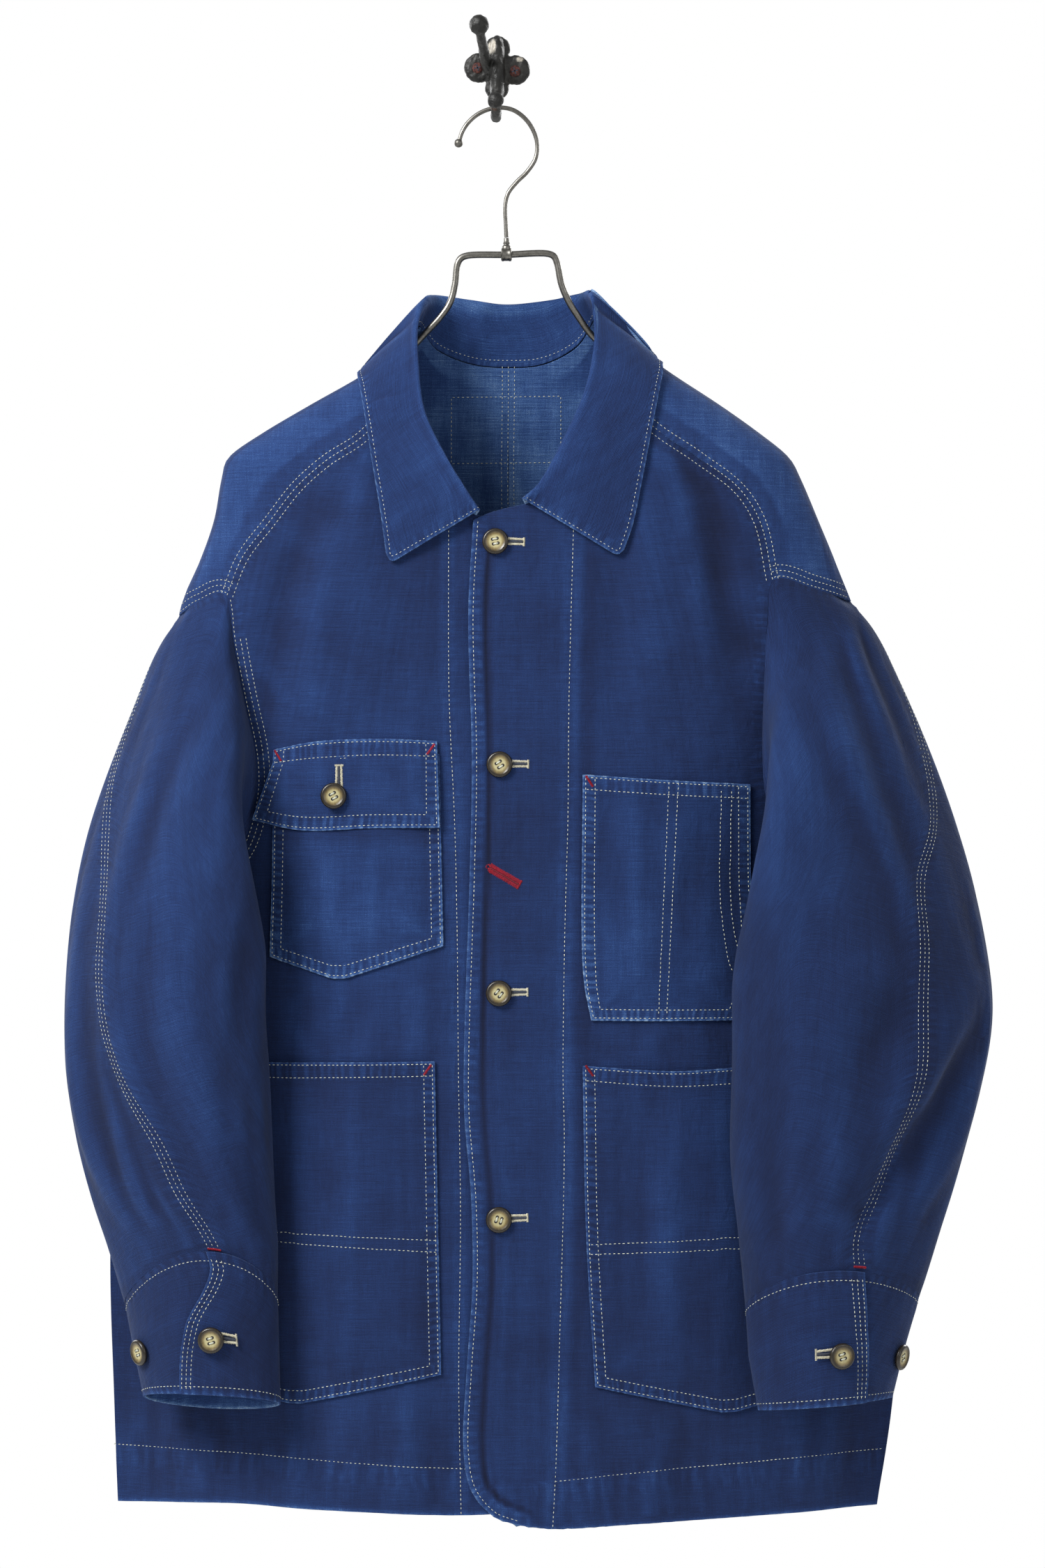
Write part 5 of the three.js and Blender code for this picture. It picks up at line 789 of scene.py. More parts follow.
# the same kind of creases along turn (degrees) and ring * 12
SLEEVE_CREASES = {
    "right": [
        (8, 18, 22, 60, 3, 6, 9, -1.6), (30, 20, 40, 74, -3, 6, 10, 1.3), (56, 16, 60, 60, 3, 6, 9, -1.3), (84, 26, 92, 84, -4, 6, 9, 1.2),
        (70, 62, 96, 112, 5, 6, 9, -1.5), (104, 52, 108, 120, 3, 6, 8, 1.5), (48, 74, 84, 122, -5, 5, 9, 1.7), (20, 66, 46, 92, 4, 6, 8, -1.8),
        (6, 80, 44, 112, 4, 6, 8, 2.2), (118, 88, 130, 128, 3, 5, 7, -2.2), (50, 84, 70, 108, -3, 5, 7, -2.6), (96, 70, 112, 126, -4, 6, 8, -2.4), (126, 60, 122, 112, 3, 7, 9, 1.8), (150, 70, 146, 120, 3, 6, 9, 1.4), (240, 60, 250, 120, 5, 8, 10, -2.2),
        (272, 44, 262, 110, -5, 9, 11, 2.4), (300, 40, 312, 96, 5, 8, 10, -2.2), (330, 56, 322, 118, -5, 8, 10, 2.0), (200, 60, 214, 120, 5, 8, 10, 2.0),
        (346, 30, 352, 84, 3, 7, 9, 1.6), (40, 100, 60, 128, 2, 4, 5, -1.3), (74, 108, 84, 130, -2, 4, 5, 1.2), (98, 112, 104, 131, 2, 4, 5, -1.1),
    ],
    "left": [
        (10, 12, 16, 44, 2, 5, 8, -2.0), (20, 12, 26, 50, -2, 5, 8, 1.6), (32, 13, 38, 62, 3, 5, 9, -1.7), (44, 14, 52, 70, -3, 6, 9, 1.2),
        (64, 20, 70, 66, 2, 6, 9, -1.2), (86, 26, 94, 90, -4, 6, 9, 1.3), (56, 50, 66, 92, 4, 6, 8, -1.6), (76, 62, 84, 104, -3, 6, 8, 1.4),
        (-4, 88, 42, 102, -3, 6, 7, -5.5), (42, 102, 69, 116, -3, 7, 6, -6.0), (69, 115, 69, 128, 0, 6, 5, -4.0), (20, 84, 60, 104, -3, 6, 8, 3.4),
        (10, 104, 46, 118, -2, 5, 7, 2.6), (58, 79, 84, 92, -3, 5, 7, -3.2), (84, 92, 88, 118, 1, 5, 6, 2.0), (70, 92, 78, 128, 2, 5, 6, -1.3),
        (96, 84, 100, 128, 3, 5, 7, 1.4), (112, 96, 108, 130, 2, 5, 6, -1.2), (46, 104, 56, 130, -2, 4, 5, 1.3), (150, 70, 146, 120, 3, 6, 9, 1.4),
        (240, 60, 250, 120, 5, 8, 10, -2.2), (272, 44, 262, 110, -5, 9, 11, 2.4), (300, 40, 312, 96, 5, 8, 10, -2.2), (336, 50, 326, 112, -5, 8, 10, 2.0),
        (200, 60, 214, 120, 5, 8, 10, 2.0), (350, 26, 354, 70, 3, 6, 9, 1.6),
    ],
}


def ring_point(o, f, i, b, turn):
    a = np.radians(turn)
    c, s = np.cos(a)[..., None], np.sin(a)[..., None]
    mid = (o + i) / 2
    return mid + (o - i) / 2 * c + (f - b) / 2 * s + ((f + b) / 2 - mid) * s * s


def sleeve_point(name, at, turn, fine=True):
    at, turn = np.broadcast_arrays(np.asarray(at, float), np.asarray(turn, float))
    shape = at.shape
    at, turn = at.ravel(), turn.ravel()
    count = len(SLEEVES[name])
    a = np.mod(turn, 360)
    swing = smooth(60, 170, a) * (1 - smooth(230, 330, a))
    R = RINGS[name]

    def point(k):
        k = np.minimum(k, count)
        ring = np.maximum(k - 1, 0)
        t = turn + swing * SWING[k]
        p = ring_point(R["o"][ring], R["f"][ring], R["i"][ring], R["b"][ring], t)
        zero = k <= 0
        if zero.any():
            p[zero] = armhole(name, turn[zero])
        return p

    i = np.minimum(count - 1, np.floor(at).astype(int))
    t = (at - i)[:, None]
    p1, p2 = point(i), point(i + 1)
    p0, p3 = point(np.maximum(i - 1, 0)), point(i + 2)
    p0 = np.where((i > 0)[:, None], p0, 2 * p1 - p2)
    p3 = np.where((i + 2 <= count)[:, None], p3, 2 * p2 - p1)
    p = 0.5 * (2 * p1 + (p2 - p0) * t + (2 * p0 - 5 * p1 + 4 * p2 - p3) * t * t + (3 * p1 - p0 - 3 * p2 + p3) * t**3)
    centres = (R["o"] + R["i"]) / 2
    ringf = np.clip(at - 1, 0, count - 1)
    middle = np.stack([np.interp(ringf, np.arange(count), centres[:, k]) for k in (0, 1)], -1)
    out = p[:, :2] - middle
    out = out / np.maximum(np.linalg.norm(out, axis=1, keepdims=True), 1e-6)
    height = fold_height(SLEEVE_SOFT[name], a, at * 12)
    if fine:
        height = height + fine_folds(SLEEVE_CREASES[name], a, at * 12) + 0.8 * billow(a * 1.1, at * 46, 1.0 if name == "left" else 3.1)
        gather = np.exp(-((at - 0.22) / 0.42) ** 2) * smooth(0.0, 0.12, at)
        front = smooth(-30, 0, np.where(a > 180, a - 360, a)) * (1 - smooth(70, 100, np.where(a > 180, a - 360, a)))
        height = height + gather * front * (1.5 if name == "left" else 0.8) * ripple(a, 11.0, 0.4) / 1.0
        low = smooth(count - 1.4, count - 0.25, at)
        height = height + 0.75 * low * ripple(a, 13.0, 2.0 if name == "left" else 5.0)
    ease = smooth(0.6, 1.8, at) * (1 - smooth(count - 1.6, count - 0.4, at))
    soft = smooth(0.05, 0.5, at)
    p[:, :2] += out * (height * (np.maximum(ease, 0.0 if not fine else 0.45 * soft * (1 - smooth(count - 0.35, count, at)))))[:, None]
    outboard = np.maximum(0, np.abs(p[:, 0]) - np.abs(edge_x(p[:, 2], name)))
    arm_z = [r["z"] for r in ARMHOLE[name] if r["turn"] == 180][0]
    over = np.where((a > 30) & (a < 182), 1.0, 1 - smooth(arm_z - 2, arm_z + 9, p[:, 2]))
    limit = body_y(p[:, 0], p[:, 2], -1) - 3.6 * smooth(0, 0.7, at) + 0.14 * outboard**2
    push = (over > 0) & (outboard < 8) & (at < 4) & (a > 30) & (a < 300) & (p[:, 1] > limit)
    p[:, 1] = np.where(push, p[:, 1] * (1 - over) + limit * over, p[:, 1])
    return p.reshape(shape + (3,))


def seam_turn(name, at):
    return hermite(np.arange(1, len(SEAM_TURN[name]) + 1), SEAM_TURN[name], np.maximum(1, at))


def sleeve_grid(name, which, columns, rows):
    last = len(SLEEVES[name])
    V = np.linspace(0, 1, rows + 1)
    at = last * (V * 0.93 + 0.07 * V**2)
    at = at / at[-1] * last
    seam = seam_turn(name, at)
    a, b = (seam, np.full(rows + 1, 247.5)) if which == "top" else (np.full(rows + 1, 247.5), 360 + seam)
    U = np.linspace(0, 1, columns + 1)
    turn = a[:, None] * (1 - U[None]) + b[:, None] * U[None]
    return sleeve_point(name, np.repeat(at[:, None], columns + 1, 1), turn), turn, np.repeat(at[:, None], columns + 1, 1)


# ---------------------------------------------------------------- cuffs
CUFF_RINGS = {n: {k: np.array([r[k] for r in CUFFS[n]], float) for k in "ofib"} for n in CUFFS}


def cuff_point(name, w, turn, out=0.0):
    w, turn, out = np.broadcast_arrays(np.asarray(w, float), np.asarray(turn, float), np.asarray(out, float))
    R = CUFF_RINGS[name]
    t = w * 2
    k = np.clip(np.floor(t).astype(int), 0, 1)
    f = (t - k)[..., None]
    a = ring_point(R["o"][k], R["f"][k], R["i"][k], R["b"][k], turn)
    b = ring_point(R["o"][k + 1], R["f"][k + 1], R["i"][k + 1], R["b"][k + 1], turn)
    p = a * (1 - f) + b * f
    middle = (R["o"][k] + R["i"][k]) / 2
    d = p - middle
    d[..., 2] = 0
    d = d / np.maximum(np.linalg.norm(d, axis=-1, keepdims=True), 1e-6)
    d = d * 1.0
    return p + d * out[..., None]


# ---------------------------------------------------------------- collar
def both_y(x, z, side):
    return np.where(np.broadcast_to(side, np.shape(x)) > 0, body_y(x, z, 1), body_y(x, z, -1))


def body_point(x, z, side, lift):
    h = 0.5
    y = both_y(x, z, side)
    s = section(z)
    t = np.abs(x - (s["right"] + s["left"]) / 2) / ((s["left"] - s["right"]) / 2)
    gx = (both_y(x + h, z, side) - both_y(x - h, z, side)) / (2 * h)
    gz = (both_y(x, z + h, side) - both_y(x, z - h, side)) / (2 * h)
    n = np.stack([side * -gx, side * np.ones_like(gx), side * -gz], -1)
    n = n / np.linalg.norm(n, axis=-1, keepdims=True)
    p = np.stack([x, y, z], -1)
    return np.where((t > 0.995)[..., None], p, p + n * np.asarray(lift)[..., None])


def collar_section(s):
    s = np.atleast_1d(np.asarray(s, float))
    g = {k: collar_col(s, k) for k in COLLAR_COLS}
    side = np.where((s > CREST_ROW["right"]) & (s < CREST_ROW["left"]), 1, -1)
    sy = both_y(g["seamX"], g["seamZ"], side)
    towards = np.stack([CENTRE_X - g["seamX"], HANGER_Y - 10 - sy, 0 * sy], -1)
    towards /= np.linalg.norm(towards, axis=-1, keepdims=True)
    seam = np.stack([g["seamX"], sy, g["seamZ"]], -1) + towards * 0.8 + np.array([0, 0, 1.1])
    roll = np.stack([g["rollX"], g["rollY"], g["rollZ"]], -1)
    edge = body_point(g["edgeX"], g["edgeZ"], side, g["lift"])
    up = roll - seam
    height = np.linalg.norm(up, axis=-1, keepdims=True)
    up = up / height
    out = edge - roll
    out = out - up * np.sum(out * up, -1, keepdims=True)
    out = out / np.maximum(np.linalg.norm(out, axis=-1, keepdims=True), 1e-6)
    thick = np.minimum(3.2, 2.0 + height * 0.05)
    bend = roll + out * thick + up * thick * 0.45
    far = roll + out * thick * 2 - up * np.minimum(3, height * 0.3)
    half = (far + edge) / 2
    clear = body_point(half[..., 0], half[..., 2], side, g["lift"] + 0.8)
    swap = ((half[..., 1] - clear[..., 1]) * side < 0)[..., None]
    half = np.where(swap, clear, half)
    return np.stack([seam, seam + (roll - seam) * 0.55, roll, bend, far, half + out * 0.8, edge], 1)


def collar_grid(rows, columns):
    """Points by row along the collar and column from the neck seam (0) over the roll to the outer edge."""
    S = np.linspace(0, len(COLLAR) - 1, rows + 1)
    T = np.concatenate([np.linspace(0, 0.5, columns // 2, endpoint=False), np.linspace(0.5, 1, columns - columns // 2 + 1)])
    dense = {}
    G = np.zeros((rows + 1, len(T), 3))
    lengths = np.zeros((rows + 1, len(T)))
    guides = collar_section(S)
    lines = [catmull(g, 20) for g in guides]
    L = np.array(lines)                      # rows+1, 121, 3
    par = np.linspace(0, 1, L.shape[1])
    return S, T, L, par


def sample_grid(L, r, c):
    """Bilinear point of a grid at fractional row and column."""
    r = np.clip(np.asarray(r, float), 0, L.shape[0] - 1.0001)
    c = np.clip(np.asarray(c, float), 0, L.shape[1] - 1.0001)
    i, j = np.floor(r).astype(int), np.floor(c).astype(int)
    a, b = (r - i)[..., None], (c - j)[..., None]
    return L[i, j] * (1 - a) * (1 - b) + L[i + 1, j] * a * (1 - b) + L[i, j + 1] * (1 - a) * b + L[i + 1, j + 1] * a * b

# ---------------------------------------------------------------- meshes
def grid_normals(g):
    du = np.gradient(g, axis=1)
    dv = np.gradient(g, axis=0)
    n = np.cross(du, dv)
    return n / np.maximum(np.linalg.norm(n, axis=-1, keepdims=True), 1e-9)


def arc_u(g):
    d = np.linalg.norm(np.diff(g, axis=1), axis=-1)
    return np.concatenate([np.zeros((g.shape[0], 1)), np.cumsum(d, 1)], 1)


def arc_v(g):
    d = np.linalg.norm(np.diff(g, axis=0), axis=-1)
    return np.concatenate([np.zeros((1, g.shape[1])), np.cumsum(d, 0)], 0)


def relief(g, n, reach=3):
    """How far each point stands out of its surroundings, in mm."""
    p = np.pad(g, ((reach, reach), (reach, reach), (0, 0)), mode="edge")
    r, c = g.shape[:2]
    around = (p[0:r, reach:reach + c] + p[2 * reach:2 * reach + r, reach:reach + c] + p[reach:reach + r, 0:c] + p[reach:reach + r, 2 * reach:2 * reach + c]) / 4
    out = np.sum((g - around) * n, -1)
    out[:reach], out[-reach:], out[:, :reach], out[:, -reach:] = 0, 0, 0, 0
    return out


def make_mesh(name, verts, faces, uvs=None, floats=None, smooth_faces=True, sharp=None):
    mesh = bpy.data.meshes.new(name)
    verts = np.asarray(verts, float) * MM
    faces = [tuple(f) for f in faces] if not isinstance(faces, np.ndarray) else faces
    if isinstance(faces, np.ndarray):
        mesh.vertices.add(len(verts))
        mesh.vertices.foreach_set("co", verts.astype(np.float32).ravel())
        k = faces.shape[1]
        mesh.loops.add(faces.size)
        mesh.loops.foreach_set("vertex_index", faces.ravel().astype(np.int32))
        mesh.polygons.add(len(faces))
        mesh.polygons.foreach_set("loop_start", np.arange(0, faces.size, k, dtype=np.int32))
        mesh.polygons.foreach_set("loop_total", np.full(len(faces), k, dtype=np.int32))
        mesh.update(calc_edges=True)
    else:
        mesh.from_pydata([tuple(v) for v in verts], [], faces)
    mesh.validate()
    if uvs is not None:
        layer = mesh.uv_layers.new(name="cloth")
        index = np.zeros(len(mesh.loops), dtype=np.int32)
        mesh.loops.foreach_get("vertex_index", index)
        layer.data.foreach_set("uv", (np.asarray(uvs, float)[index] * MM).astype(np.float32).ravel())
    for key, values in (floats or {}).items():
        a = mesh.attributes.new(key, "FLOAT", "POINT")
        a.data.foreach_set("value", np.asarray(values, np.float32).ravel())
    if smooth_faces:
        mesh.polygons.foreach_set("use_smooth", np.ones(len(mesh.polygons), dtype=bool))
        if sharp is not None:
            mesh.set_sharp_from_angle(angle=math.radians(sharp))
    ob = bpy.data.objects.new(name, mesh)
    bpy.context.scene.collection.objects.link(ob)
    return ob


def shell_arrays(g, thick=CLOTH, outward=1, bulge=0.35, uv=None, floats=None, round_edge=True):
    """Closed sheet under the grid g, whose points are its outer face."""
    R, C = g.shape[0], g.shape[1]
    n = grid_normals(g) * outward
    inner = g - n * thick
    uv = np.stack([arc_u(g), arc_v(g)], -1) if uv is None else uv
    floats = dict(floats or {})
    idx = np.arange(R * C).reshape(R, C)
    a, b, c, d = idx[:-1, :-1], idx[:-1, 1:], idx[1:, 1:], idx[1:, :-1]
    outer_faces = np.stack([a, b, c, d], -1).reshape(-1, 4)
    inner_faces = np.stack([a, d, c, b], -1).reshape(-1, 4) + R * C
    if outward < 0:
        outer_faces, inner_faces = outer_faces[:, ::-1], inner_faces[:, ::-1]
    loop = np.concatenate([idx[0, :-1], idx[:-1, -1], idx[-1, :0:-1], idx[:0:-1, 0]])
    flat_g, flat_n, flat_in = g.reshape(-1, 3), n.reshape(-1, 3), inner.reshape(-1, 3)
    p = flat_g[loop]
    tangent = np.roll(p, -1, 0) - np.roll(p, 1, 0)
    tangent /= np.maximum(np.linalg.norm(tangent, axis=1, keepdims=True), 1e-9)
    away = np.cross(tangent, flat_n[loop])
    away /= np.maximum(np.linalg.norm(away, axis=1, keepdims=True), 1e-9)
    if outward < 0:
        away = -away
    mid = (flat_g[loop] + flat_in[loop]) / 2 + away * bulge
    base = 2 * R * C
    m = base + np.arange(len(loop))
    nxt = np.roll(np.arange(len(loop)), -1)
    rim1 = np.stack([loop[nxt], loop, m, m[nxt]], -1)
    rim2 = np.stack([m[nxt], m, loop + R * C, loop[nxt] + R * C], -1)
    if outward < 0:
        rim1, rim2 = rim1[:, ::-1], rim2[:, ::-1]
    verts = np.concatenate([flat_g, flat_in, mid])
    faces = np.concatenate([outer_faces, inner_faces, rim1, rim2])
    flat_uv = uv.reshape(-1, 2)
    uvs = np.concatenate([flat_uv, flat_uv, flat_uv[loop]])
    # worn holds the fold relief: the canvas paints raised ridges lighter as rubbed wear and hollows darker as painted
    # shade
    if "worn" not in floats:
        floats["worn"] = relief(g, n)
    out = {}
    inner_keep = {"worn": -1.0, "rim": 1.0, "band": 0.25, "run": 1.0, "off": 1.0, "shade": 1.0}
    for key, value in floats.items():
        v = np.asarray(value, float).reshape(-1)
        out[key] = np.concatenate([v, v * inner_keep.get(key, 1.0), v[loop]])
    rim = np.concatenate([np.zeros(R * C), np.zeros(R * C), np.ones(len(loop))])
    out["rim"] = np.maximum(rim, out.get("rim", 0))
    # inside marks the inner face, which the canvas paints lighter as painted light
    inside = np.concatenate([np.zeros(R * C), np.ones(R * C), np.full(len(loop), 0.0)])
    out["inside"] = inside
    return verts, faces, uvs, out


def shell(name, g, **kw):
    sharp = kw.pop("sharp", 60)
    v, f, u, a = shell_arrays(g, **kw)
    return make_mesh(name, v, f, u, a, sharp=sharp)


class Bands:
    """Strips along seams: the strongest strip at each point gives its run along and its offset across, in mm."""

    def __init__(self, shape):
        self.band = np.zeros(shape)
        self.run = np.zeros(shape)
        self.off = np.zeros(shape)

    def add(self, d, s, low, high, strength=1.0, soft=1.4):
        """low..high: the strip's offsets on the d axis."""
        m = smooth(low - soft, low + soft, d) * (1 - smooth(high - soft, high + soft, d)) * strength
        near = m > self.band
        self.band = np.where(near, m, self.band)
        self.run = np.where(near, s, self.run)
        self.off = np.where(near, d - (low + high) / 2, self.off)
        return self

    def floats(self):
        return {"band": self.band, "run": self.run, "off": self.off}


# ---------------------------------------------------------------- stitches
def stitch_arrays(points, normals, pitch=3.0, length=1.62, width=0.5, height=0.28, jitter=0.12, seed=1):
    """One bead per stitch along a dense line of points with the cloth's normals."""
    p, n = np.asarray(points, float), np.asarray(normals, float)
    seg = np.linalg.norm(np.diff(p, axis=0), axis=1)
    s = np.concatenate([[0], np.cumsum(seg)])
    total = s[-1]
    count = int(total / pitch)
    if count < 1:
        return np.zeros((0, 3)), np.zeros((0, 3), int)
    rng = np.random.default_rng(seed)
    at = (np.arange(count) + 0.5) * total / count + rng.uniform(-jitter, jitter, count)
    L = length * (1 + rng.uniform(-0.1, 0.1, count))
    sink = rng.uniform(0.0, 0.08, count)

    def read(q):
        return np.stack([np.interp(q, s, p[:, k]) for k in range(3)], -1)

    def readn(q):
        m = np.stack([np.interp(q, s, n[:, k]) for k in range(3)], -1)
        return m / np.maximum(np.linalg.norm(m, axis=1, keepdims=True), 1e-9)

    rings = []
    for t, w, h in ((-0.5, 0.18, -0.12), (-0.26, 0.5, 0.85), (0.26, 0.5, 0.85), (0.5, 0.18, -0.12)):
        q = at + t * L
        c, m = read(np.clip(q, 0, total)), readn(np.clip(q, 0, total))
        d = read(np.clip(q + 0.4, 0, total)) - read(np.clip(q - 0.4, 0, total))
        d /= np.maximum(np.linalg.norm(d, axis=1, keepdims=True), 1e-9)
        side = np.cross(m, d)
        side /= np.maximum(np.linalg.norm(side, axis=1, keepdims=True), 1e-9)
        lift = (h * height - sink)[:, None]
        rings.append(np.stack([c + side * width * w - m * 0.1, c + m * lift, c - side * width * w - m * 0.1], 1))
    V = np.stack(rings, 1).reshape(count, 12, 3)
    f = []
    for r in range(3):
        for k in range(3):
            a, b = r * 3 + k, r * 3 + (k + 1) % 3
            f += [(a, b, b + 3), (a, b + 3, a + 3)]
    f += [(0, 2, 1), (9, 10, 11)]
    f = np.array(f)
    F = (f[None] + (np.arange(count) * 12)[:, None, None]).reshape(-1, 3)
    return V.reshape(-1, 3), F


class Thread:
    """Gathers stitches into one piece."""

    def __init__(self):
        self.v, self.f, self.n, self.seed = [], [], 0, 7

    def line(self, points, normals, **kw):
        self.seed += 1
        v, f = stitch_arrays(points, normals, seed=self.seed, **kw)
        if len(v):
            self.v.append(v)
            self.f.append(f + self.n)
            self.n += len(v)

    def done(self, name):
        return make_mesh(name, np.concatenate(self.v), np.concatenate(self.f), smooth_faces=False)


def on_field(path, field, h=0.8):
    """Points and outward normals over x, z pairs where field(x, z) is y; the outside is -Y."""
    x, z = path[:, 0], path[:, 1]
    y = field(x, z)
    gx = (field(x + h, z) - field(x - h, z)) / (2 * h)
    gz = (field(x, z + h) - field(x, z - h)) / (2 * h)
    n = np.stack([gx, -np.ones_like(gx), gz], -1)
    n /= np.linalg.norm(n, axis=1, keepdims=True)
    return np.stack([x, y, z], -1), n


def dense(points, step=1.0, curved=True):
    c = Curve(points, curved=curved)
    n = max(2, int(c.length / step))
    return c.at(np.linspace(0, 1, n + 1))


def parallel(path, off):
    """The line beside a 2-D line; positive is to the left of its direction."""
    t = np.gradient(path, axis=0)
    t /= np.maximum(np.linalg.norm(t, axis=1, keepdims=True), 1e-9)
    return path + np.stack([-t[:, 1], t[:, 0]], -1) * off


def ribbon_arrays(points, normals, half, rise, across=6):
    """A low raised band along a 3-D line lying on the cloth, flat on top with soft shoulders: the open grid of its
    points and the offsets across.
    """
    p, n = np.asarray(points, float), np.asarray(normals, float)
    t = np.gradient(p, axis=0)
    t /= np.maximum(np.linalg.norm(t, axis=1, keepdims=True), 1e-9)
    side = np.cross(n, t)
    side /= np.maximum(np.linalg.norm(side, axis=1, keepdims=True), 1e-9)
    q = np.linspace(-1, 1, across + 1)
    h = rise * (1 - np.abs(q) ** 6)
    g = p[:, None] + side[:, None] * (q * half)[None, :, None] + n[:, None] * (h[None, :, None] if np.ndim(h) == 1 else h)
    return g, q


def rounded_tube(name, path, radius, sides=18, closed_ends=True):
    """A tube of varying radius along a 3-D path."""
    p = np.asarray(path, float)
    r = np.full(len(p), radius) if np.isscalar(radius) else np.asarray(radius, float)
    t = np.gradient(p, axis=0)
    t /= np.maximum(np.linalg.norm(t, axis=1, keepdims=True), 1e-9)
    n0 = np.cross(t[0], [0.3, 1, 0.2])
    n0 /= np.linalg.norm(n0)
    normals = [n0]
    for k in range(1, len(p)):
        m = normals[-1] - t[k] * np.dot(normals[-1], t[k])
        normals.append(m / np.linalg.norm(m))
    N = np.array(normals)
    B = np.cross(t, N)
    a = np.arange(sides) / sides * 2 * math.pi
    rings = p[:, None] + r[:, None, None] * (N[:, None] * np.cos(a)[None, :, None] + B[:, None] * np.sin(a)[None, :, None])
    V = rings.reshape(-1, 3)
    faces = []
    for k in range(len(p) - 1):
        for j in range(sides):
            a0, b0 = k * sides + j, k * sides + (j + 1) % sides
            faces.append((a0, b0, b0 + sides, a0 + sides))
    faces.append(tuple(range(sides))[::-1])
    faces.append(tuple((len(p) - 1) * sides + j for j in range(sides)))
    return make_mesh(name, V, faces, sharp=50)


def join(name, objects):
    """One object from several; the first keeps its data."""
    bpy.ops.object.select_all(action="DESELECT")
    for ob in objects:
        ob.select_set(True)
    bpy.context.view_layer.objects.active = objects[0]
    bpy.ops.object.join()
    objects[0].name = name
    objects[0].data.name = name
    return objects[0]

# ---------------------------------------------------------------- materials
class Nodes:
    def __init__(self, name, slot):
        self.mat = bpy.data.materials.new(name)
        self.mat.use_nodes = True
        self.t = self.mat.node_tree
        self.t.nodes.clear()
        self.out = self.t.nodes.new("ShaderNodeOutputMaterial")
        self.bsdf = self.t.nodes.new("ShaderNodeBsdfPrincipled")
        self.t.links.new(self.bsdf.outputs[0], self.out.inputs[0])

    def link(self, a, b):
        self.t.links.new(a, b)
        return a

    def put(self, socket, value):
        if hasattr(value, "is_linked") or isinstance(value, bpy.types.NodeSocket):
            self.t.links.new(value, socket)
        else:
            socket.default_value = value

    def math(self, op, a, b=0.0, c=None, clamp=False):
        n = self.t.nodes.new("ShaderNodeMath")
        n.operation = op
        n.use_clamp = clamp
        self.put(n.inputs[0], a)
        self.put(n.inputs[1], b)
        if c is not None:
            self.put(n.inputs[2], c)
        return n.outputs[0]

    def attr(self, name):
        n = self.t.nodes.new("ShaderNodeAttribute")
        n.attribute_type = "GEOMETRY"
        n.attribute_name = name
        return n.outputs["Fac"]

    def uv(self):
        n = self.t.nodes.new("ShaderNodeUVMap")
        n.uv_map = "cloth"
        return n.outputs[0]

    def objco(self):
        n = self.t.nodes.new("ShaderNodeTexCoord")
        return n.outputs["Object"]

    def mapped(self, vector, scale, shift=(0, 0, 0)):
        n = self.t.nodes.new("ShaderNodeMapping")
        self.t.links.new(vector, n.inputs["Vector"])
        n.inputs["Scale"].default_value = scale
        n.inputs["Location"].default_value = shift
        return n.outputs[0]

    def noise(self, vector, scale=1.0, detail=2.0, rough=0.5, distortion=0.0):
        n = self.t.nodes.new("ShaderNodeTexNoise")
        self.t.links.new(vector, n.inputs["Vector"])
        n.inputs["Scale"].default_value = scale
        n.inputs["Detail"].default_value = detail
        n.inputs["Roughness"].default_value = rough
        n.inputs["Distortion"].default_value = distortion
        return n.outputs["Fac"]

    def range(self, value, a, b, c=0.0, d=1.0, smoothed=False):
        n = self.t.nodes.new("ShaderNodeMapRange")
        n.interpolation_type = "SMOOTHSTEP" if smoothed else "LINEAR"
        self.put(n.inputs["Value"], value)
        n.inputs["From Min"].default_value = a
        n.inputs["From Max"].default_value = b
        n.inputs["To Min"].default_value = c
        n.inputs["To Max"].default_value = d
        return n.outputs["Result"]

    def combine(self, x, y, z=0.0):
        n = self.t.nodes.new("ShaderNodeCombineXYZ")
        self.put(n.inputs[0], x)
        self.put(n.inputs[1], y)
        self.put(n.inputs[2], z)
        return n.outputs[0]

    def ramp(self, value, stops):
        n = self.t.nodes.new("ShaderNodeValToRGB")
        self.put(n.inputs[0], value)
        e = n.color_ramp.elements
        e[0].position, e[0].color = stops[0][0], rgb(stops[0][1])
        e[1].position, e[1].color = stops[-1][0], rgb(stops[-1][1])
        for pos, col in stops[1:-1]:
            x = e.new(pos)
            x.color = rgb(col)
        return n.outputs["Color"]

    def bump(self, height, distance, strength=1.0, normal=None):
        n = self.t.nodes.new("ShaderNodeBump")
        self.put(n.inputs["Height"], height)
        n.inputs["Distance"].default_value = distance
        n.inputs["Strength"].default_value = strength
        if normal is not None:
            self.t.links.new(normal, n.inputs["Normal"])
        return n.outputs["Normal"]

    def mix(self, fac, a, b, kind="MIX"):
        n = self.t.nodes.new("ShaderNodeMix")
        n.data_type = "RGBA"
        n.blend_type = kind
        self.put(n.inputs["Factor"], fac)
        self.put(n.inputs[6], rgb(a) if isinstance(a, tuple) else a)
        self.put(n.inputs[7], rgb(b) if isinstance(b, tuple) else b)
        return n.outputs[2]


def lin(c):
    c = c / 255
    return c / 12.92 if c <= 0.04045 else ((c + 0.055) / 1.055) ** 2.4


def rgb(c):
    return (lin(c[0]), lin(c[1]), lin(c[2]), 1.0)


INDIGO = [(0.0, (8, 16, 42)), (0.28, (15, 29, 64)), (0.47, (22, 43, 86)), (0.62, (32, 58, 106)), (0.78, (62, 92, 138)), (1.0, (128, 152, 180))]


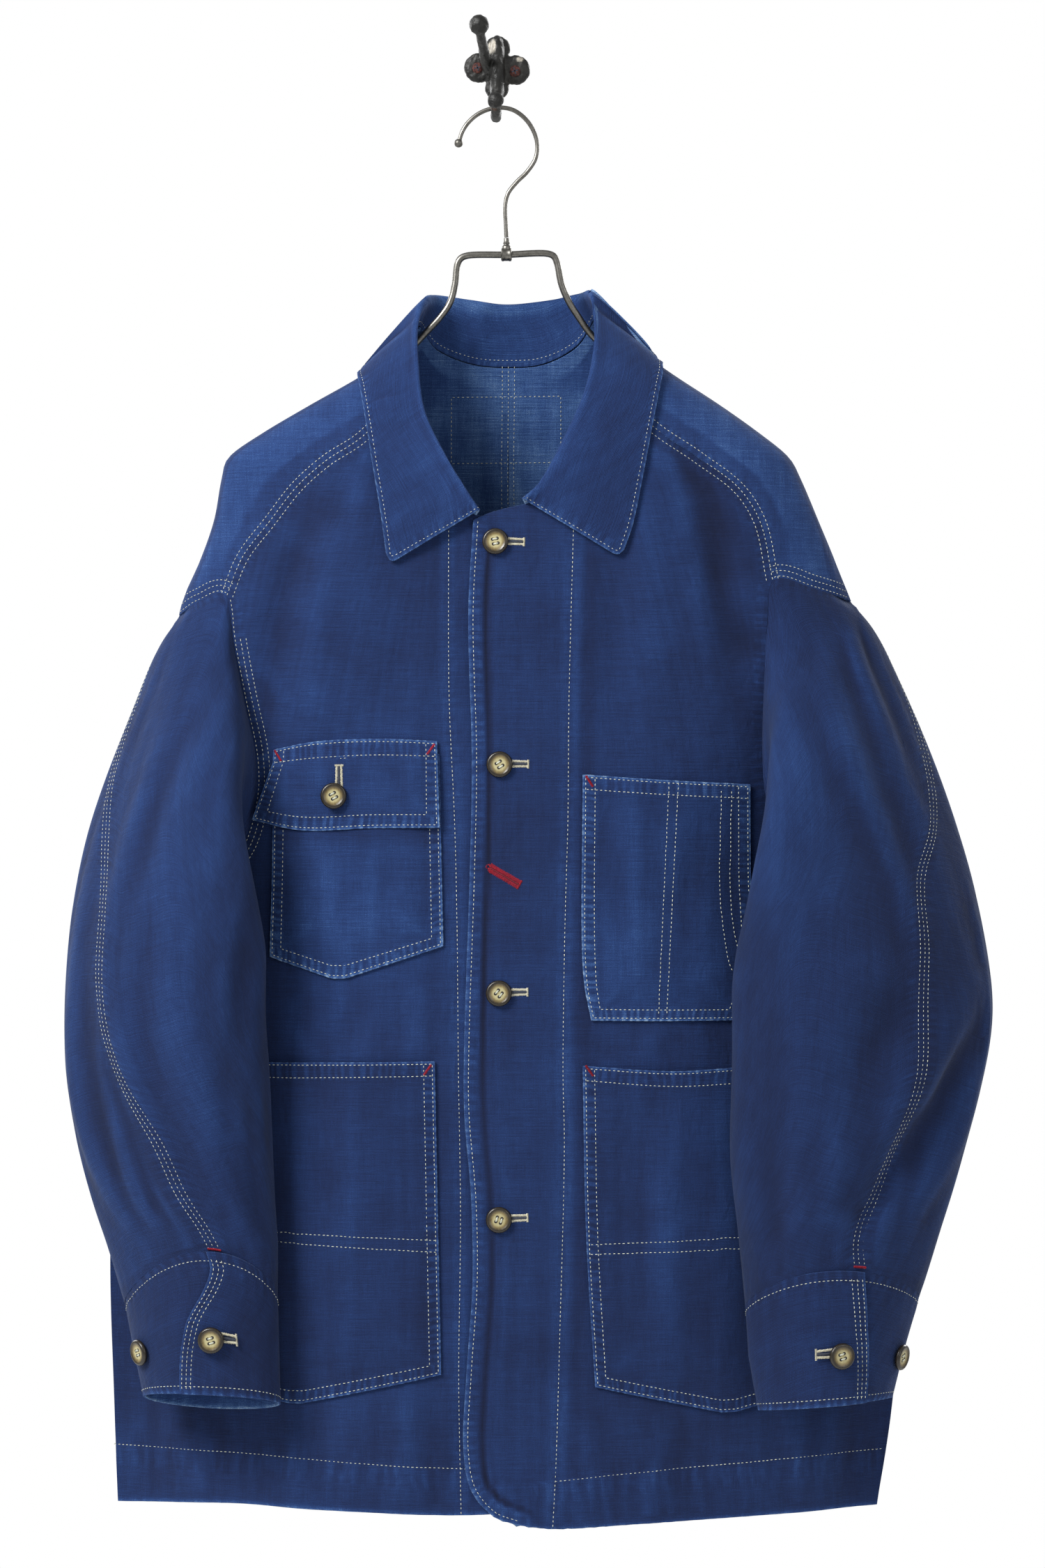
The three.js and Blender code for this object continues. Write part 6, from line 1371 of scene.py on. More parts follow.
def canvas(name, shift=0.0, seed=0.0, streak=1.0):
    """Faded indigo canvas with a slubbed crosswise rib; light where it is worn, darker in fold hollows as painted
    shade, lighter on the inner face as painted light.
    """
    k = Nodes(name, None)
    uv, ob = k.uv(), k.objco()
    large = k.noise(k.mapped(ob, (6, 6, 5), (seed, 0, seed)), 1, 3, 0.5, 0.3)
    mid = k.noise(k.mapped(ob, (30, 30, 26), (0, seed, 1)), 1, 4, 0.6, 0.4)
    slub = k.noise(k.mapped(uv, (26, 1020, 1), (seed * 3, 0, 0)), 1, 3, 0.6)
    slub2 = k.noise(k.mapped(uv, (110, 2000, 1), (0, seed, 0)), 1, 2, 0.6)
    warp = k.noise(k.mapped(uv, (1500, 70, 1), (seed, seed, 0)), 1, 2, 0.5)
    long_warp = k.noise(k.mapped(uv, (130, 5, 1), (seed, 4, 0)), 1, 3, 0.5)
    speck = k.noise(k.mapped(uv, (1700, 1700, 1)), 1, 2, 0.5)
    sep = k.t.nodes.new("ShaderNodeSeparateXYZ")
    k.link(uv, sep.inputs[0])
    rib = k.math("SINE", k.math("ADD", k.math("MULTIPLY", sep.outputs[1], 2 * math.pi / 0.00098), k.math("MULTIPLY", slub, 5.0)))
    fade = k.math("ADD", 0.40 + shift, k.math("MULTIPLY", k.math("SUBTRACT", large, 0.5), 0.30))
    for value, amount in ((mid, 0.24), (slub, 0.24 * streak), (slub2, 0.20 * streak), (warp, 0.20), (long_warp, 0.16), (speck, 0.48)):
        fade = k.math("ADD", fade, k.math("MULTIPLY", k.math("SUBTRACT", value, 0.5), amount))
    fade = k.math("ADD", fade, k.math("MULTIPLY", rib, 0.045))
    worn = k.attr("worn")
    # fold relief: ridges lighter as rubbed wear, hollows darker as painted shade
    fade = k.math("ADD", fade, k.math("MULTIPLY", k.range(worn, -0.7, 0.7, -1, 1), 0.12))
    chip = k.noise(k.mapped(ob, (240, 240, 240)), 1, 3, 0.7)
    rim = k.attr("rim")
    fade = k.math("ADD", fade, k.math("MULTIPLY", k.math("MULTIPLY", rim, k.math("ADD", chip, 0.1)), 0.46))
    band, run, off = k.attr("band"), k.attr("run"), k.attr("off")
    sway = k.noise(k.combine(k.math("MULTIPLY", run, 0.09), 0.0, seed), 1, 2, 0.5)
    lean = k.noise(k.combine(k.math("MULTIPLY", run, 0.05), k.math("MULTIPLY", off, 0.08), seed + 2), 1, 2, 0.5)
    dash = k.math("SINE", k.math("ADD", k.math("MULTIPLY", run, 2 * math.pi / 4.6), k.math("MULTIPLY", k.math("ADD", sway, k.math("MULTIPLY", lean, 0.35)), 16.0)))
    dash = k.range(dash, -0.6, 1.0, -0.30, 0.62, True)
    amount = k.range(k.noise(k.combine(k.math("MULTIPLY", run, 0.16), k.math("MULTIPLY", off, 0.12), seed + 5), 1, 2, 0.6), 0.3, 0.7, 0.25, 1.0)
    fade = k.math("ADD", fade, k.math("MULTIPLY", k.math("MULTIPLY", band, dash), k.math("MULTIPLY", amount, 0.42)))
    fade = k.math("ADD", fade, k.math("MULTIPLY", band, 0.02))
    fade = k.math("ADD", fade, k.attr("shade"))
    # painted light: the inner face is made brighter to lift the shade it lies in
    inside = k.attr("inside")
    fade = k.math("ADD", fade, k.math("MULTIPLY", inside, 0.30))
    k.link(k.ramp(fade, INDIGO), k.bsdf.inputs["Base Color"])
    k.bsdf.inputs["Roughness"].default_value = 0.92
    k.bsdf.inputs["Specular IOR Level"].default_value = 0.22
    k.bsdf.inputs["Sheen Weight"].default_value = 0.06
    k.bsdf.inputs["Sheen Roughness"].default_value = 0.5
    k.bsdf.inputs["Sheen Tint"].default_value = (0.55, 0.68, 0.9, 1)
    fine = k.math("ADD", k.math("MULTIPLY", slub, 0.7), k.math("ADD", k.math("MULTIPLY", warp, 0.3), k.math("ADD", k.math("MULTIPLY", slub2, 0.4), k.math("MULTIPLY", rib, 0.12))))
    weave = k.bump(fine, 0.00045, 0.8)
    crumple = k.noise(k.mapped(ob, (95, 95, 60), (seed, 1, 2)), 1, 3, 0.5, 0.6)
    k.link(k.bump(crumple, 0.0012, 0.7, weave), k.bsdf.inputs["Normal"])
    return k.mat


def plain(name, colour, rough=0.6, metal=0.0, spec=0.5):
    k = Nodes(name, None)
    k.bsdf.inputs["Base Color"].default_value = rgb(colour)
    k.bsdf.inputs["Roughness"].default_value = rough
    k.bsdf.inputs["Metallic"].default_value = metal
    k.bsdf.inputs["Specular IOR Level"].default_value = spec
    return k


def thread_mat(name, colour, dark, rough=0.75):
    k = plain(name, colour, rough)
    n = k.noise(k.mapped(k.objco(), (900, 900, 900)), 1, 3, 0.6)
    w = k.noise(k.mapped(k.objco(), (60, 60, 60)), 1, 3, 0.6)
    k.link(k.ramp(k.math("ADD", k.math("MULTIPLY", n, 0.6), k.math("MULTIPLY", w, 0.4)), [(0.32, dark), (0.62, colour)]), k.bsdf.inputs["Base Color"])
    k.link(k.bump(n, 0.0002, 0.6), k.bsdf.inputs["Normal"])
    return k.mat


def horn_mat():
    k = plain("horn", (190, 180, 138), 0.3)
    ob = k.objco()
    n = k.noise(k.mapped(ob, (420, 420, 200)), 1, 4, 0.62, 1.2)
    m = k.noise(k.mapped(ob, (90, 90, 60)), 1, 3, 0.6, 0.8)
    depth = k.attr("rimdark")
    v = k.math("ADD", k.math("MULTIPLY", n, 0.22), k.math("ADD", k.math("MULTIPLY", m, 0.2), 0.52))
    v = k.math("SUBTRACT", v, k.math("MULTIPLY", depth, 1.06))
    k.link(k.ramp(v, [(0.0, (30, 24, 14)), (0.22, (58, 48, 28)), (0.42, (112, 98, 62)), (0.60, (144, 134, 96)), (0.80, (172, 165, 126))]), k.bsdf.inputs["Base Color"])
    k.link(k.range(n, 0.3, 0.7, 0.22, 0.4), k.bsdf.inputs["Roughness"])
    k.link(k.bump(n, 0.0002, 0.4), k.bsdf.inputs["Normal"])
    return k.mat


def nickel_mat():
    k = plain("nickel", (158, 148, 134), 0.34, 1.0)
    ob = k.objco()
    n = k.noise(k.mapped(ob, (420, 420, 420)), 1, 4, 0.7)
    m = k.noise(k.mapped(ob, (70, 70, 70)), 1, 4, 0.7)
    k.link(k.ramp(k.math("ADD", k.math("MULTIPLY", n, 0.45), k.math("MULTIPLY", m, 0.55)), [(0.30, (78, 76, 72)), (0.5, (110, 108, 103)), (0.7, (138, 136, 131))]), k.bsdf.inputs["Base Color"])
    k.link(k.range(m, 0.3, 0.7, 0.5, 0.28), k.bsdf.inputs["Roughness"])
    k.link(k.bump(n, 0.0001, 0.3), k.bsdf.inputs["Normal"])
    return k.mat


def iron_mat():
    k = plain("iron", (32, 32, 29), 0.5, 0.25)
    ob = k.objco()
    n = k.noise(k.mapped(ob, (260, 260, 260)), 1, 5, 0.65)
    m = k.noise(k.mapped(ob, (48, 48, 48), (3, 1, 5)), 1, 4, 0.65)
    v = k.math("ADD", k.math("MULTIPLY", n, 0.35), k.math("MULTIPLY", m, 0.65))
    base = k.ramp(v, [(0.30, (8, 8, 8)), (0.50, (18, 18, 16)), (0.62, (34, 33, 30)), (0.76, (76, 72, 64))])
    worn = k.attr("bare")
    grey = k.ramp(n, [(0.3, (120, 114, 104)), (0.7, (178, 172, 160))])
    col = k.mix(k.range(k.math("MULTIPLY", worn, k.math("ADD", n, 0.5)), 0.35, 0.75, 0, 1, True), base, grey)
    rust = k.attr("rust")
    brown = k.ramp(n, [(0.3, (70, 44, 30)), (0.7, (128, 86, 58))])
    k.link(k.mix(k.range(k.math("MULTIPLY", rust, k.math("ADD", m, 0.5)), 0.4, 0.8, 0, 1, True), col, brown), k.bsdf.inputs["Base Color"])
    k.link(k.range(n, 0.3, 0.7, 0.32, 0.66), k.bsdf.inputs["Roughness"])
    k.link(k.bump(n, 0.0010, 0.6, k.bump(m, 0.002, 0.35)), k.bsdf.inputs["Normal"])
    return k.mat


def rust_mat():
    k = plain("screw_rust", (112, 66, 46), 0.8, 0.25)
    n = k.noise(k.mapped(k.objco(), (600, 600, 600)), 1, 4, 0.7)
    k.link(k.ramp(n, [(0.35, (30, 14, 12)), (0.5, (62, 28, 24)), (0.65, (104, 62, 54))]), k.bsdf.inputs["Base Color"])
    k.link(k.bump(n, 0.0004, 0.7), k.bsdf.inputs["Normal"])
    return k.mat


def floor_mat():
    k = plain("studio_floor", (226, 226, 224), 0.9)
    n = k.noise(k.mapped(k.objco(), (3, 3, 3)), 1, 2, 0.5)
    k.link(k.ramp(n, [(0.3, (222, 222, 220)), (0.7, (232, 232, 230))]), k.bsdf.inputs["Base Color"])
    return k.mat


MAT = {
    "front_left": canvas("canvas_front_left", -0.04, 0.7), "front_right": canvas("canvas_front_right", -0.025, 3.1),
    "back_left": canvas("canvas_back_left", 0.0, 5.3), "back_right": canvas("canvas_back_right", 0.0, 8.9),
    "sleeve_left": canvas("canvas_sleeve_left", -0.09, 12.1), "sleeve_right": canvas("canvas_sleeve_right", -0.07, 15.7),
    "collar": canvas("canvas_collar", 0.03, 19.3), "pocket_a": canvas("canvas_pocket_chest", 0.04, 23.3), "pocket_b": canvas("canvas_pocket_lower", -0.065, 27.9),
    "pocket_c": canvas("canvas_pocket_lower_left", -0.10, 31.3), "flap": canvas("canvas_flap", 0.02, 35.3), "cuff": canvas("canvas_cuff", -0.10, 39.1), "trim": canvas("canvas_trim", -0.02, 43.7),
    # the dark brown here caps the button holes as painted shade
    "thread": thread_mat("thread_ecru", (212, 214, 198), (156, 162, 150)), "buttonhole": thread_mat("thread_buttonhole", (226, 222, 200), (184, 176, 148)), "pit": thread_mat("button_pit", (34, 27, 20), (14, 10, 8)),
    # the darkest two colours here fill buttonhole slits and screw slots with painted shade
    "red": thread_mat("thread_red", (172, 20, 46), (118, 12, 32)), "red_dark": thread_mat("thread_red_shade", (104, 10, 26), (70, 8, 20)), "navy": thread_mat("thread_dark", (46, 52, 66), (18, 22, 34)),
    "horn": horn_mat(), "nickel": nickel_mat(), "iron": iron_mat(), "rust": rust_mat(), "floor": floor_mat(),
}

# ---------------------------------------------------------------- the cloth pieces
THREAD = {"body": Thread(), "pockets": Thread(), "sleeves": Thread(), "collar": Thread(), "back": Thread()}
MADE = {}
SIDE_EDGE = {}


def finish_piece(ob, mat, slot_name):
    ob.data.materials.clear()
    ob.data.materials.append(MAT[mat])
    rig.ride(ob, "root")
    if slot_name:
        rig.slot(ob, slot_name)
    MADE[ob.name] = ob
    return ob


def front_bands(name, x, z):
    b = Bands(x.shape)
    d, s = distance_to(HEM_STITCH[name].p, x, z)
    b.add(-d, s * 0.5, -1.0, 15.0, 0.30)
    d, s = distance_to(FACING_LINE[name].p, x, z)
    b.add(np.abs(d), s * 0.6, -1, 4.5, 0.16)
    e, t = distance_to(EDGE_LINE[name].p, x, z)
    b.add(np.abs(e), t * 0.6, -1, 9.0, 0.42)
    q, r = distance_to(SHOULDER_LINE[name].p, x, z)
    b.add(np.abs(q), r * 0.7 + 200, -1, 8.0, 0.42)
    turn = np.linspace(180, 45, 90)
    line = armhole(name, turn)[:, [0, 2]]
    q, r = distance_to(line, x, z)
    b.add(np.abs(q), r * 0.7 + 400, -1, 8.0, 0.40)
    return b


shade_l = [(118, -240, 158, -380, 8, 12, 22, -0.10), (60, -360, 64, -960, 1, 7, 9, 0.08), (51, -330, 40, -1000, 4, 3.5, 3.5, 0.12)]
for name in ("left", "right"):
    g = front_grid(name, 94, 212)
    x, z = g[..., 0], g[..., 2]
    bands = front_bands(name, x, z)
    extra = bands.floats()
    hem_d, _ = distance_to(HEM_EDGE[name].p, x, z)
    edge_d, _ = distance_to(EDGE_LINE[name].p, x, z)
    extra["rim"] = np.maximum(np.exp(-np.abs(hem_d) / 1.3), 0.8 * np.exp(-np.abs(edge_d) / 1.2))
    if name == "left":
        fd, fs = distance_to(FACING_LINE[name].p, x, z)
        ed = np.abs(edge_d)
        tall = smooth(-1000, -975, z) * (1 - smooth(-345, -335, z))
        extra["shade"] = (-0.34 * np.exp(-(((ed - 11.6) / 1.5) ** 2)) * tall + 0.05 * (1 - smooth(9, 11, ed)) + 0.09 * np.exp(-(((np.abs(fd) - 3.2) / 3.0) ** 2)) * tall
                          - 0.10 * np.exp(-(((fd - 14.0) / 5.0) ** 2)) * tall * smooth(-900, -840, z) + fine_folds([(118, -240, 158, -380, 8, 12, 22, -0.10)], x, z))
    else:
        fd, fs = distance_to(FACING_LINE[name].p, x, z)
        extra["shade"] = 0.09 * np.exp(-(((np.abs(fd) - 2.8) / 2.6) ** 2)) + fine_folds([(-10, -350, -8, -960, 1, 9, 9, 0.04)], x, z)
    u0 = g[:, :1, 0]
    uv = np.stack([(u0 + arc_u(g)) if name == "left" else (u0 - arc_u(g)), z], -1)
    ob = shell("front_" + name + "_cloth", g, outward=1 if name == "left" else -1, uv=uv, floats=extra)
    finish_piece(ob, "front_" + name, "body_canvas")
    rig.replaces(ob, "front_" + name)
    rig.sheet(ob, flat=(0.30, 0.80), area=0.19 if name == "left" else 0.173, held="hung", rests_on=["hanger_frame"])
    SIDE_EDGE[name] = [g[:int(0.60 * len(g)), -1 if np.abs(g[:, -1, 0] - CENTRE_X).mean() > np.abs(g[:, 0, 0] - CENTRE_X).mean() else 0]]

for name in ("left", "right"):
    g, strip = back_grid(name, 64, 156, 10)
    x, z = g[..., 0], g[..., 2]
    b = Bands(x.shape)
    d, s = distance_to(HEM_STITCH["back_" + name].p, x, z)
    b.add(-d, s * 0.5, -1.0, 15.0, 0.30)
    b.add(np.abs(x - CENTRE_X), z, -1, 7, 0.4)
    turn = np.linspace(180, 359.9, 120)
    q, r = distance_to(armhole(name, turn)[:, [0, 2]], x, z)
    b.add(np.abs(q), r * 0.7 + 400, -1, 8.0, 0.40)
    extra = b.floats()
    hem_d, _ = distance_to(HEM_EDGE["back_" + name].p, x, z)
    extra["rim"] = np.exp(-np.abs(hem_d) / 1.3)
    extra["shade"] = 0 * x
    face = -1 if name == "left" else 1
    uv = np.stack([x[:, :1] + arc_u(g) * (1 if name == "left" else -1), z], -1)
    whole = shell_arrays(g, outward=face, uv=uv, floats=extra)
    sb = Bands(strip[..., 0].shape)
    q, r = distance_to(SHOULDER_LINE[name].p, strip[..., 0], strip[..., 2])
    sb.add(np.abs(q), r * 0.7 + 200, -1, 8.0, 0.42)
    e2 = sb.floats()
    e2["rim"], e2["shade"] = np.zeros(strip.shape[:2]), np.full(strip.shape[:2], 0.05)
    uv2 = np.stack([strip[..., 0], strip[..., 2] + 40], -1)
    top = shell_arrays(strip, outward=face, uv=uv2, floats=e2)
    v = np.concatenate([whole[0], top[0]])
    f = np.concatenate([whole[1], top[1] + len(whole[0])])
    u = np.concatenate([whole[2], top[2]])
    a = {k: np.concatenate([whole[3][k], top[3][k]]) for k in whole[3]}
    ob = make_mesh("back_" + name + "_cloth", v, f, u, a, sharp=60)
    finish_piece(ob, "back_" + name, "body_canvas")
    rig.replaces(ob, "back_" + name)
    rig.sheet(ob, flat=(0.30, 0.84), area=0.205, held="hung", rests_on=["hanger_frame"])
    SIDE_EDGE[name].append(g[:int(0.53 * len(g)), -1 if np.abs(g[:, -1, 0] - CENTRE_X).mean() > np.abs(g[:, 0, 0] - CENTRE_X).mean() else 0])

# the felled side seams, seen from the side between front and back
for name in ("left", "right"):
    front_edge, back_edge = SIDE_EDGE[name]
    zs = np.linspace(max(front_edge[:, 2].min(), back_edge[:, 2].min()) + 0.6, min(front_edge[:, 2].max(), back_edge[:, 2].max()), 120)
    pair = []
    for e in (front_edge, back_edge):
        order = np.argsort(e[:, 2])
        pair.append(np.stack([np.interp(zs, e[order, 2], e[order, 0]), np.interp(zs, e[order, 2], e[order, 1])], -1))
    w = np.linspace(0, 1, 7)[None]
    y = (pair[0][:, 1:] + 0.5) * (1 - w) + (pair[1][:, 1:] - 0.5) * w
    x = pair[0][:, :1] * (1 - w) + pair[1][:, :1] * w - (0.5 if name == "left" else -0.5)
    strip = np.stack([x, y, np.repeat(zs[:, None], 7, 1)], -1)
    b = Bands(x.shape)
    b.add(np.abs(y - y.mean(1, keepdims=True)), strip[..., 2], -1, 3.0, 0.2)
    extra = b.floats()
    extra["rim"], extra["shade"] = np.zeros(x.shape), np.full(x.shape, -0.04)
    ob = shell("side_seam_" + name + "_felled", strip, outward=1 if name == "left" else -1, uv=np.stack([y, strip[..., 2]], -1), floats=extra)
    finish_piece(ob, "back_" + name, "body_canvas")

# sleeves
for name in ("left", "right"):
    for which, cols in (("top", 128), ("under", 50)):
        g, turn, at = sleeve_grid(name, which, cols, 150)
        b = Bands(at.shape)
        seam = seam_turn(name, at)
        mean = 0.9
        d1 = (turn - seam) * mean if which == "top" else (360 + seam - turn) * mean
        run = arc_v(g)
        b.add(np.abs(d1), run * 0.7, -1, 7.0, 0.36)
        d2 = np.abs(turn - 247.5) * mean
        b.add(d2, run * 0.7 + 90, -1, 7.0, 0.36)
        cap = run
        b.add(cap, arc_u(g) * 0.7, -1, 7.0, 0.36)
        extra = b.floats()
        extra["rim"] = np.zeros(at.shape)
        front = np.mod(turn + 40, 360) - 40
        extra["shade"] = -0.05 * smooth(100, 150, front) * (front < 240)
        uv = np.stack([arc_u(g), -run], -1)
        face = 1 if name == "left" else -1
        ob = shell("sleeve_" + which + "_" + name + "_cloth", g, outward=face, uv=uv, floats=extra)
        finish_piece(ob, "sleeve_" + name, "body_canvas")
        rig.replaces(ob, "sleeve_" + which + "_" + name)
        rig.sheet(ob, flat=(0.27, 0.56) if which == "top" else (0.11, 0.54), area={"left": 0.115, "right": 0.095}[name] if which == "top" else 0.046, held="hung", rests_on=["hanger_frame"])

# cuffs: the worked edge sways as it hangs
EDGE_SWAY = {"right": ((0, 0.11, 0.27, 0.47, 0.70, 0.92, 1.0), (16, 19, 14, 3, -6, -11, -12)), "left": ((0, 0.3, 0.7, 1.0), (16, 12, 7, 5))}


def cuff_edge(name, w):
    slit = CUFF_SLIT[name]
    ws, shifts = EDGE_SWAY[name]
    return slit["start"] - slit["overlap"] + hermite(np.array(ws, float), np.array(shifts, float), np.asarray(w, float))


def cuff_turn(name, w, u):
    first = cuff_edge(name, w)
    return first + (CUFF_SLIT[name]["start"] + 360 + 8 * (1 - np.asarray(w, float)) - first) * u


for name in ("left", "right"):
    U, W = np.linspace(0, 1, 151), np.linspace(0, 1, 31)
    out = (CLOTH + 0.75) * (1 - smooth(0, 0.16, U))
    UU, WW = np.meshgrid(U, W)
    T = cuff_turn(name, WW, UU)
    OO = np.repeat(out[None], len(W), 0)
    pucker = 0.35 * ripple(T, 12.0, 1.0 if name == "left" else 3.0) * (1 - smooth(0.0, 0.35, WW)) + 0.22 * ripple(T, 15.0, 4.0) * smooth(0.7, 1.0, WW)
    g = cuff_point(name, WW, T, OO + pucker)
    g[..., 2] = g[..., 2] + 1.6 * (1 - smooth(0.0, 0.12, WW))
    b = Bands(T.shape)
    run = arc_u(g)
    depth = arc_v(g)
    total = depth[-1:]
    b.add(depth, run * 0.6, -1, 9.0, 0.45)
    b.add(total - depth, run * 0.7 + 50, -1, 6.0, 0.6)
    b.add(run, depth * 0.7, -1, 9.0, 0.4)
    extra = b.floats()
    extra["rim"] = np.maximum(np.exp(-(total - depth) / 1.4), np.exp(-run / 1.4))
    extra["shade"] = np.zeros(T.shape)
    ob = shell("cuff_" + name + "_cloth", g, outward=1 if name == "left" else -1, uv=np.stack([run, -depth], -1), floats=extra)
    finish_piece(ob, "cuff", "trim_canvas")
    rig.replaces(ob, "cuff_" + name)
    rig.sheet(ob, flat=(0.29, 0.066), held="hung", rests_on=["sleeve_top_" + name])

COLLAR_FACE = -1
# collar
S, T, L, par = collar_grid(300, 44)
lens = np.concatenate([np.zeros((L.shape[0], 1)), np.cumsum(np.linalg.norm(np.diff(L, axis=1), axis=-1), 1)], 1)
COLLAR_W = lens[:, -1]
along = np.concatenate([[0], np.cumsum(np.linalg.norm(np.diff(L[:, 70], axis=0), axis=1))])


EVEN = np.linspace(0, 1, 181)
EVEN_LINES = np.stack([np.stack([np.interp(EVEN * COLLAR_W[r], lens[r], L[r, :, k]) for k in range(3)], -1) for r in range(L.shape[0])])


def collar_at(rowf, share):
    """A point of the collar by row and share of the width from the neck seam."""
    rowf, share = np.broadcast_arrays(np.asarray(rowf, float), np.asarray(share, float))
    return sample_grid(EVEN_LINES, rowf, share * 180)


UA, UB = np.linspace(0, 1, 301), np.linspace(0, 1, 45)
# rounded ends: near the outer edge the ends draw in, as the corner of the leaf does
A, B = np.meshgrid(UA, UB, indexing="ij")
lenA = along[-1]
corner = 7.0
width_end = 0.5 * (COLLAR_W[0] + COLLAR_W[-1])
to_edge = (1 - B) * width_end
draw = np.where(to_edge < corner, corner - np.sqrt(np.maximum(0, corner**2 - (corner - to_edge) ** 2)), 0)
share_draw = draw / lenA
A2 = A * (1 - 2 * share_draw) + share_draw
gc = collar_at(A2 * (len(S) - 1), B)
run_c, wid_c = arc_v(gc), arc_u(gc)
n_c = grid_normals(gc)
wave = 0.35 * ripple(run_c, 46.0, 1.0) * smooth(0.55, 1.0, B)
edge_c = wid_c[:, -1:] - wid_c
end_c = np.minimum(run_c, run_c[-1:] - run_c)
b = Bands(A.shape)
b.add(edge_c, run_c * 0.7, -1, 8.0, 0.5)
b.add(end_c, wid_c * 0.7, -1, 8.0, 0.5)
b.add(wid_c, run_c * 0.8, -1, 4.0, 0.4)
extra = b.floats()
roll = np.exp(-(((B - 0.42) / 0.10) ** 2))
extra["rim"] = np.maximum(np.exp(-edge_c / 1.1), np.exp(-end_c / 1.1)) * 0.9
extra["shade"] = 0.05 * roll - 0.04 + 0.13 * (1 - smooth(0.30, 0.42, B)) * smooth(0.25, 0.4, A) * (1 - smooth(0.6, 0.75, A))
ob = shell("collar_cloth", gc, outward=COLLAR_FACE if "COLLAR_FACE" in globals() else 1, uv=np.stack([run_c, wid_c], -1), floats=extra)
finish_piece(ob, "collar", "collar_canvas")
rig.replaces(ob, "collar")
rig.sheet(ob, flat=(0.44, 0.115), area=0.045, held="folded", rests_on=["back_left_cloth", "back_right_cloth"])

# ---------------------------------------------------------------- sewn patches
def px(points, y=-100.0):
    s = (3000 + y) / 6170.2
    return [(18 + (a - 750) * s, -500 - (b - 1125) * s) for a, b in points]


PATCH_CREASES = {
    "chest_pocket_right": [(-120, -540, -112, -620, 3, 8, 10, 0.9), (-66, -535, -74, -612, -3, 8, 10, -0.8)],
    "chest_pocket_left": [(90, -510, 96, -640, 3, 9, 12, 0.9), (140, -520, 132, -650, -4, 9, 12, -0.9), (70, -560, 74, -650, 2, 6, 8, 0.6)],
    "lower_pocket_right": [(-196, -700, -186, -830, 5, 10, 14, 1.4), (-150, -705, -140, -900, -6, 12, 15, -1.3), (-96, -700, -104, -905, 5, 11, 14, 1.3), (-62, -720, -58, -880, -3, 8, 10, -0.8), (-210, -760, -204, -890, 3, 8, 10, -1.2)],
    "lower_pocket_left": [(84, -705, 90, -900, 4, 9, 13, -1.0), (124, -700, 118, -910, -5, 11, 14, 1.3), (168, -705, 176, -900, 5, 11, 14, -1.3), (212, -700, 204, -890, -4, 9, 13, 1.2)],
    "chest_flap_right": [(-120, -476, -126, -526, 2, 8, 10, 0.8), (-66, -474, -62, -526, -2, 8, 10, -0.7)],
}
PATCH_MAT = {"chest_pocket_right": "pocket_a", "chest_pocket_left": "pocket_a", "lower_pocket_right": "pocket_c", "lower_pocket_left": "pocket_b", "chest_flap_right": "flap"}
PATCH_FLAT = {"chest_pocket_right": (0.118, 0.153), "chest_pocket_left": (0.115, 0.166), "lower_pocket_right": (0.19, 0.233), "lower_pocket_left": (0.19, 0.234), "chest_flap_right": (0.13, 0.062)}
PATCH_CELLS = {"chest_pocket_right": (50, 64), "chest_pocket_left": (50, 72), "lower_pocket_right": (78, 96), "lower_pocket_left": (78, 96), "chest_flap_right": (58, 30)}


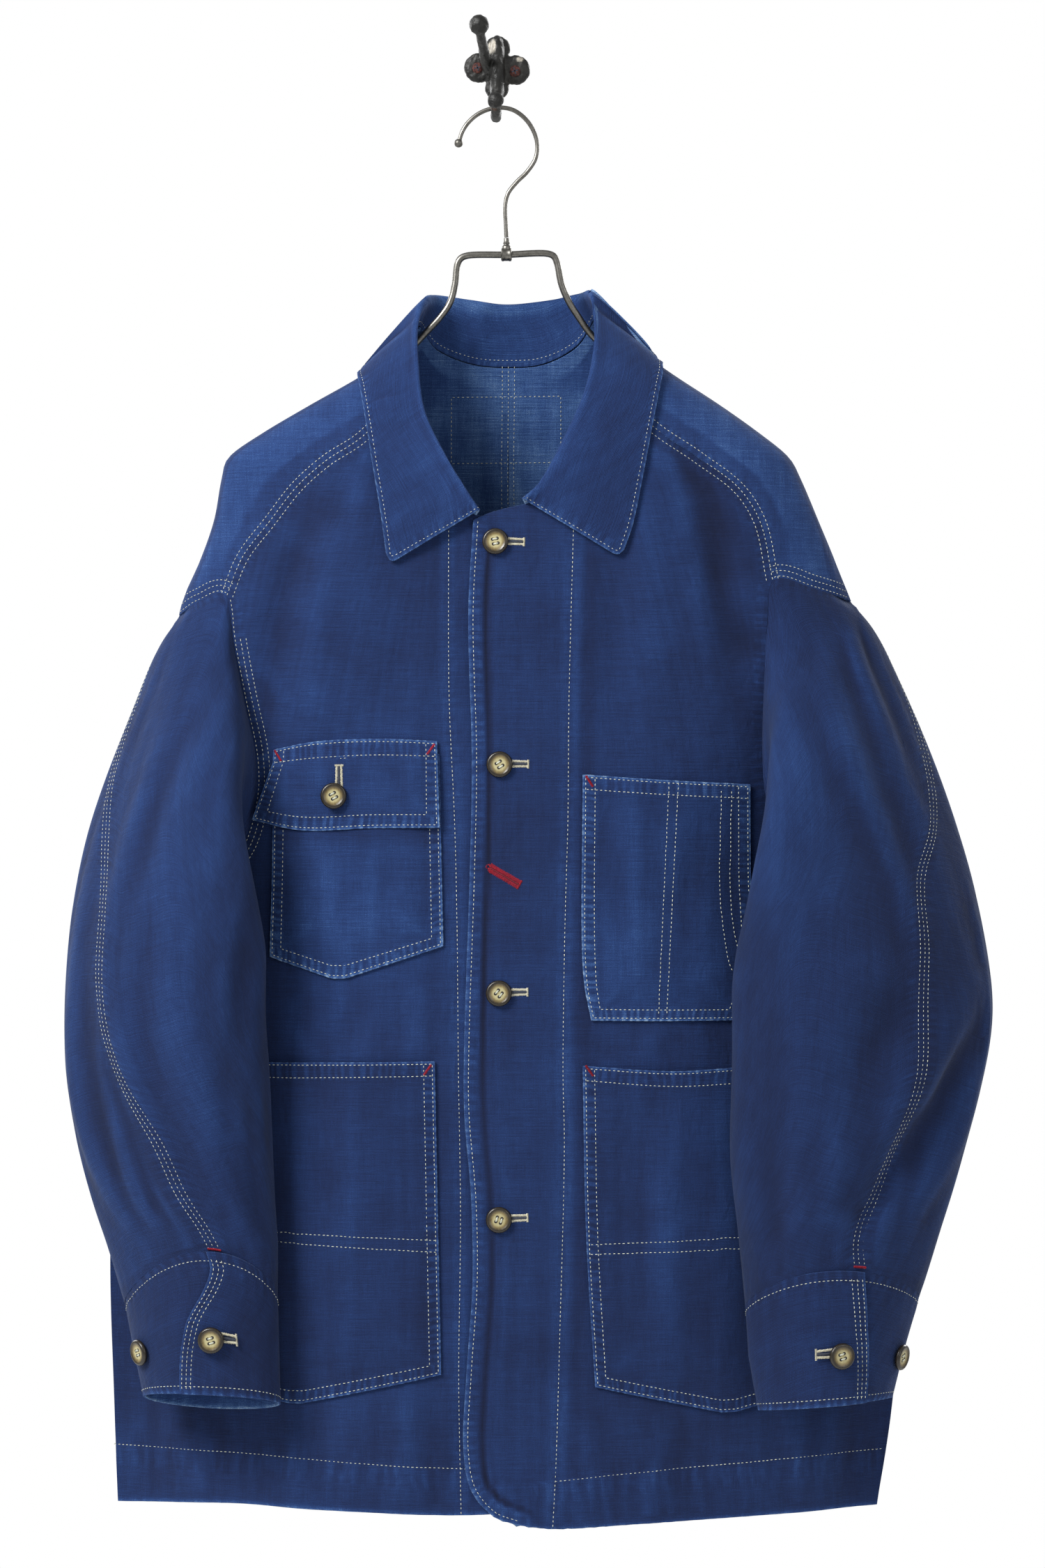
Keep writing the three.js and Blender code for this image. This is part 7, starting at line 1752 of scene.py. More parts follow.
class Patch:
    def __init__(self, key):
        P = PATCHES[key]
        self.key, self.side, self.flap = key, P["side"], P["layer"] > 2
        self.b, self.t = Curve(xz(P["bottom"])), Curve(xz(P["top"]))
        self.l, self.r = Curve(xz(P["left"])), Curve(xz(P["right"]))
        if key in ("chest_pocket_right", "lower_pocket_right", "lower_pocket_left"):
            # the pocket's lower edge is two straight runs that meet in a point
            pts = xz(P["bottom"])
            a, m, c = np.array(pts[0]), np.array(pts[1]), np.array(pts[2])
            soft = [a, a + (m - a) * 0.5, m - (m - a) / np.linalg.norm(m - a) * 5, m + (c - m) / np.linalg.norm(c - m) * 5, m + (c - m) * 0.5, c]
            self.b = Curve(soft, curved=False)
        if key == "chest_flap_right":
            self.l = Curve(xz(P["left"]), curved=False)
        self.W, self.H = (self.b.length + self.t.length) / 2, (self.l.length + self.r.length) / 2

    def plan(self, u, v):
        """x, z for arrays of u and v."""
        shape = np.shape(u)
        u, v = np.ravel(u).astype(float), np.ravel(v).astype(float)
        b, t, l, r = self.b.at(u), self.t.at(u), self.l.at(v), self.r.at(v)
        c = [self.b.at(0.0), self.b.at(1.0), self.t.at(0.0), self.t.at(1.0)]
        U, V = u[:, None], v[:, None]
        p = l * (1 - U) + r * U + (1 - V) * (b - (c[0] * (1 - U) + c[1] * U)) + V * (t - (c[2] * (1 - U) + c[3] * U))
        return p[:, 0].reshape(shape), p[:, 1].reshape(shape)

    def insets(self, u, v):
        return u * self.W, (1 - u) * self.W, v * self.H, (1 - v) * self.H

    def lift(self, u, v, x, z):
        l, r, b, t = self.insets(u, v)
        sides = np.minimum(np.minimum(l, r), b)
        if self.flap:
            near = np.minimum(sides, t)
            out = 3.9 + 0.9 * smooth(2, 30, t) - 1.6 * (1 - smooth(0, 12, t))
            out = out + 0.5 * smooth(6, 18, near)
            out = out + 0.22 * ripple(x + z, 8.0, 1.0) * (1 - smooth(5, 11, near))
            for off in (1.6, 8.0):
                out = out - 0.15 * np.exp(-(((sides - off) / 1.1) ** 2))
            for off in (1.6, 9.4):
                out = out - 0.15 * np.exp(-(((t - off) / 1.1) ** 2))
        else:
            near = sides
            out = 1.8 + 1.5 * smooth(7, 34, near) * (0.55 + 0.45 * smooth(0, 40, t)) + 0.9 * smooth(6, 60, sides) * (1 - smooth(0, 30, t))
            out = out + 0.30 * (1 - smooth(7.5, 10.5, near)) + 0.35 * (1 - smooth(9.4, 12, t))
            out = out + 0.25 * ripple(x * 0.9 + z, 8.5, 2.0 + self.W) * (1 - smooth(6, 11, np.minimum(near, t)))
            for off in (1.6, 7.5):
                out = out - 0.15 * np.exp(-(((near - off) / 1.1) ** 2))
            for off in (1.4, 9.4):
                out = out - 0.14 * np.exp(-(((t - off) / 1.1) ** 2))
        ease = smooth(3, 20, near)
        out = out + ease * np.maximum(-0.9, fine_folds(PATCH_CREASES[self.key], x, z)) + ease * 0.55 * (billow(x * 1.6, z * 1.6, self.W * 0.1) + 0.4)
        return np.maximum(out, 1.72)

    def base(self, x, z):
        return np.minimum(front_detail(x, z, self.side), front_y(x, z, self.side) + 1.2) if not self.flap else front_detail(x, z, self.side)

    def point(self, u, v):
        u, v = np.asarray(u, float), np.asarray(v, float)
        x, z = self.plan(u, v)
        y = front_detail(x, z, self.side) - self.lift(u, v, x, z)
        return np.stack([x, y, z], -1)

    def normal(self, u, v):
        h = 0.004
        a = self.point(np.clip(u + h, 0, 1), v) - self.point(np.clip(u - h, 0, 1), v)
        b = self.point(u, np.clip(v + h, 0, 1)) - self.point(u, np.clip(v - h, 0, 1))
        n = np.cross(a, b)
        n /= np.maximum(np.linalg.norm(n, axis=-1, keepdims=True), 1e-9)
        return n * np.sign(-n[..., 1:2] + 1e-9)

    def sew(self, thread, u0, v0, u1, v1, **kw):
        n = max(4, int(math.hypot((u1 - u0) * self.W, (v1 - v0) * self.H)))
        k = np.linspace(0, 1, n)
        u, v = u0 + (u1 - u0) * k, v0 + (v1 - v0) * k
        m = self.normal(u, v)
        thread.line(self.point(u, v) + m * 0.12, m, **kw)

    def sew_xz(self, thread, path, **kw):
        """Stitches along a line given in x, z, by looking up u and v."""
        U, V = np.meshgrid(np.linspace(0, 1, 160), np.linspace(0, 1, 160))
        X, Y = self.plan(U, V)
        us, vs = [], []
        for q in path:
            k = np.argmin((X - q[0]) ** 2 + (Y - q[1]) ** 2)
            us.append(U.ravel()[k])
            vs.append(V.ravel()[k])
        us, vs = np.array(us), np.array(vs)
        kernel = np.ones(9) / 9
        us = np.convolve(np.pad(us, 4, mode="edge"), kernel, "valid")
        vs = np.convolve(np.pad(vs, 4, mode="edge"), kernel, "valid")
        m = self.normal(us, vs)
        thread.line(self.point(us, vs) + m * 0.12, m, **kw)


PATCH = {k: Patch(k) for k in PATCHES}
for key, p in PATCH.items():
    c, r = PATCH_CELLS[key]
    # closer rows and columns near the edges, where the seams are
    ease = lambda q: q + 0.055 * np.sin(2 * math.pi * q) * -1
    U, V = np.meshgrid(ease(np.linspace(0, 1, c + 1)), ease(np.linspace(0, 1, r + 1)))
    g = p.point(U, V)
    l, rr, bb, tt = p.insets(U, V)
    b = Bands(U.shape)
    b.add(l, V * p.H * 0.8, -1, 8.5, 0.66)
    b.add(rr, V * p.H * 0.8 + 90, -1, 8.5, 0.66)
    b.add(bb, U * p.W * 0.8 + 200, -1, 8.5, 0.7)
    b.add(tt, U * p.W * 0.8 + 300, -1, 10.5, 0.6)
    extra = b.floats()
    edge = np.minimum(np.minimum(l, rr), np.minimum(bb, tt))
    extra["rim"] = np.exp(-edge / 1.1)
    extra["shade"] = 0.03 * smooth(8, 30, edge)
    if key == "chest_pocket_right":
        extra["shade"] = extra["shade"] - 0.10 * (1 - smooth(-534, -545, g[..., 2] * -1 * -1))
    ob = shell(key + "_cloth", g, outward=1, uv=np.stack([g[..., 0], g[..., 2]], -1), floats=extra)
    finish_piece(ob, PATCH_MAT[key], "pocket_canvas")
    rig.replaces(ob, key)
    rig.sheet(ob, flat=PATCH_FLAT[key], held="hung", rests_on=["front_" + p.side + "_cloth"])
    th = THREAD["pockets"]
    w, h = p.W, p.H
    for off in ((1.6, 7.5) if not p.flap else (1.6, 8.0)):
        lo, to = off, (1.4 if not p.flap else off + 0.0)
        p.sew(th, lo / w, lo / h, lo / w, 1 - 1.4 / h)
        p.sew(th, 1 - lo / w, lo / h, 1 - lo / w, 1 - 1.4 / h)
        p.sew(th, lo / w, lo / h, 1 - lo / w, lo / h)
    for off in ((1.4, 9.4)):
        p.sew(th, 1.4 / w, 1 - off / h, 1 - 1.4 / w, 1 - off / h)

th = THREAD["pockets"]
for pair in ([(960.8, 1116), (945, 1458)], [(974.2, 1116), (957, 1458)]):
    PATCH["chest_pocket_left"].sew_xz(th, dense(px(pair), 1.0, False))
for pts in ([(1036.7, 1131), (1034.5, 1268), (1040, 1340), (1050, 1390), (1058, 1402)], [(1051.4, 1131), (1050, 1268), (1054, 1330), (1064, 1376)]):
    PATCH["chest_pocket_left"].sew_xz(th, dense(px(pts), 1.0))
for pair in ([(372, 1769), (630.8, 1779.6)], [(372, 1783), (630.8, 1796.6)]):
    PATCH["lower_pocket_right"].sew_xz(th, dense(px(pair), 1.0, False))
for pair in ([(844, 1785.8), (1066, 1777.6)], [(844, 1799.7), (1066, 1793.6)]):
    PATCH["lower_pocket_left"].sew_xz(th, dense(px(pair), 1.0, False))

# ---------------------------------------------------------------- seams on the body
def sew_field(thread, path, field, flip=False, lift=0.0, **kw):
    p, n = on_field(np.asarray(path, float), field)
    if flip:
        n = -n
    thread.line(p + n * (lift + 0.13), n, **kw)


for name in ("left", "right"):
    side = lambda x, z, name=name: front_detail(x, z, name)
    th = THREAD["body"]
    hem = dense(HEM_STITCH[name].p, 1.0, False)
    sew_field(th, hem, side)
    sew_field(th, dense(FACING_LINE[name].p, 1.0, False), side)
    if name == "left":
        edge = dense(EDGE_LINE[name].p, 1.0, False)
        for off in (2.9,):
            sew_field(th, parallel(edge, off if edge[0, 1] > edge[-1, 1] else -off), side)
    shoulder = dense(SHOULDER_LINE[name].p, 1.0, False)
    for off in (0.0, 4.2):
        sew_field(th, parallel(shoulder, -off if name == "left" else off), side)
    sew_field(th, parallel(shoulder, 4.0 if name == "left" else -4.0), crest_y)
    turn = np.linspace(172, 47, 220)
    arm = dense(armhole(name, turn)[:, [0, 2]], 1.0, False)
    for off in (1.4, 5.2, 9.0):
        q = parallel(arm, off if name == "left" else -off)
        if name == "left":
            continue
        if off > 2:
            q = q[q[:, 1] < -400]
        sew_field(th, q, side)
    # over the top of the shoulder
    arm = dense(armhole(name, np.linspace(44, 1, 90))[:, [0, 2]], 1.0, False)
    for off in (1.4, 5.2, 9.0):
        q = parallel(arm, off if name == "left" else -off)
        room = (edge_x(q[:, 1], name) - q[:, 0]) * (1 if name == "left" else -1)
        q = q[room > 0.8]
        if len(q) > 4:
            sew_field(th, q, crest_y)
    # behind
    back = lambda x, z, name=name: back_detail(x, z, name)
    th = THREAD["back"]
    hem = dense(HEM_STITCH["back_" + name].p, 1.0, False)
    sew_field(th, hem, back, flip=True)
    turn = np.linspace(184, 352, 260)
    arm = dense(armhole(name, turn)[:, [0, 2]], 1.0, False)
    for off in (1.4, 5.2, 9.0):
        q = parallel(arm, off if name == "left" else -off)
        sew_field(th, q, back, flip=True)

z = np.arange(-210, -985, -1.0)
for off in (-4.2, 0.0, 4.2):
    name = "left" if off > 0 else "right"
    path = np.stack([np.full(len(z), CENTRE_X + off + 0.25 * np.sin(z * 0.05)), z], -1)
    sew_field(THREAD["back"], path, lambda x, zz, name=name: back_detail(x, zz, name), flip=True)
    inner = path[path[:, 1] > -420]
    sew_field(THREAD["back"], inner, lambda x, zz, name=name: back_detail(x, zz, name), lift=CLOTH)
box_y = -12
rect = px([(648, 572), (805, 570), (805, 664), (648, 666), (648, 572)], box_y)
for a, b in zip(rect[:-1], rect[1:]):
    seg = dense([a, ((a[0] + b[0]) / 2, (a[1] + b[1]) / 2), b], 1.0, False)
    mid = seg[len(seg) // 2, 0]
    halves = [("right", seg[seg[:, 0] < CENTRE_X]), ("left", seg[seg[:, 0] >= CENTRE_X])]
    for name, part in halves:
        if len(part) > 4:
            sew_field(THREAD["back"], part, lambda x, zz, name=name: back_detail(x, zz, name), lift=CLOTH + 0.1)


# ---------------------------------------------------------------- sleeves, cuffs, collar
def on_sleeve(name, at, turn):
    p = sleeve_point(name, at, turn)
    a = sleeve_point(name, at, turn + 1.0) - sleeve_point(name, at, turn - 1.0)
    b = sleeve_point(name, np.minimum(at + 0.05, len(SLEEVES[name])), turn) - sleeve_point(name, np.maximum(at - 0.05, 0), turn)
    n = np.cross(a, b)
    n /= np.maximum(np.linalg.norm(n, axis=-1, keepdims=True), 1e-9)
    return p, n * (-1 if name == "left" else 1) * SLEEVE_FACE


SLEEVE_FACE = 1
_p, _n = on_sleeve("left", np.array([5.0]), np.array([60.0]))
if _n[0, 1] > 0:
    SLEEVE_FACE = -1

for name in ("left", "right"):
    th = THREAD["sleeves"]
    count = len(SLEEVES[name])
    at = np.linspace(0.35, count - 0.06, 620)
    p0, _ = on_sleeve(name, at, seam_turn(name, at))
    girth = np.linalg.norm(sleeve_point(name, at, seam_turn(name, at) + 4) - sleeve_point(name, at, seam_turn(name, at) - 4), axis=-1) / 8
    for off in (-3.7, 0.0, 3.7):
        p, n = on_sleeve(name, at, seam_turn(name, at) + off / np.maximum(girth, 0.3))
        th.line(p, n)
    for off in (-3.0, 0.8):
        low = at[at > 0.97]
        p, n = on_sleeve(name, low, np.full(low.shape, 247.5) + off)
        th.line(p, n)

CUFF_FACE = 1


def on_cuff(name, w, turn, out):
    p = cuff_point(name, w, turn, out)
    a = cuff_point(name, w, turn + 1.0, out) - cuff_point(name, w, turn - 1.0, out)
    b = cuff_point(name, np.minimum(w + 0.02, 1), turn, out) - cuff_point(name, np.maximum(w - 0.02, 0), turn, out)
    n = np.cross(a, b)
    n /= np.maximum(np.linalg.norm(n, axis=-1, keepdims=True), 1e-9)
    d = p - cuff_point(name, w, turn + 180, out)
    s = np.sign(np.sum(n * d, -1, keepdims=True))
    return p, n * s


for name in ("left", "right"):
    th = THREAD["sleeves"]
    slit = CUFF_SLIT[name]
    start, over = slit["start"], slit["overlap"]
    for w in (0.05, 0.945):
        U = np.linspace(0.01, 0.99, 700)
        turn = cuff_turn(name, w, U)
        out = (CLOTH + 0.75) * (1 - smooth(0, 0.16, U)) + 0.12
        pucker = 0.35 * ripple(turn, 12.0, 1.0 if name == "left" else 3.0) * (1 - smooth(0.0, 0.35, w)) + 0.22 * ripple(turn, 15.0, 4.0) * smooth(0.7, 1.0, w)
        p, n = on_cuff(name, np.full(U.shape, w), turn, out + pucker)
        th.line(p, n)
    w = np.linspace(0.03, 0.97, 120)
    for extra_turn in (2.0, 5.6, 9.2):
        turn = cuff_edge(name, w) + extra_turn
        p, n = on_cuff(name, w, turn, np.full(w.shape, CLOTH + 0.75 + 0.1))
        th.line(p, n)

th = THREAD["collar"]
R1, C1 = gc.shape[0] - 1, gc.shape[1] - 1
SIGN_C = COLLAR_FACE if "COLLAR_FACE" in globals() else 1


def on_collar(r, c):
    n = sample_grid(n_c, r, c) * SIGN_C
    n /= np.maximum(np.linalg.norm(n, axis=-1, keepdims=True), 1e-9)
    return sample_grid(gc, r, c), n


def collar_line(rs, share):
    return on_collar(rs, share * C1)


edge_share = 1 - 3.0 / wid_c[:, -1]
rs = np.linspace(0.0, R1, 1200)
es = np.interp(rs, np.arange(R1 + 1), edge_share)
inset_rows = 3.0 / (run_c[-1].mean() / R1)
keep = (rs > inset_rows) & (rs < R1 - inset_rows)
p, n = on_collar(rs[keep], es[keep] * C1)
th.line(p, n)
for row in (inset_rows, R1 - inset_rows):
    cs = np.linspace(0.05, edge_share[0], 140) * C1
    p, n = on_collar(np.full(cs.shape, row), cs)
    th.line(p, n)
p, n = on_collar(rs, np.full(rs.shape, 0.035 * C1))
th.line(p - n * 0.0, n)
p2, n2 = on_collar(rs, np.full(rs.shape, 0.05 * C1))
th.line(p2 - n2 * (CLOTH + 0.05), -n2)

# ---------------------------------------------------------------- buttons, buttonholes, bartacks
def lathe_arrays(profile, sides=40):
    """Closed body of revolution about +Z from (radius, height) pairs, first and last on the axis."""
    a = np.arange(sides) / sides * 2 * math.pi
    v, f, ring = [], [], []
    for r, h in profile:
        if r < 1e-6:
            ring.append([len(v)])
            v.append((0, 0, h))
        else:
            ring.append(list(range(len(v), len(v) + sides)))
            v += [(r * math.cos(t), r * math.sin(t), h) for t in a]
    for p, q in zip(ring[:-1], ring[1:]):
        for j in range(sides):
            k = (j + 1) % sides
            if len(p) == 1:
                f.append((p[0], q[j], q[k]))
            elif len(q) == 1:
                f.append((p[j], q[0], p[k]))
            else:
                f.append((p[j], q[j], q[k], p[k]))
    return np.array(v, float), f


def basis(n, roll=0.0):
    n = np.asarray(n, float) / np.linalg.norm(n)
    up = np.array([0, 0, 1.0])
    x = np.cross(up, n)
    x /= np.linalg.norm(x)
    y = np.cross(n, x)
    c, s = math.cos(roll), math.sin(roll)
    return np.stack([x * c + y * s, y * c - x * s, n], 1)


BUTTON = [(0, 0), (7.4, 0), (8.5, 0.35), (8.85, 1.1), (8.8, 1.9), (8.5, 2.55), (8.1, 2.95), (7.6, 3.18), (7.0, 3.2), (6.5, 3.02), (6.0, 2.78), (5.2, 2.52), (4.6, 2.42), (4.0, 2.36), (3.4, 2.32), (2.4, 2.28), (0, 2.26)]


def button(name, node, where, n, roll=0.0):
    M = basis(n, roll)
    v, f = lathe_arrays(BUTTON, 48)
    r = np.hypot(v[:, 0], v[:, 1])
    dark = np.clip(0.35 * smooth(3.4, 5.6, r) + 0.32 * smooth(5.4, 7.4, r) + 0.45 * smooth(6.8, 8.3, r) + 0.25 * (v[:, 2] < 1.2), 0, 1)
    ob = make_mesh(name, v @ M.T + where, f, floats={"rimdark": dark}, sharp=60)
    finish_piece(ob, "horn", "horn_buttons")
    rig.replaces(ob, node)
    # dark caps over the holes that paint their shade, and the thread through them
    hv, hf, n0 = [], [], 0
    for sx in (-1, 1):
        for sy in (-1, 1):
            c, cf = lathe_arrays([(0, 2.0), (1.12, 2.0), (1.12, 2.33), (0.8, 2.345), (0, 2.345)], 16)
            c = c + np.array([sx * 1.65, sy * 1.65, 0])
            hv.append(c @ M.T + where)
            hf += [tuple(i + n0 for i in q) for q in cf]
            n0 += len(c)
    holes = make_mesh(name + "_holes", np.concatenate(hv), hf, sharp=40)
    finish_piece(holes, "pit", None)
    tv, tf, n0 = [], [], 0
    for sy in (-1, 1):
        for off in (-0.28, 0.0, 0.28):
            path = np.array([(-1.65, 2.2), (-1.3, 2.62), (0, 2.8), (1.3, 2.62), (1.65, 2.2)])
            pts = np.stack([path[:, 0], np.full(5, sy * 1.65 + off), path[:, 1]], -1)
            pts = catmull(pts, 5)
            ring = np.arange(6) / 6 * 2 * math.pi
            k = len(pts)
            vv = []
            for q in pts:
                vv += [(q[0], q[1] + 0.15 * math.cos(t), q[2] + 0.15 * math.sin(t)) for t in ring]
            vv = np.array(vv)
            for a in range(k - 1):
                for j in range(6):
                    b = (j + 1) % 6
                    tf.append((n0 + a * 6 + j, n0 + a * 6 + b, n0 + (a + 1) * 6 + b, n0 + (a + 1) * 6 + j))
            tf.append(tuple(n0 + j for j in range(6))[::-1])
            tf.append(tuple(n0 + (k - 1) * 6 + j for j in range(6)))
            n0 += len(vv)
            tv.append(vv @ M.T + where)
    th = make_mesh(name + "_thread", np.concatenate(tv), tf, sharp=60)
    finish_piece(th, "thread", None)


left_y = lambda x, z: front_detail(x, z, "left")
for i, bt in enumerate(FRONT_BUTTONS):
    x, z = np.array([bt["x"]]), np.array([bt["z"]])
    y = float(front_y(x, z, "left")[0]) - 0.7
    y = min(y, float(front_detail(x, z, "left")[0]) - 0.3)
    button(bt["name"] + "_horn", bt["name"], np.array([bt["x"], y, bt["z"]]), (0.015 * (i - 1), -1, 0.03 * (1 - i % 2)), 0.35 * i + 0.2)
fx, fz = -109.5, -508.0
P = PATCH["chest_flap_right"]
fy = float(front_y(np.array([fx]), np.array([fz]), "right")[0]) - 2.4 * 2.25 - 2.0
button("flap_button_horn", "flap_button", np.array([fx, fy + 0.2, fz]), (0.02, -1, 0.02), 0.5)
for bt in CUFF_BUTTONS:
    w, turn = np.array([0.62]), np.array([float(bt["turn"])])
    p, n = on_cuff(bt["side"], w, turn, np.array([0.0]))
    over = 0.5 + 0.6 + (CLOTH + 0.75 if bt["turn"] > 60 else 0)
    button(bt["name"] + "_horn", bt["name"], p[0] + n[0] * over, n[0], 0.3)


def beads(points, dirs, normals, length, width, height):
    """Short raised threads: centre, direction and normal of each."""
    c, d, m = np.asarray(points, float), np.asarray(dirs, float), np.asarray(normals, float)
    d = d / np.linalg.norm(d, axis=1, keepdims=True)
    s = np.cross(m, d)
    s /= np.maximum(np.linalg.norm(s, axis=1, keepdims=True), 1e-9)
    rings = []
    for t, w, h in ((-0.5, 0.25, 0.0), (-0.3, 0.5, 0.9), (0.3, 0.5, 0.9), (0.5, 0.25, 0.0)):
        q = c + d * (np.asarray(length) * t)[..., None] if np.ndim(length) else c + d * length * t
        rings.append(np.stack([q + s * width * w - m * 0.15, q + m * height * h, q - s * width * w - m * 0.15], 1))
    V = np.stack(rings, 1).reshape(len(c), 12, 3)
    f = []
    for r in range(3):
        for k in range(3):
            a, b = r * 3 + k, r * 3 + (k + 1) % 3
            f += [(a, b, b + 3), (a, b + 3, a + 3)]
    f += [(0, 2, 1), (9, 10, 11)]
    F = (np.array(f)[None] + (np.arange(len(c)) * 12)[:, None, None]).reshape(-1, 3)
    return V.reshape(-1, 3), F


class Pile(Thread):
    def put(self, v, f):
        self.v.append(v)
        self.f.append(f + self.n)
        self.n += len(v)


HOLES, SLITS, TACKS, RED_HOLE, RED_SLITS = Pile(), Pile(), Pile(), Pile(), Pile()


def worked_hole(surface, start, angle, length, gap=1.9, stitch=1.85, keyhole=False, pile=None):
    """A worked buttonhole: surface(a, b) gives points and normals for local offsets in mm."""
    pile = pile or HOLES
    rng = np.random.default_rng(int(abs(start[0] * 7 + start[1] * 3)) + 5)
    ca, sa = math.cos(angle), math.sin(angle)

    def place(t, q):
        a = start[0] + t * ca - q * sa
        b = start[1] + t * sa + q * ca
        return surface(a, b)

    t = np.arange(0.4, length, 0.52)
    for side in (-1, 1):
        q = side * (gap / 2 * (1.15 - 0.55 * t / length) + stitch / 2) + rng.uniform(-0.08, 0.08, len(t))
        p, n = place(t, q)
        p2, _ = place(t, q + 0.3)
        v, f = beads(p + n * 0.05, p2 - p, n, stitch * (1 + rng.uniform(-0.12, 0.12, len(t))), 0.5, 0.5)
        pile.put(v, f)
    q = np.arange(-(gap / 2 + stitch), gap / 2 + stitch + 0.01, 0.42)
    ends = (length,) if not keyhole else (0.0,)
    for e in ends:
        p, n = place(np.full(q.shape, e), q)
        p2, _ = place(np.full(q.shape, e + 0.3), q)
        v, f = beads(p + n * 0.08, p2 - p, n, 1.5, 0.46, 0.65)
        pile.put(v, f)
    if keyhole:
        a = np.linspace(-2.4, 2.4, 15)
        for k in a:
            p, n = place(np.array([length + 0.9 + 1.35 * math.cos(k)]), np.array([1.35 * math.sin(k)]))
            p2, _ = place(np.array([length + 0.9 + 1.9 * math.cos(k)]), np.array([1.9 * math.sin(k)]))
            v, f = beads(p + n * 0.05, p2 - p, n, 1.3, 0.55, 0.5)
            pile.put(v, f)
    # the slit between the two rows: a dark strip that paints the shade in the cut
    t = np.linspace(0.2, length - 0.4, 24)
    p, n = place(t, 0 * t)
    g, _ = ribbon_arrays(p, n, gap * 0.45, 0.12, 2)
    v, f, _, _ = shell_arrays(g + n[:, None] * 0.06, thick=0.3, bulge=0.0, uv=np.zeros(g.shape[:2] + (2,)))
    (RED_SLITS if keyhole else SLITS).put(v, np.concatenate([f[:, [0, 1, 2]], f[:, [0, 2, 3]]]))


def tack(surface, centre, angle, length=7.0, width=1.5):
    ca, sa = math.cos(angle), math.sin(angle)
    t = np.arange(-length / 2, length / 2, 0.4)
    p, n = surface(centre[0] + t * ca, centre[1] + t * sa)
    p2, _ = surface(centre[0] + t * ca - 0.3 * sa, centre[1] + t * sa + 0.3 * ca)
    v, f = beads(p + n * 0.1, p2 - p, n, width, 0.42, 0.55)
    TACKS.put(v, f)


def flat_surface(field):
    def read(a, b):
        a, b = np.broadcast_arrays(np.asarray(a, float), np.asarray(b, float))
        return on_field(np.stack([a, b], -1), field)
    return read


def patch_surface(P):
    U, V = np.meshgrid(np.linspace(0, 1, 200), np.linspace(0, 1, 200))
    X, Y = P.plan(U, V)

    def read(a, b):
        a, b = np.broadcast_arrays(np.asarray(a, float), np.asarray(b, float))
        us, vs = [], []
        for x, z in zip(a, b):
            k = int(np.argmin((X - x) ** 2 + (Y - z) ** 2))
            us.append(U.ravel()[k])
            vs.append(V.ravel()[k])
        us, vs = np.array(us), np.array(vs)
        p = P.point(us, vs)
        n = P.normal(us, vs)
        p[:, 0], p[:, 2] = a, b
        return p, n
    return read


left_surface = flat_surface(left_y)
for i, bt in enumerate(FRONT_BUTTONS):
    worked_hole(left_surface, (bt["x"] + 0.5, bt["z"] + 0.6), 0.03 * (i - 1.5), 18.8)
(rx0, rz0), (rx1, rz1) = px([(745.4, 1269.6), (702.5, 1244.5)])
worked_hole(left_surface, (rx0, rz0), math.atan2(rz1 - rz0, rx1 - rx0), math.hypot(rx1 - rx0, rz1 - rz0), gap=0.5, stitch=3.0, keyhole=True, pile=RED_HOLE)
flap = patch_surface(PATCH["chest_flap_right"])
hx, hz = px([(486.5, 1142)])[0]
worked_hole(flap, (hx, hz + 1), math.radians(90), 19.5)


def cuff_surface(name, out):
    R = CUFF_RINGS[name]

    def read(a, b):
        a, b = np.broadcast_arrays(np.asarray(a, float), np.asarray(b, float))
        return on_cuff(name, b, a, np.full(a.shape, out))
    return read


def cuff_hole(name, turn0, step, w, out):
    """Worked hole running round the cuff from a turn."""
    girth = np.linalg.norm(cuff_point(name, np.array([w]), np.array([turn0 + 3.0]), 0.0) - cuff_point(name, np.array([w]), np.array([turn0 - 3.0]), 0.0)) / 6
    deep = 66.0

    def surface(a, b):
        a, b = np.broadcast_arrays(np.asarray(a, float), np.asarray(b, float))
        return on_cuff(name, w - b / deep, turn0 + step * a / girth, np.full(a.shape, out))
    worked_hole(surface, (0.0, 0.0), 0.0, 16.0)


cuff_hole("right", 95.0, 1, 0.60, CLOTH + 0.75 + 0.2)
cuff_hole("left", 80.0, 1, 0.60, CLOTH + 0.75 + 0.2)

chest, low_r, low_l = patch_surface(PATCH["chest_pocket_left"]), patch_surface(PATCH["lower_pocket_right"]), patch_surface(PATCH["lower_pocket_left"])
for surf, at, ang in ((flap, (397, 1084), -1.0), (flap, (618.6, 1075), 0.95), (chest, (846, 1121), -1.0), (low_r, (613.9, 1534.8), 0.95), (low_l, (846, 1536), -0.95)):
    tack(surf, px([at])[0], ang, 8.5, 1.7)
for name in ("left", "right"):
    t = float(seam_turn(name, np.array([len(SLEEVES[name]) - 0.1]))[0])
    near = sleeve_point(name, len(SLEEVES[name]) - 0.12, np.array([t - 2, t + 2]))
    step = 4.0 / float(np.linalg.norm(near[1] - near[0]))

    def surface(a, b, name=name, t=t, step=step):
        a, b = np.broadcast_arrays(np.asarray(a, float), np.asarray(b, float))
        p, n = on_sleeve(name, len(SLEEVES[name]) - 0.13 - b / 40, t + a * step)
        return p + n * 0.3, n
    tack(surface, (0.0, 0.0), 0.0, 9.0, 1.6)

# the slit strips are painted shade in the buttonhole cuts
for pile, name, mat in ((HOLES, "buttonholes", "buttonhole"), (SLITS, "buttonhole_slits", "navy"), (TACKS, "bartacks", "red"), (RED_HOLE, "keyhole_buttonhole", "red"), (RED_SLITS, "keyhole_slit", "red_dark")):
    finish_piece(pile.done(name), mat, None)

# ---------------------------------------------------------------- hanger
def wire(rows, y=HANGER_Y):
    return np.array([(p[0], y, p[1]) for p in catmull(np.array(xz(rows), float), 14)])


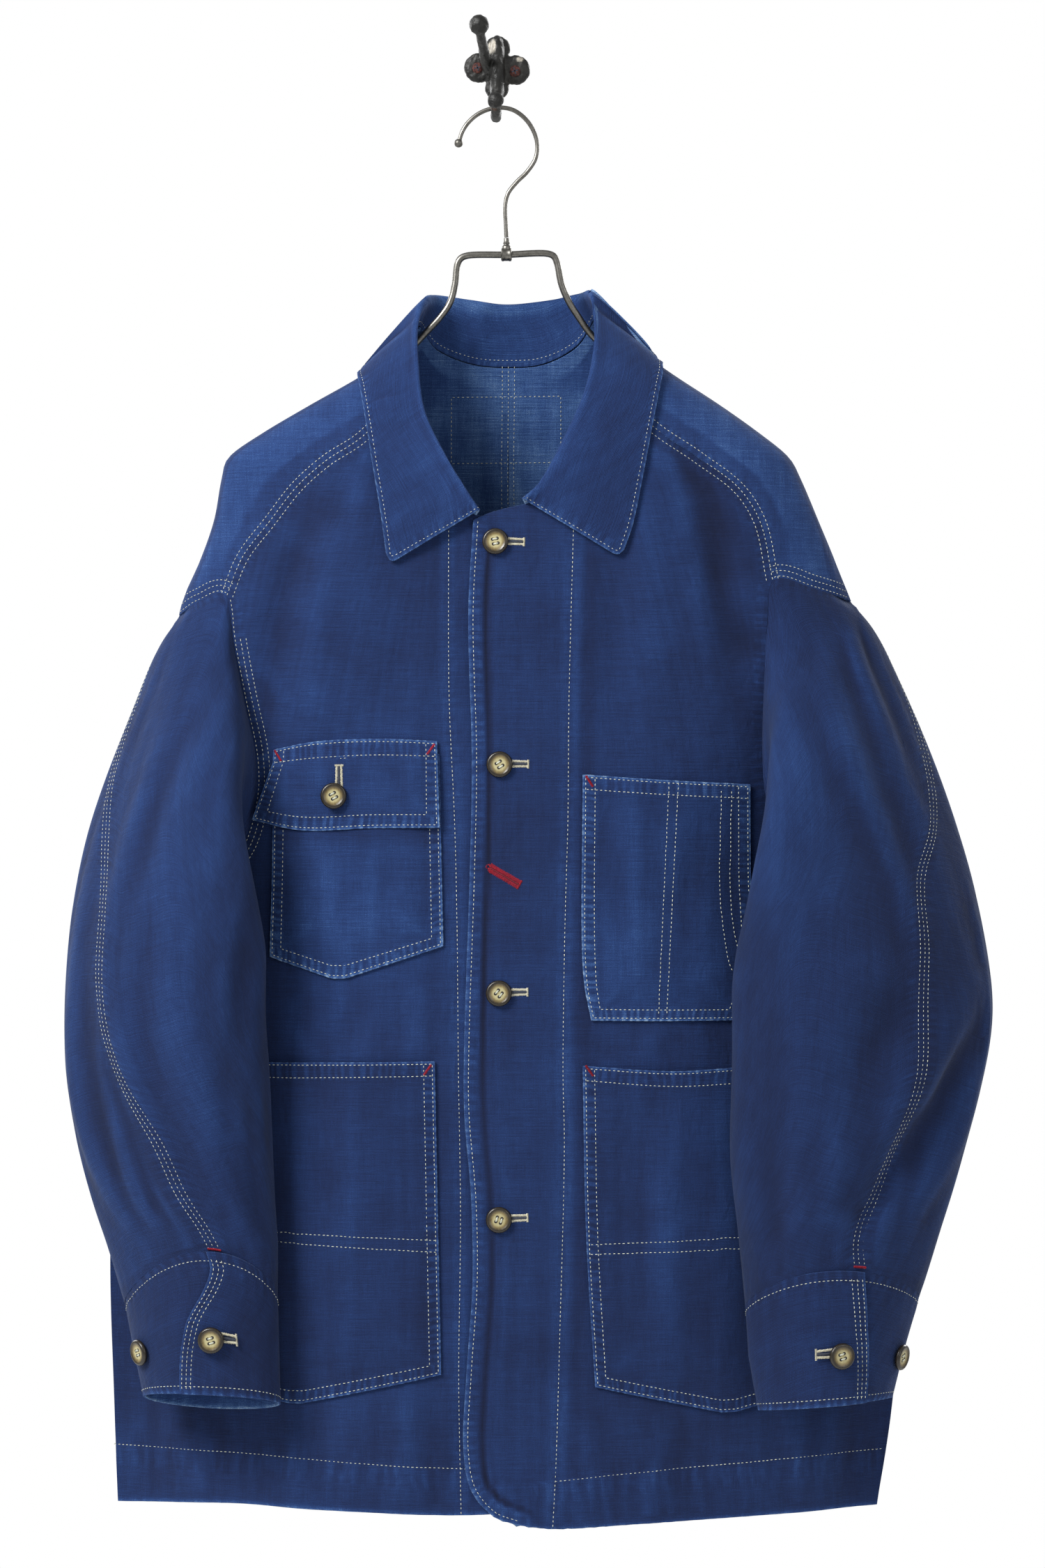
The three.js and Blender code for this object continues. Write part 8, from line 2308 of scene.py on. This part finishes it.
hook_pts = wire(HOOK_PATH)
tube = rounded_tube("hanger_hook_wire", hook_pts, 1.5, 20)
sv, sf = lathe_arrays([(3.0 * math.sin(a), -3.0 * math.cos(a)) if 0 < k < 14 else (0, -3.0 * math.cos(a)) for k, a in enumerate(np.linspace(0, math.pi, 15))], 28)
ball = make_mesh("hanger_ball", sv + np.array([HOOK_PATH[0]["x"] - 0.4, HANGER_Y, HOOK_PATH[0]["z"] - 1.2]), sf, sharp=60)
hook_ob = join("hanger_hook_wire", [tube, ball])
finish_piece(hook_ob, "nickel", "nickel_wire")
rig.replaces(hook_ob, "hanger_hook")
bar = rounded_tube("hanger_bent_wire", wire(FRAME_PATH), 2.3, 24)
finish_piece(bar, "nickel", "nickel_wire")
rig.replaces(bar, "hanger_frame")
cv, cf = lathe_arrays([(0, -3.7), (3.4, -3.7), (4.0, -3.5), (4.5, -3.0), (4.55, -2.0), (4.3, -1.6), (4.3, 1.6), (4.55, 2.0), (4.5, 3.0), (4.0, 3.5), (3.4, 3.7), (0, 3.7)], 32)
band = make_mesh("ferrule_band", np.stack([cv[:, 2] + 7, cv[:, 1] + HANGER_Y, cv[:, 0] - 137.5], -1), cf, sharp=40)
cv, cf = lathe_arrays([(0, 0), (3.0, 0), (3.1, 0.3), (3.1, 2.2), (2.7, 2.8), (2.0, 3.4), (1.9, 3.9), (2.3, 4.2), (2.35, 5.0), (1.9, 5.4), (1.85, 7.9), (1.6, 8.2), (0, 8.2)], 28)
stub = make_mesh("ferrule_stub", cv + np.array([7, HANGER_Y, -134.3]), cf, sharp=40)
fer = join("ferrule_turned", [band, stub])
finish_piece(fer, "nickel", "nickel_wire")
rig.replaces(fer, "ferrule")


# ---------------------------------------------------------------- wall hook
def ellipsoid(centre, radii, rot=(0, 0, 0), n=20):
    a = np.linspace(0, math.pi, n + 1)
    v, f = lathe_arrays([(math.sin(t) if 0 < k < n else 0, -math.cos(t)) for k, t in enumerate(a)], 2 * n)
    v = v * np.asarray(radii)
    from mathutils import Euler
    R = np.array(Euler(rot).to_matrix())
    return v @ R.T + np.asarray(centre), f


def lobe(x, z, r, h):
    """A cushion-shaped boss standing on the wall."""
    prof = [(0, 0), (r - 0.2, 0), (r, 0.6), (r, h * 0.45), (r - 0.5, h * 0.75), (r - 1.5, h * 0.95), (r - 3.2, h * 1.06), (r * 0.4, h * 1.1), (0, h * 1.1)]
    v, f = lathe_arrays(prof, 40)
    return np.stack([v[:, 0] + x, -v[:, 2], v[:, 1] + z], -1), [q[::-1] for q in f]


parts = []
half = 12.55 + 0.8
specs = [lobe(12.95, -2.2, 10.4, 4.3), lobe(-12.35, -0.6, 10.4, 4.3), lobe(0.6, 12.6, 8.9, 4.6), lobe(0.2, -14.6, 8.4, 4.6),
         ellipsoid((0.4, -5.5, 9), (5.2, 8.6, 12.5)), ellipsoid((0.2, -7.5, -6), (5.4, 9.0, 17.5)), ellipsoid((0.2, -8.5, -17), (5.0, 7.5, 9)),
         ellipsoid((0.4, -3.0, -1), (13, 3.2, 11))]
for k, (v, f) in enumerate(specs):
    parts.append(make_mesh("cast_%d" % k, v, f, sharp=60))
prong = catmull(np.array([[0, -4, -16], [0, -14, -27], [-0.1, -27, -36.2], [-0.2, -41, -41.2], [-0.3, -55, -42.4], [-0.3, -65, -40.2], [-0.3, -71.5, -35.4]], float), 8)
parts.append(rounded_tube("cast_prong", prong, np.interp(np.linspace(0, 1, len(prong)), [0, 0.25, 0.8, 1], [4.3, 3.6, 3.3, 3.7]), 20))
v, f = ellipsoid((-0.3, -72.4, -34.4), (5.7, 4.8, 5.5))
parts.append(make_mesh("cast_tip", v, f, sharp=60))
arm = catmull(np.array([[-5.5, -7, -2], [-8.0, -18, 3.6], [-9.0, -32, 8.0], [-10.4, -50, 12.2], [-11.2, -57, 16]], float), 8)
parts.append(rounded_tube("cast_arm", arm, np.interp(np.linspace(0, 1, len(arm)), [0, 0.3, 0.85, 1], [4.6, 3.6, 3.2, 3.8]), 20))
# the knob is ribbed like a melon
n = 40
a = np.linspace(0, math.pi, n + 1)
v, f = lathe_arrays([(math.sin(t) if 0 < k < n else 0, -math.cos(t)) for k, t in enumerate(a)], 80)
ang = np.arctan2(v[:, 1], v[:, 0])
v = v * (1 + 0.045 * np.cos(ang * 8))[:, None] * np.array([6.8, 6.8, 7.0])
from mathutils import Euler
v = v @ np.array(Euler((math.radians(58), 0.15, 0)).to_matrix()).T + np.array([-11.7, -59.5, 19.2])
parts.append(make_mesh("cast_knob", v, f, sharp=60))
iron = join("wall_hook_casting", parts)
rm = iron.modifiers.new("fuse", "REMESH")
rm.mode = "VOXEL"
rm.voxel_size = 0.0006
sm = iron.modifiers.new("flow", "CORRECTIVE_SMOOTH")
sm.iterations = 5
sm.factor = 0.5
sm.use_only_smooth = True
deps = bpy.context.evaluated_depsgraph_get()
mesh = bpy.data.meshes.new_from_object(iron.evaluated_get(deps))
iron.modifiers.clear()
iron.data = mesh
co = np.zeros(len(mesh.vertices) * 3, dtype=np.float32)
mesh.vertices.foreach_get("co", co)
co = co.reshape(-1, 3).astype(float) / MM
no = np.zeros(len(mesh.vertices) * 3, dtype=np.float32)
mesh.vertices.foreach_get("normal", no)
no = no.reshape(-1, 3).astype(float)
lump = 0.22 * np.sin(co[:, 0] * 0.9 + 1.3 * np.sin(co[:, 2] * 0.5)) * np.sin(co[:, 2] * 0.8 + co[:, 1] * 0.6) + 0.12 * np.sin(co[:, 0] * 2.1 + co[:, 2] * 1.7) * np.sin(co[:, 1] * 1.9 + co[:, 2] * 2.3)
co = co + no * lump[:, None]
co[:, 1] = np.minimum(co[:, 1], -0.01)
mesh.vertices.foreach_set("co", (co * MM).astype(np.float32).ravel())
bare = np.exp(-(((co[:, 0] + 3.2) / 3.2) ** 2 + ((co[:, 2] - 13) / 6.5) ** 2)) * (co[:, 1] < -4) + 0.7 * np.exp(-(((co[:, 0] - 16) / 4) ** 2 + ((co[:, 2] - 5) / 3) ** 2)) + 0.4 * np.exp(-(((co[:, 0] + 16) / 4) ** 2 + ((co[:, 2] - 7) / 3) ** 2))
rust_v = np.exp(-(((co[:, 0] + 1) / 3.5) ** 2 + ((co[:, 1] + 66) / 9) ** 2 + ((co[:, 2] + 37) / 5) ** 2)) * 1.1
for key, val in (("bare", bare), ("rust", rust_v)):
    at_ = mesh.attributes.new(key, "FLOAT", "POINT")
    at_.data.foreach_set("value", val.astype(np.float32))
mesh.polygons.foreach_set("use_smooth", np.ones(len(mesh.polygons), dtype=bool))
mesh.update()
finish_piece(iron, "iron", "cast_iron_hook")
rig.replaces(iron, "wall_hook")
for node, x, zz, r in (("screw_right", -13.35, -1.2, 3.9), ("screw_left", 12.65, -3.4, 4.1)):
    prof = [(0, 0), (r, 0), (r + 0.1, 0.5), (r * 0.93, 1.3), (r * 0.7, 1.9), (r * 0.35, 2.2), (0, 2.25)]
    v, f = lathe_arrays(prof, 36)
    head = make_mesh(node + "_head", np.stack([v[:, 0] + x, -v[:, 2] - 3.9, v[:, 1] + zz], -1), [q[::-1] for q in f], sharp=50)
    finish_piece(head, "rust", "rusty_screws")
    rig.replaces(head, node)
    # dark boxes stand in for the screw slots: painted shade, as the heads have no cut groove
    sv, sf, n0 = [], [], 0
    for t in (0.3, 0.3 + math.pi / 2):
        c, s = math.cos(t), math.sin(t)
        box = [(dx, dy, dz) for dx in (-r * 0.55, r * 0.55) for dy in (-0.45, 0.45) for dz in (1.5, 2.32)]
        sv += [(x + dx * c - dy * s, -3.9 - dz, zz + dx * s + dy * c) for dx, dy, dz in box]
        sf += [tuple(n0 + i for i in q) for q in ((0, 1, 3, 2), (4, 6, 7, 5), (0, 4, 5, 1), (2, 3, 7, 6), (0, 2, 6, 4), (1, 5, 7, 3))]
        n0 += 8
    slot_ob = make_mesh(node + "_slot", np.array(sv), sf, smooth_faces=False)
    finish_piece(slot_ob, "navy", None)

for key, th in THREAD.items():
    ob = th.done("stitches_" + key)
    finish_piece(ob, "thread", None)

# ---------------------------------------------------------------- studio
def aim(ob, target):
    d = np.asarray(target, float) - np.asarray(ob.location, float)
    from mathutils import Vector
    ob.rotation_euler = Vector(d).to_track_quat("-Z", "Y").to_euler()


cam = bpy.data.cameras.new("camera")
cam_ob = bpy.data.objects.new("camera", cam)
bpy.context.scene.collection.objects.link(cam_ob)
cam.sensor_fit = "AUTO"
cam.sensor_width = 36
cam.lens = 98.72
cam.clip_start, cam.clip_end = 0.1, 30
cam_ob.location = (0.018, -3.0, -0.5)
cam_ob.rotation_euler = (math.radians(90), 0, 0)
bpy.context.scene.camera = cam_ob


def area(name, where, target, size, power, colour=(1, 1, 1)):
    light = bpy.data.lights.new(name, "AREA")
    light.shape = "RECTANGLE"
    light.size, light.size_y = size
    light.energy = power
    light.color = colour
    ob = bpy.data.objects.new(name, light)
    bpy.context.scene.collection.objects.link(ob)
    ob.location = where
    aim(ob, target)
    return ob


area("key", (-1.7, -1.7, 1.15), (0, -0.05, -0.55), (1.1, 1.1), 120)
area("back_left", (1.9, 2.0, 0.6), (0, 0, -0.5), (1.4, 1.4), 55)
area("back_right", (-1.9, 2.0, 0.4), (0, 0, -0.5), (1.4, 1.4), 35)
area("fill", (1.9, -2.2, 0.2), (0, -0.05, -0.5), (1.6, 1.8), 16)

world = bpy.data.worlds.new("studio")
bpy.context.scene.world = world
world.use_nodes = True
tree = world.node_tree
tree.nodes.clear()
w_out = tree.nodes.new("ShaderNodeOutputWorld")
back = tree.nodes.new("ShaderNodeBackground")
back.inputs["Color"].default_value = (1, 1, 1, 1)
back.inputs["Strength"].default_value = 1.0
soft = tree.nodes.new("ShaderNodeBackground")
soft.inputs["Color"].default_value = (1, 1, 1, 1)
soft.inputs["Strength"].default_value = 0.55
path = tree.nodes.new("ShaderNodeLightPath")
blend = tree.nodes.new("ShaderNodeMixShader")
tree.links.new(path.outputs["Is Camera Ray"], blend.inputs[0])
tree.links.new(soft.outputs[0], blend.inputs[1])
tree.links.new(back.outputs[0], blend.inputs[2])
tree.links.new(blend.outputs[0], w_out.inputs[0])

bpy.ops.mesh.primitive_plane_add(size=1, location=(0, 0, -1.72))
floor = bpy.context.object
floor.name = "studio_floor"
floor.scale = (9, 7.2, 1)
floor.location = (0, -0.15, -1.72)
floor.data.materials.append(MAT["floor"])
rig.stage(floor)

bpy.context.scene.view_settings.view_transform = "Standard"
bpy.context.scene.view_settings.look = "None"
bpy.context.scene.view_settings.exposure = 0.0
bpy.context.scene.view_settings.gamma = 1.0

with open("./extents.json", "w") as out_file:
    json.dump({"cad": CAD_BOX, "visual": [list(v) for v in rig.bounds()]}, out_file)
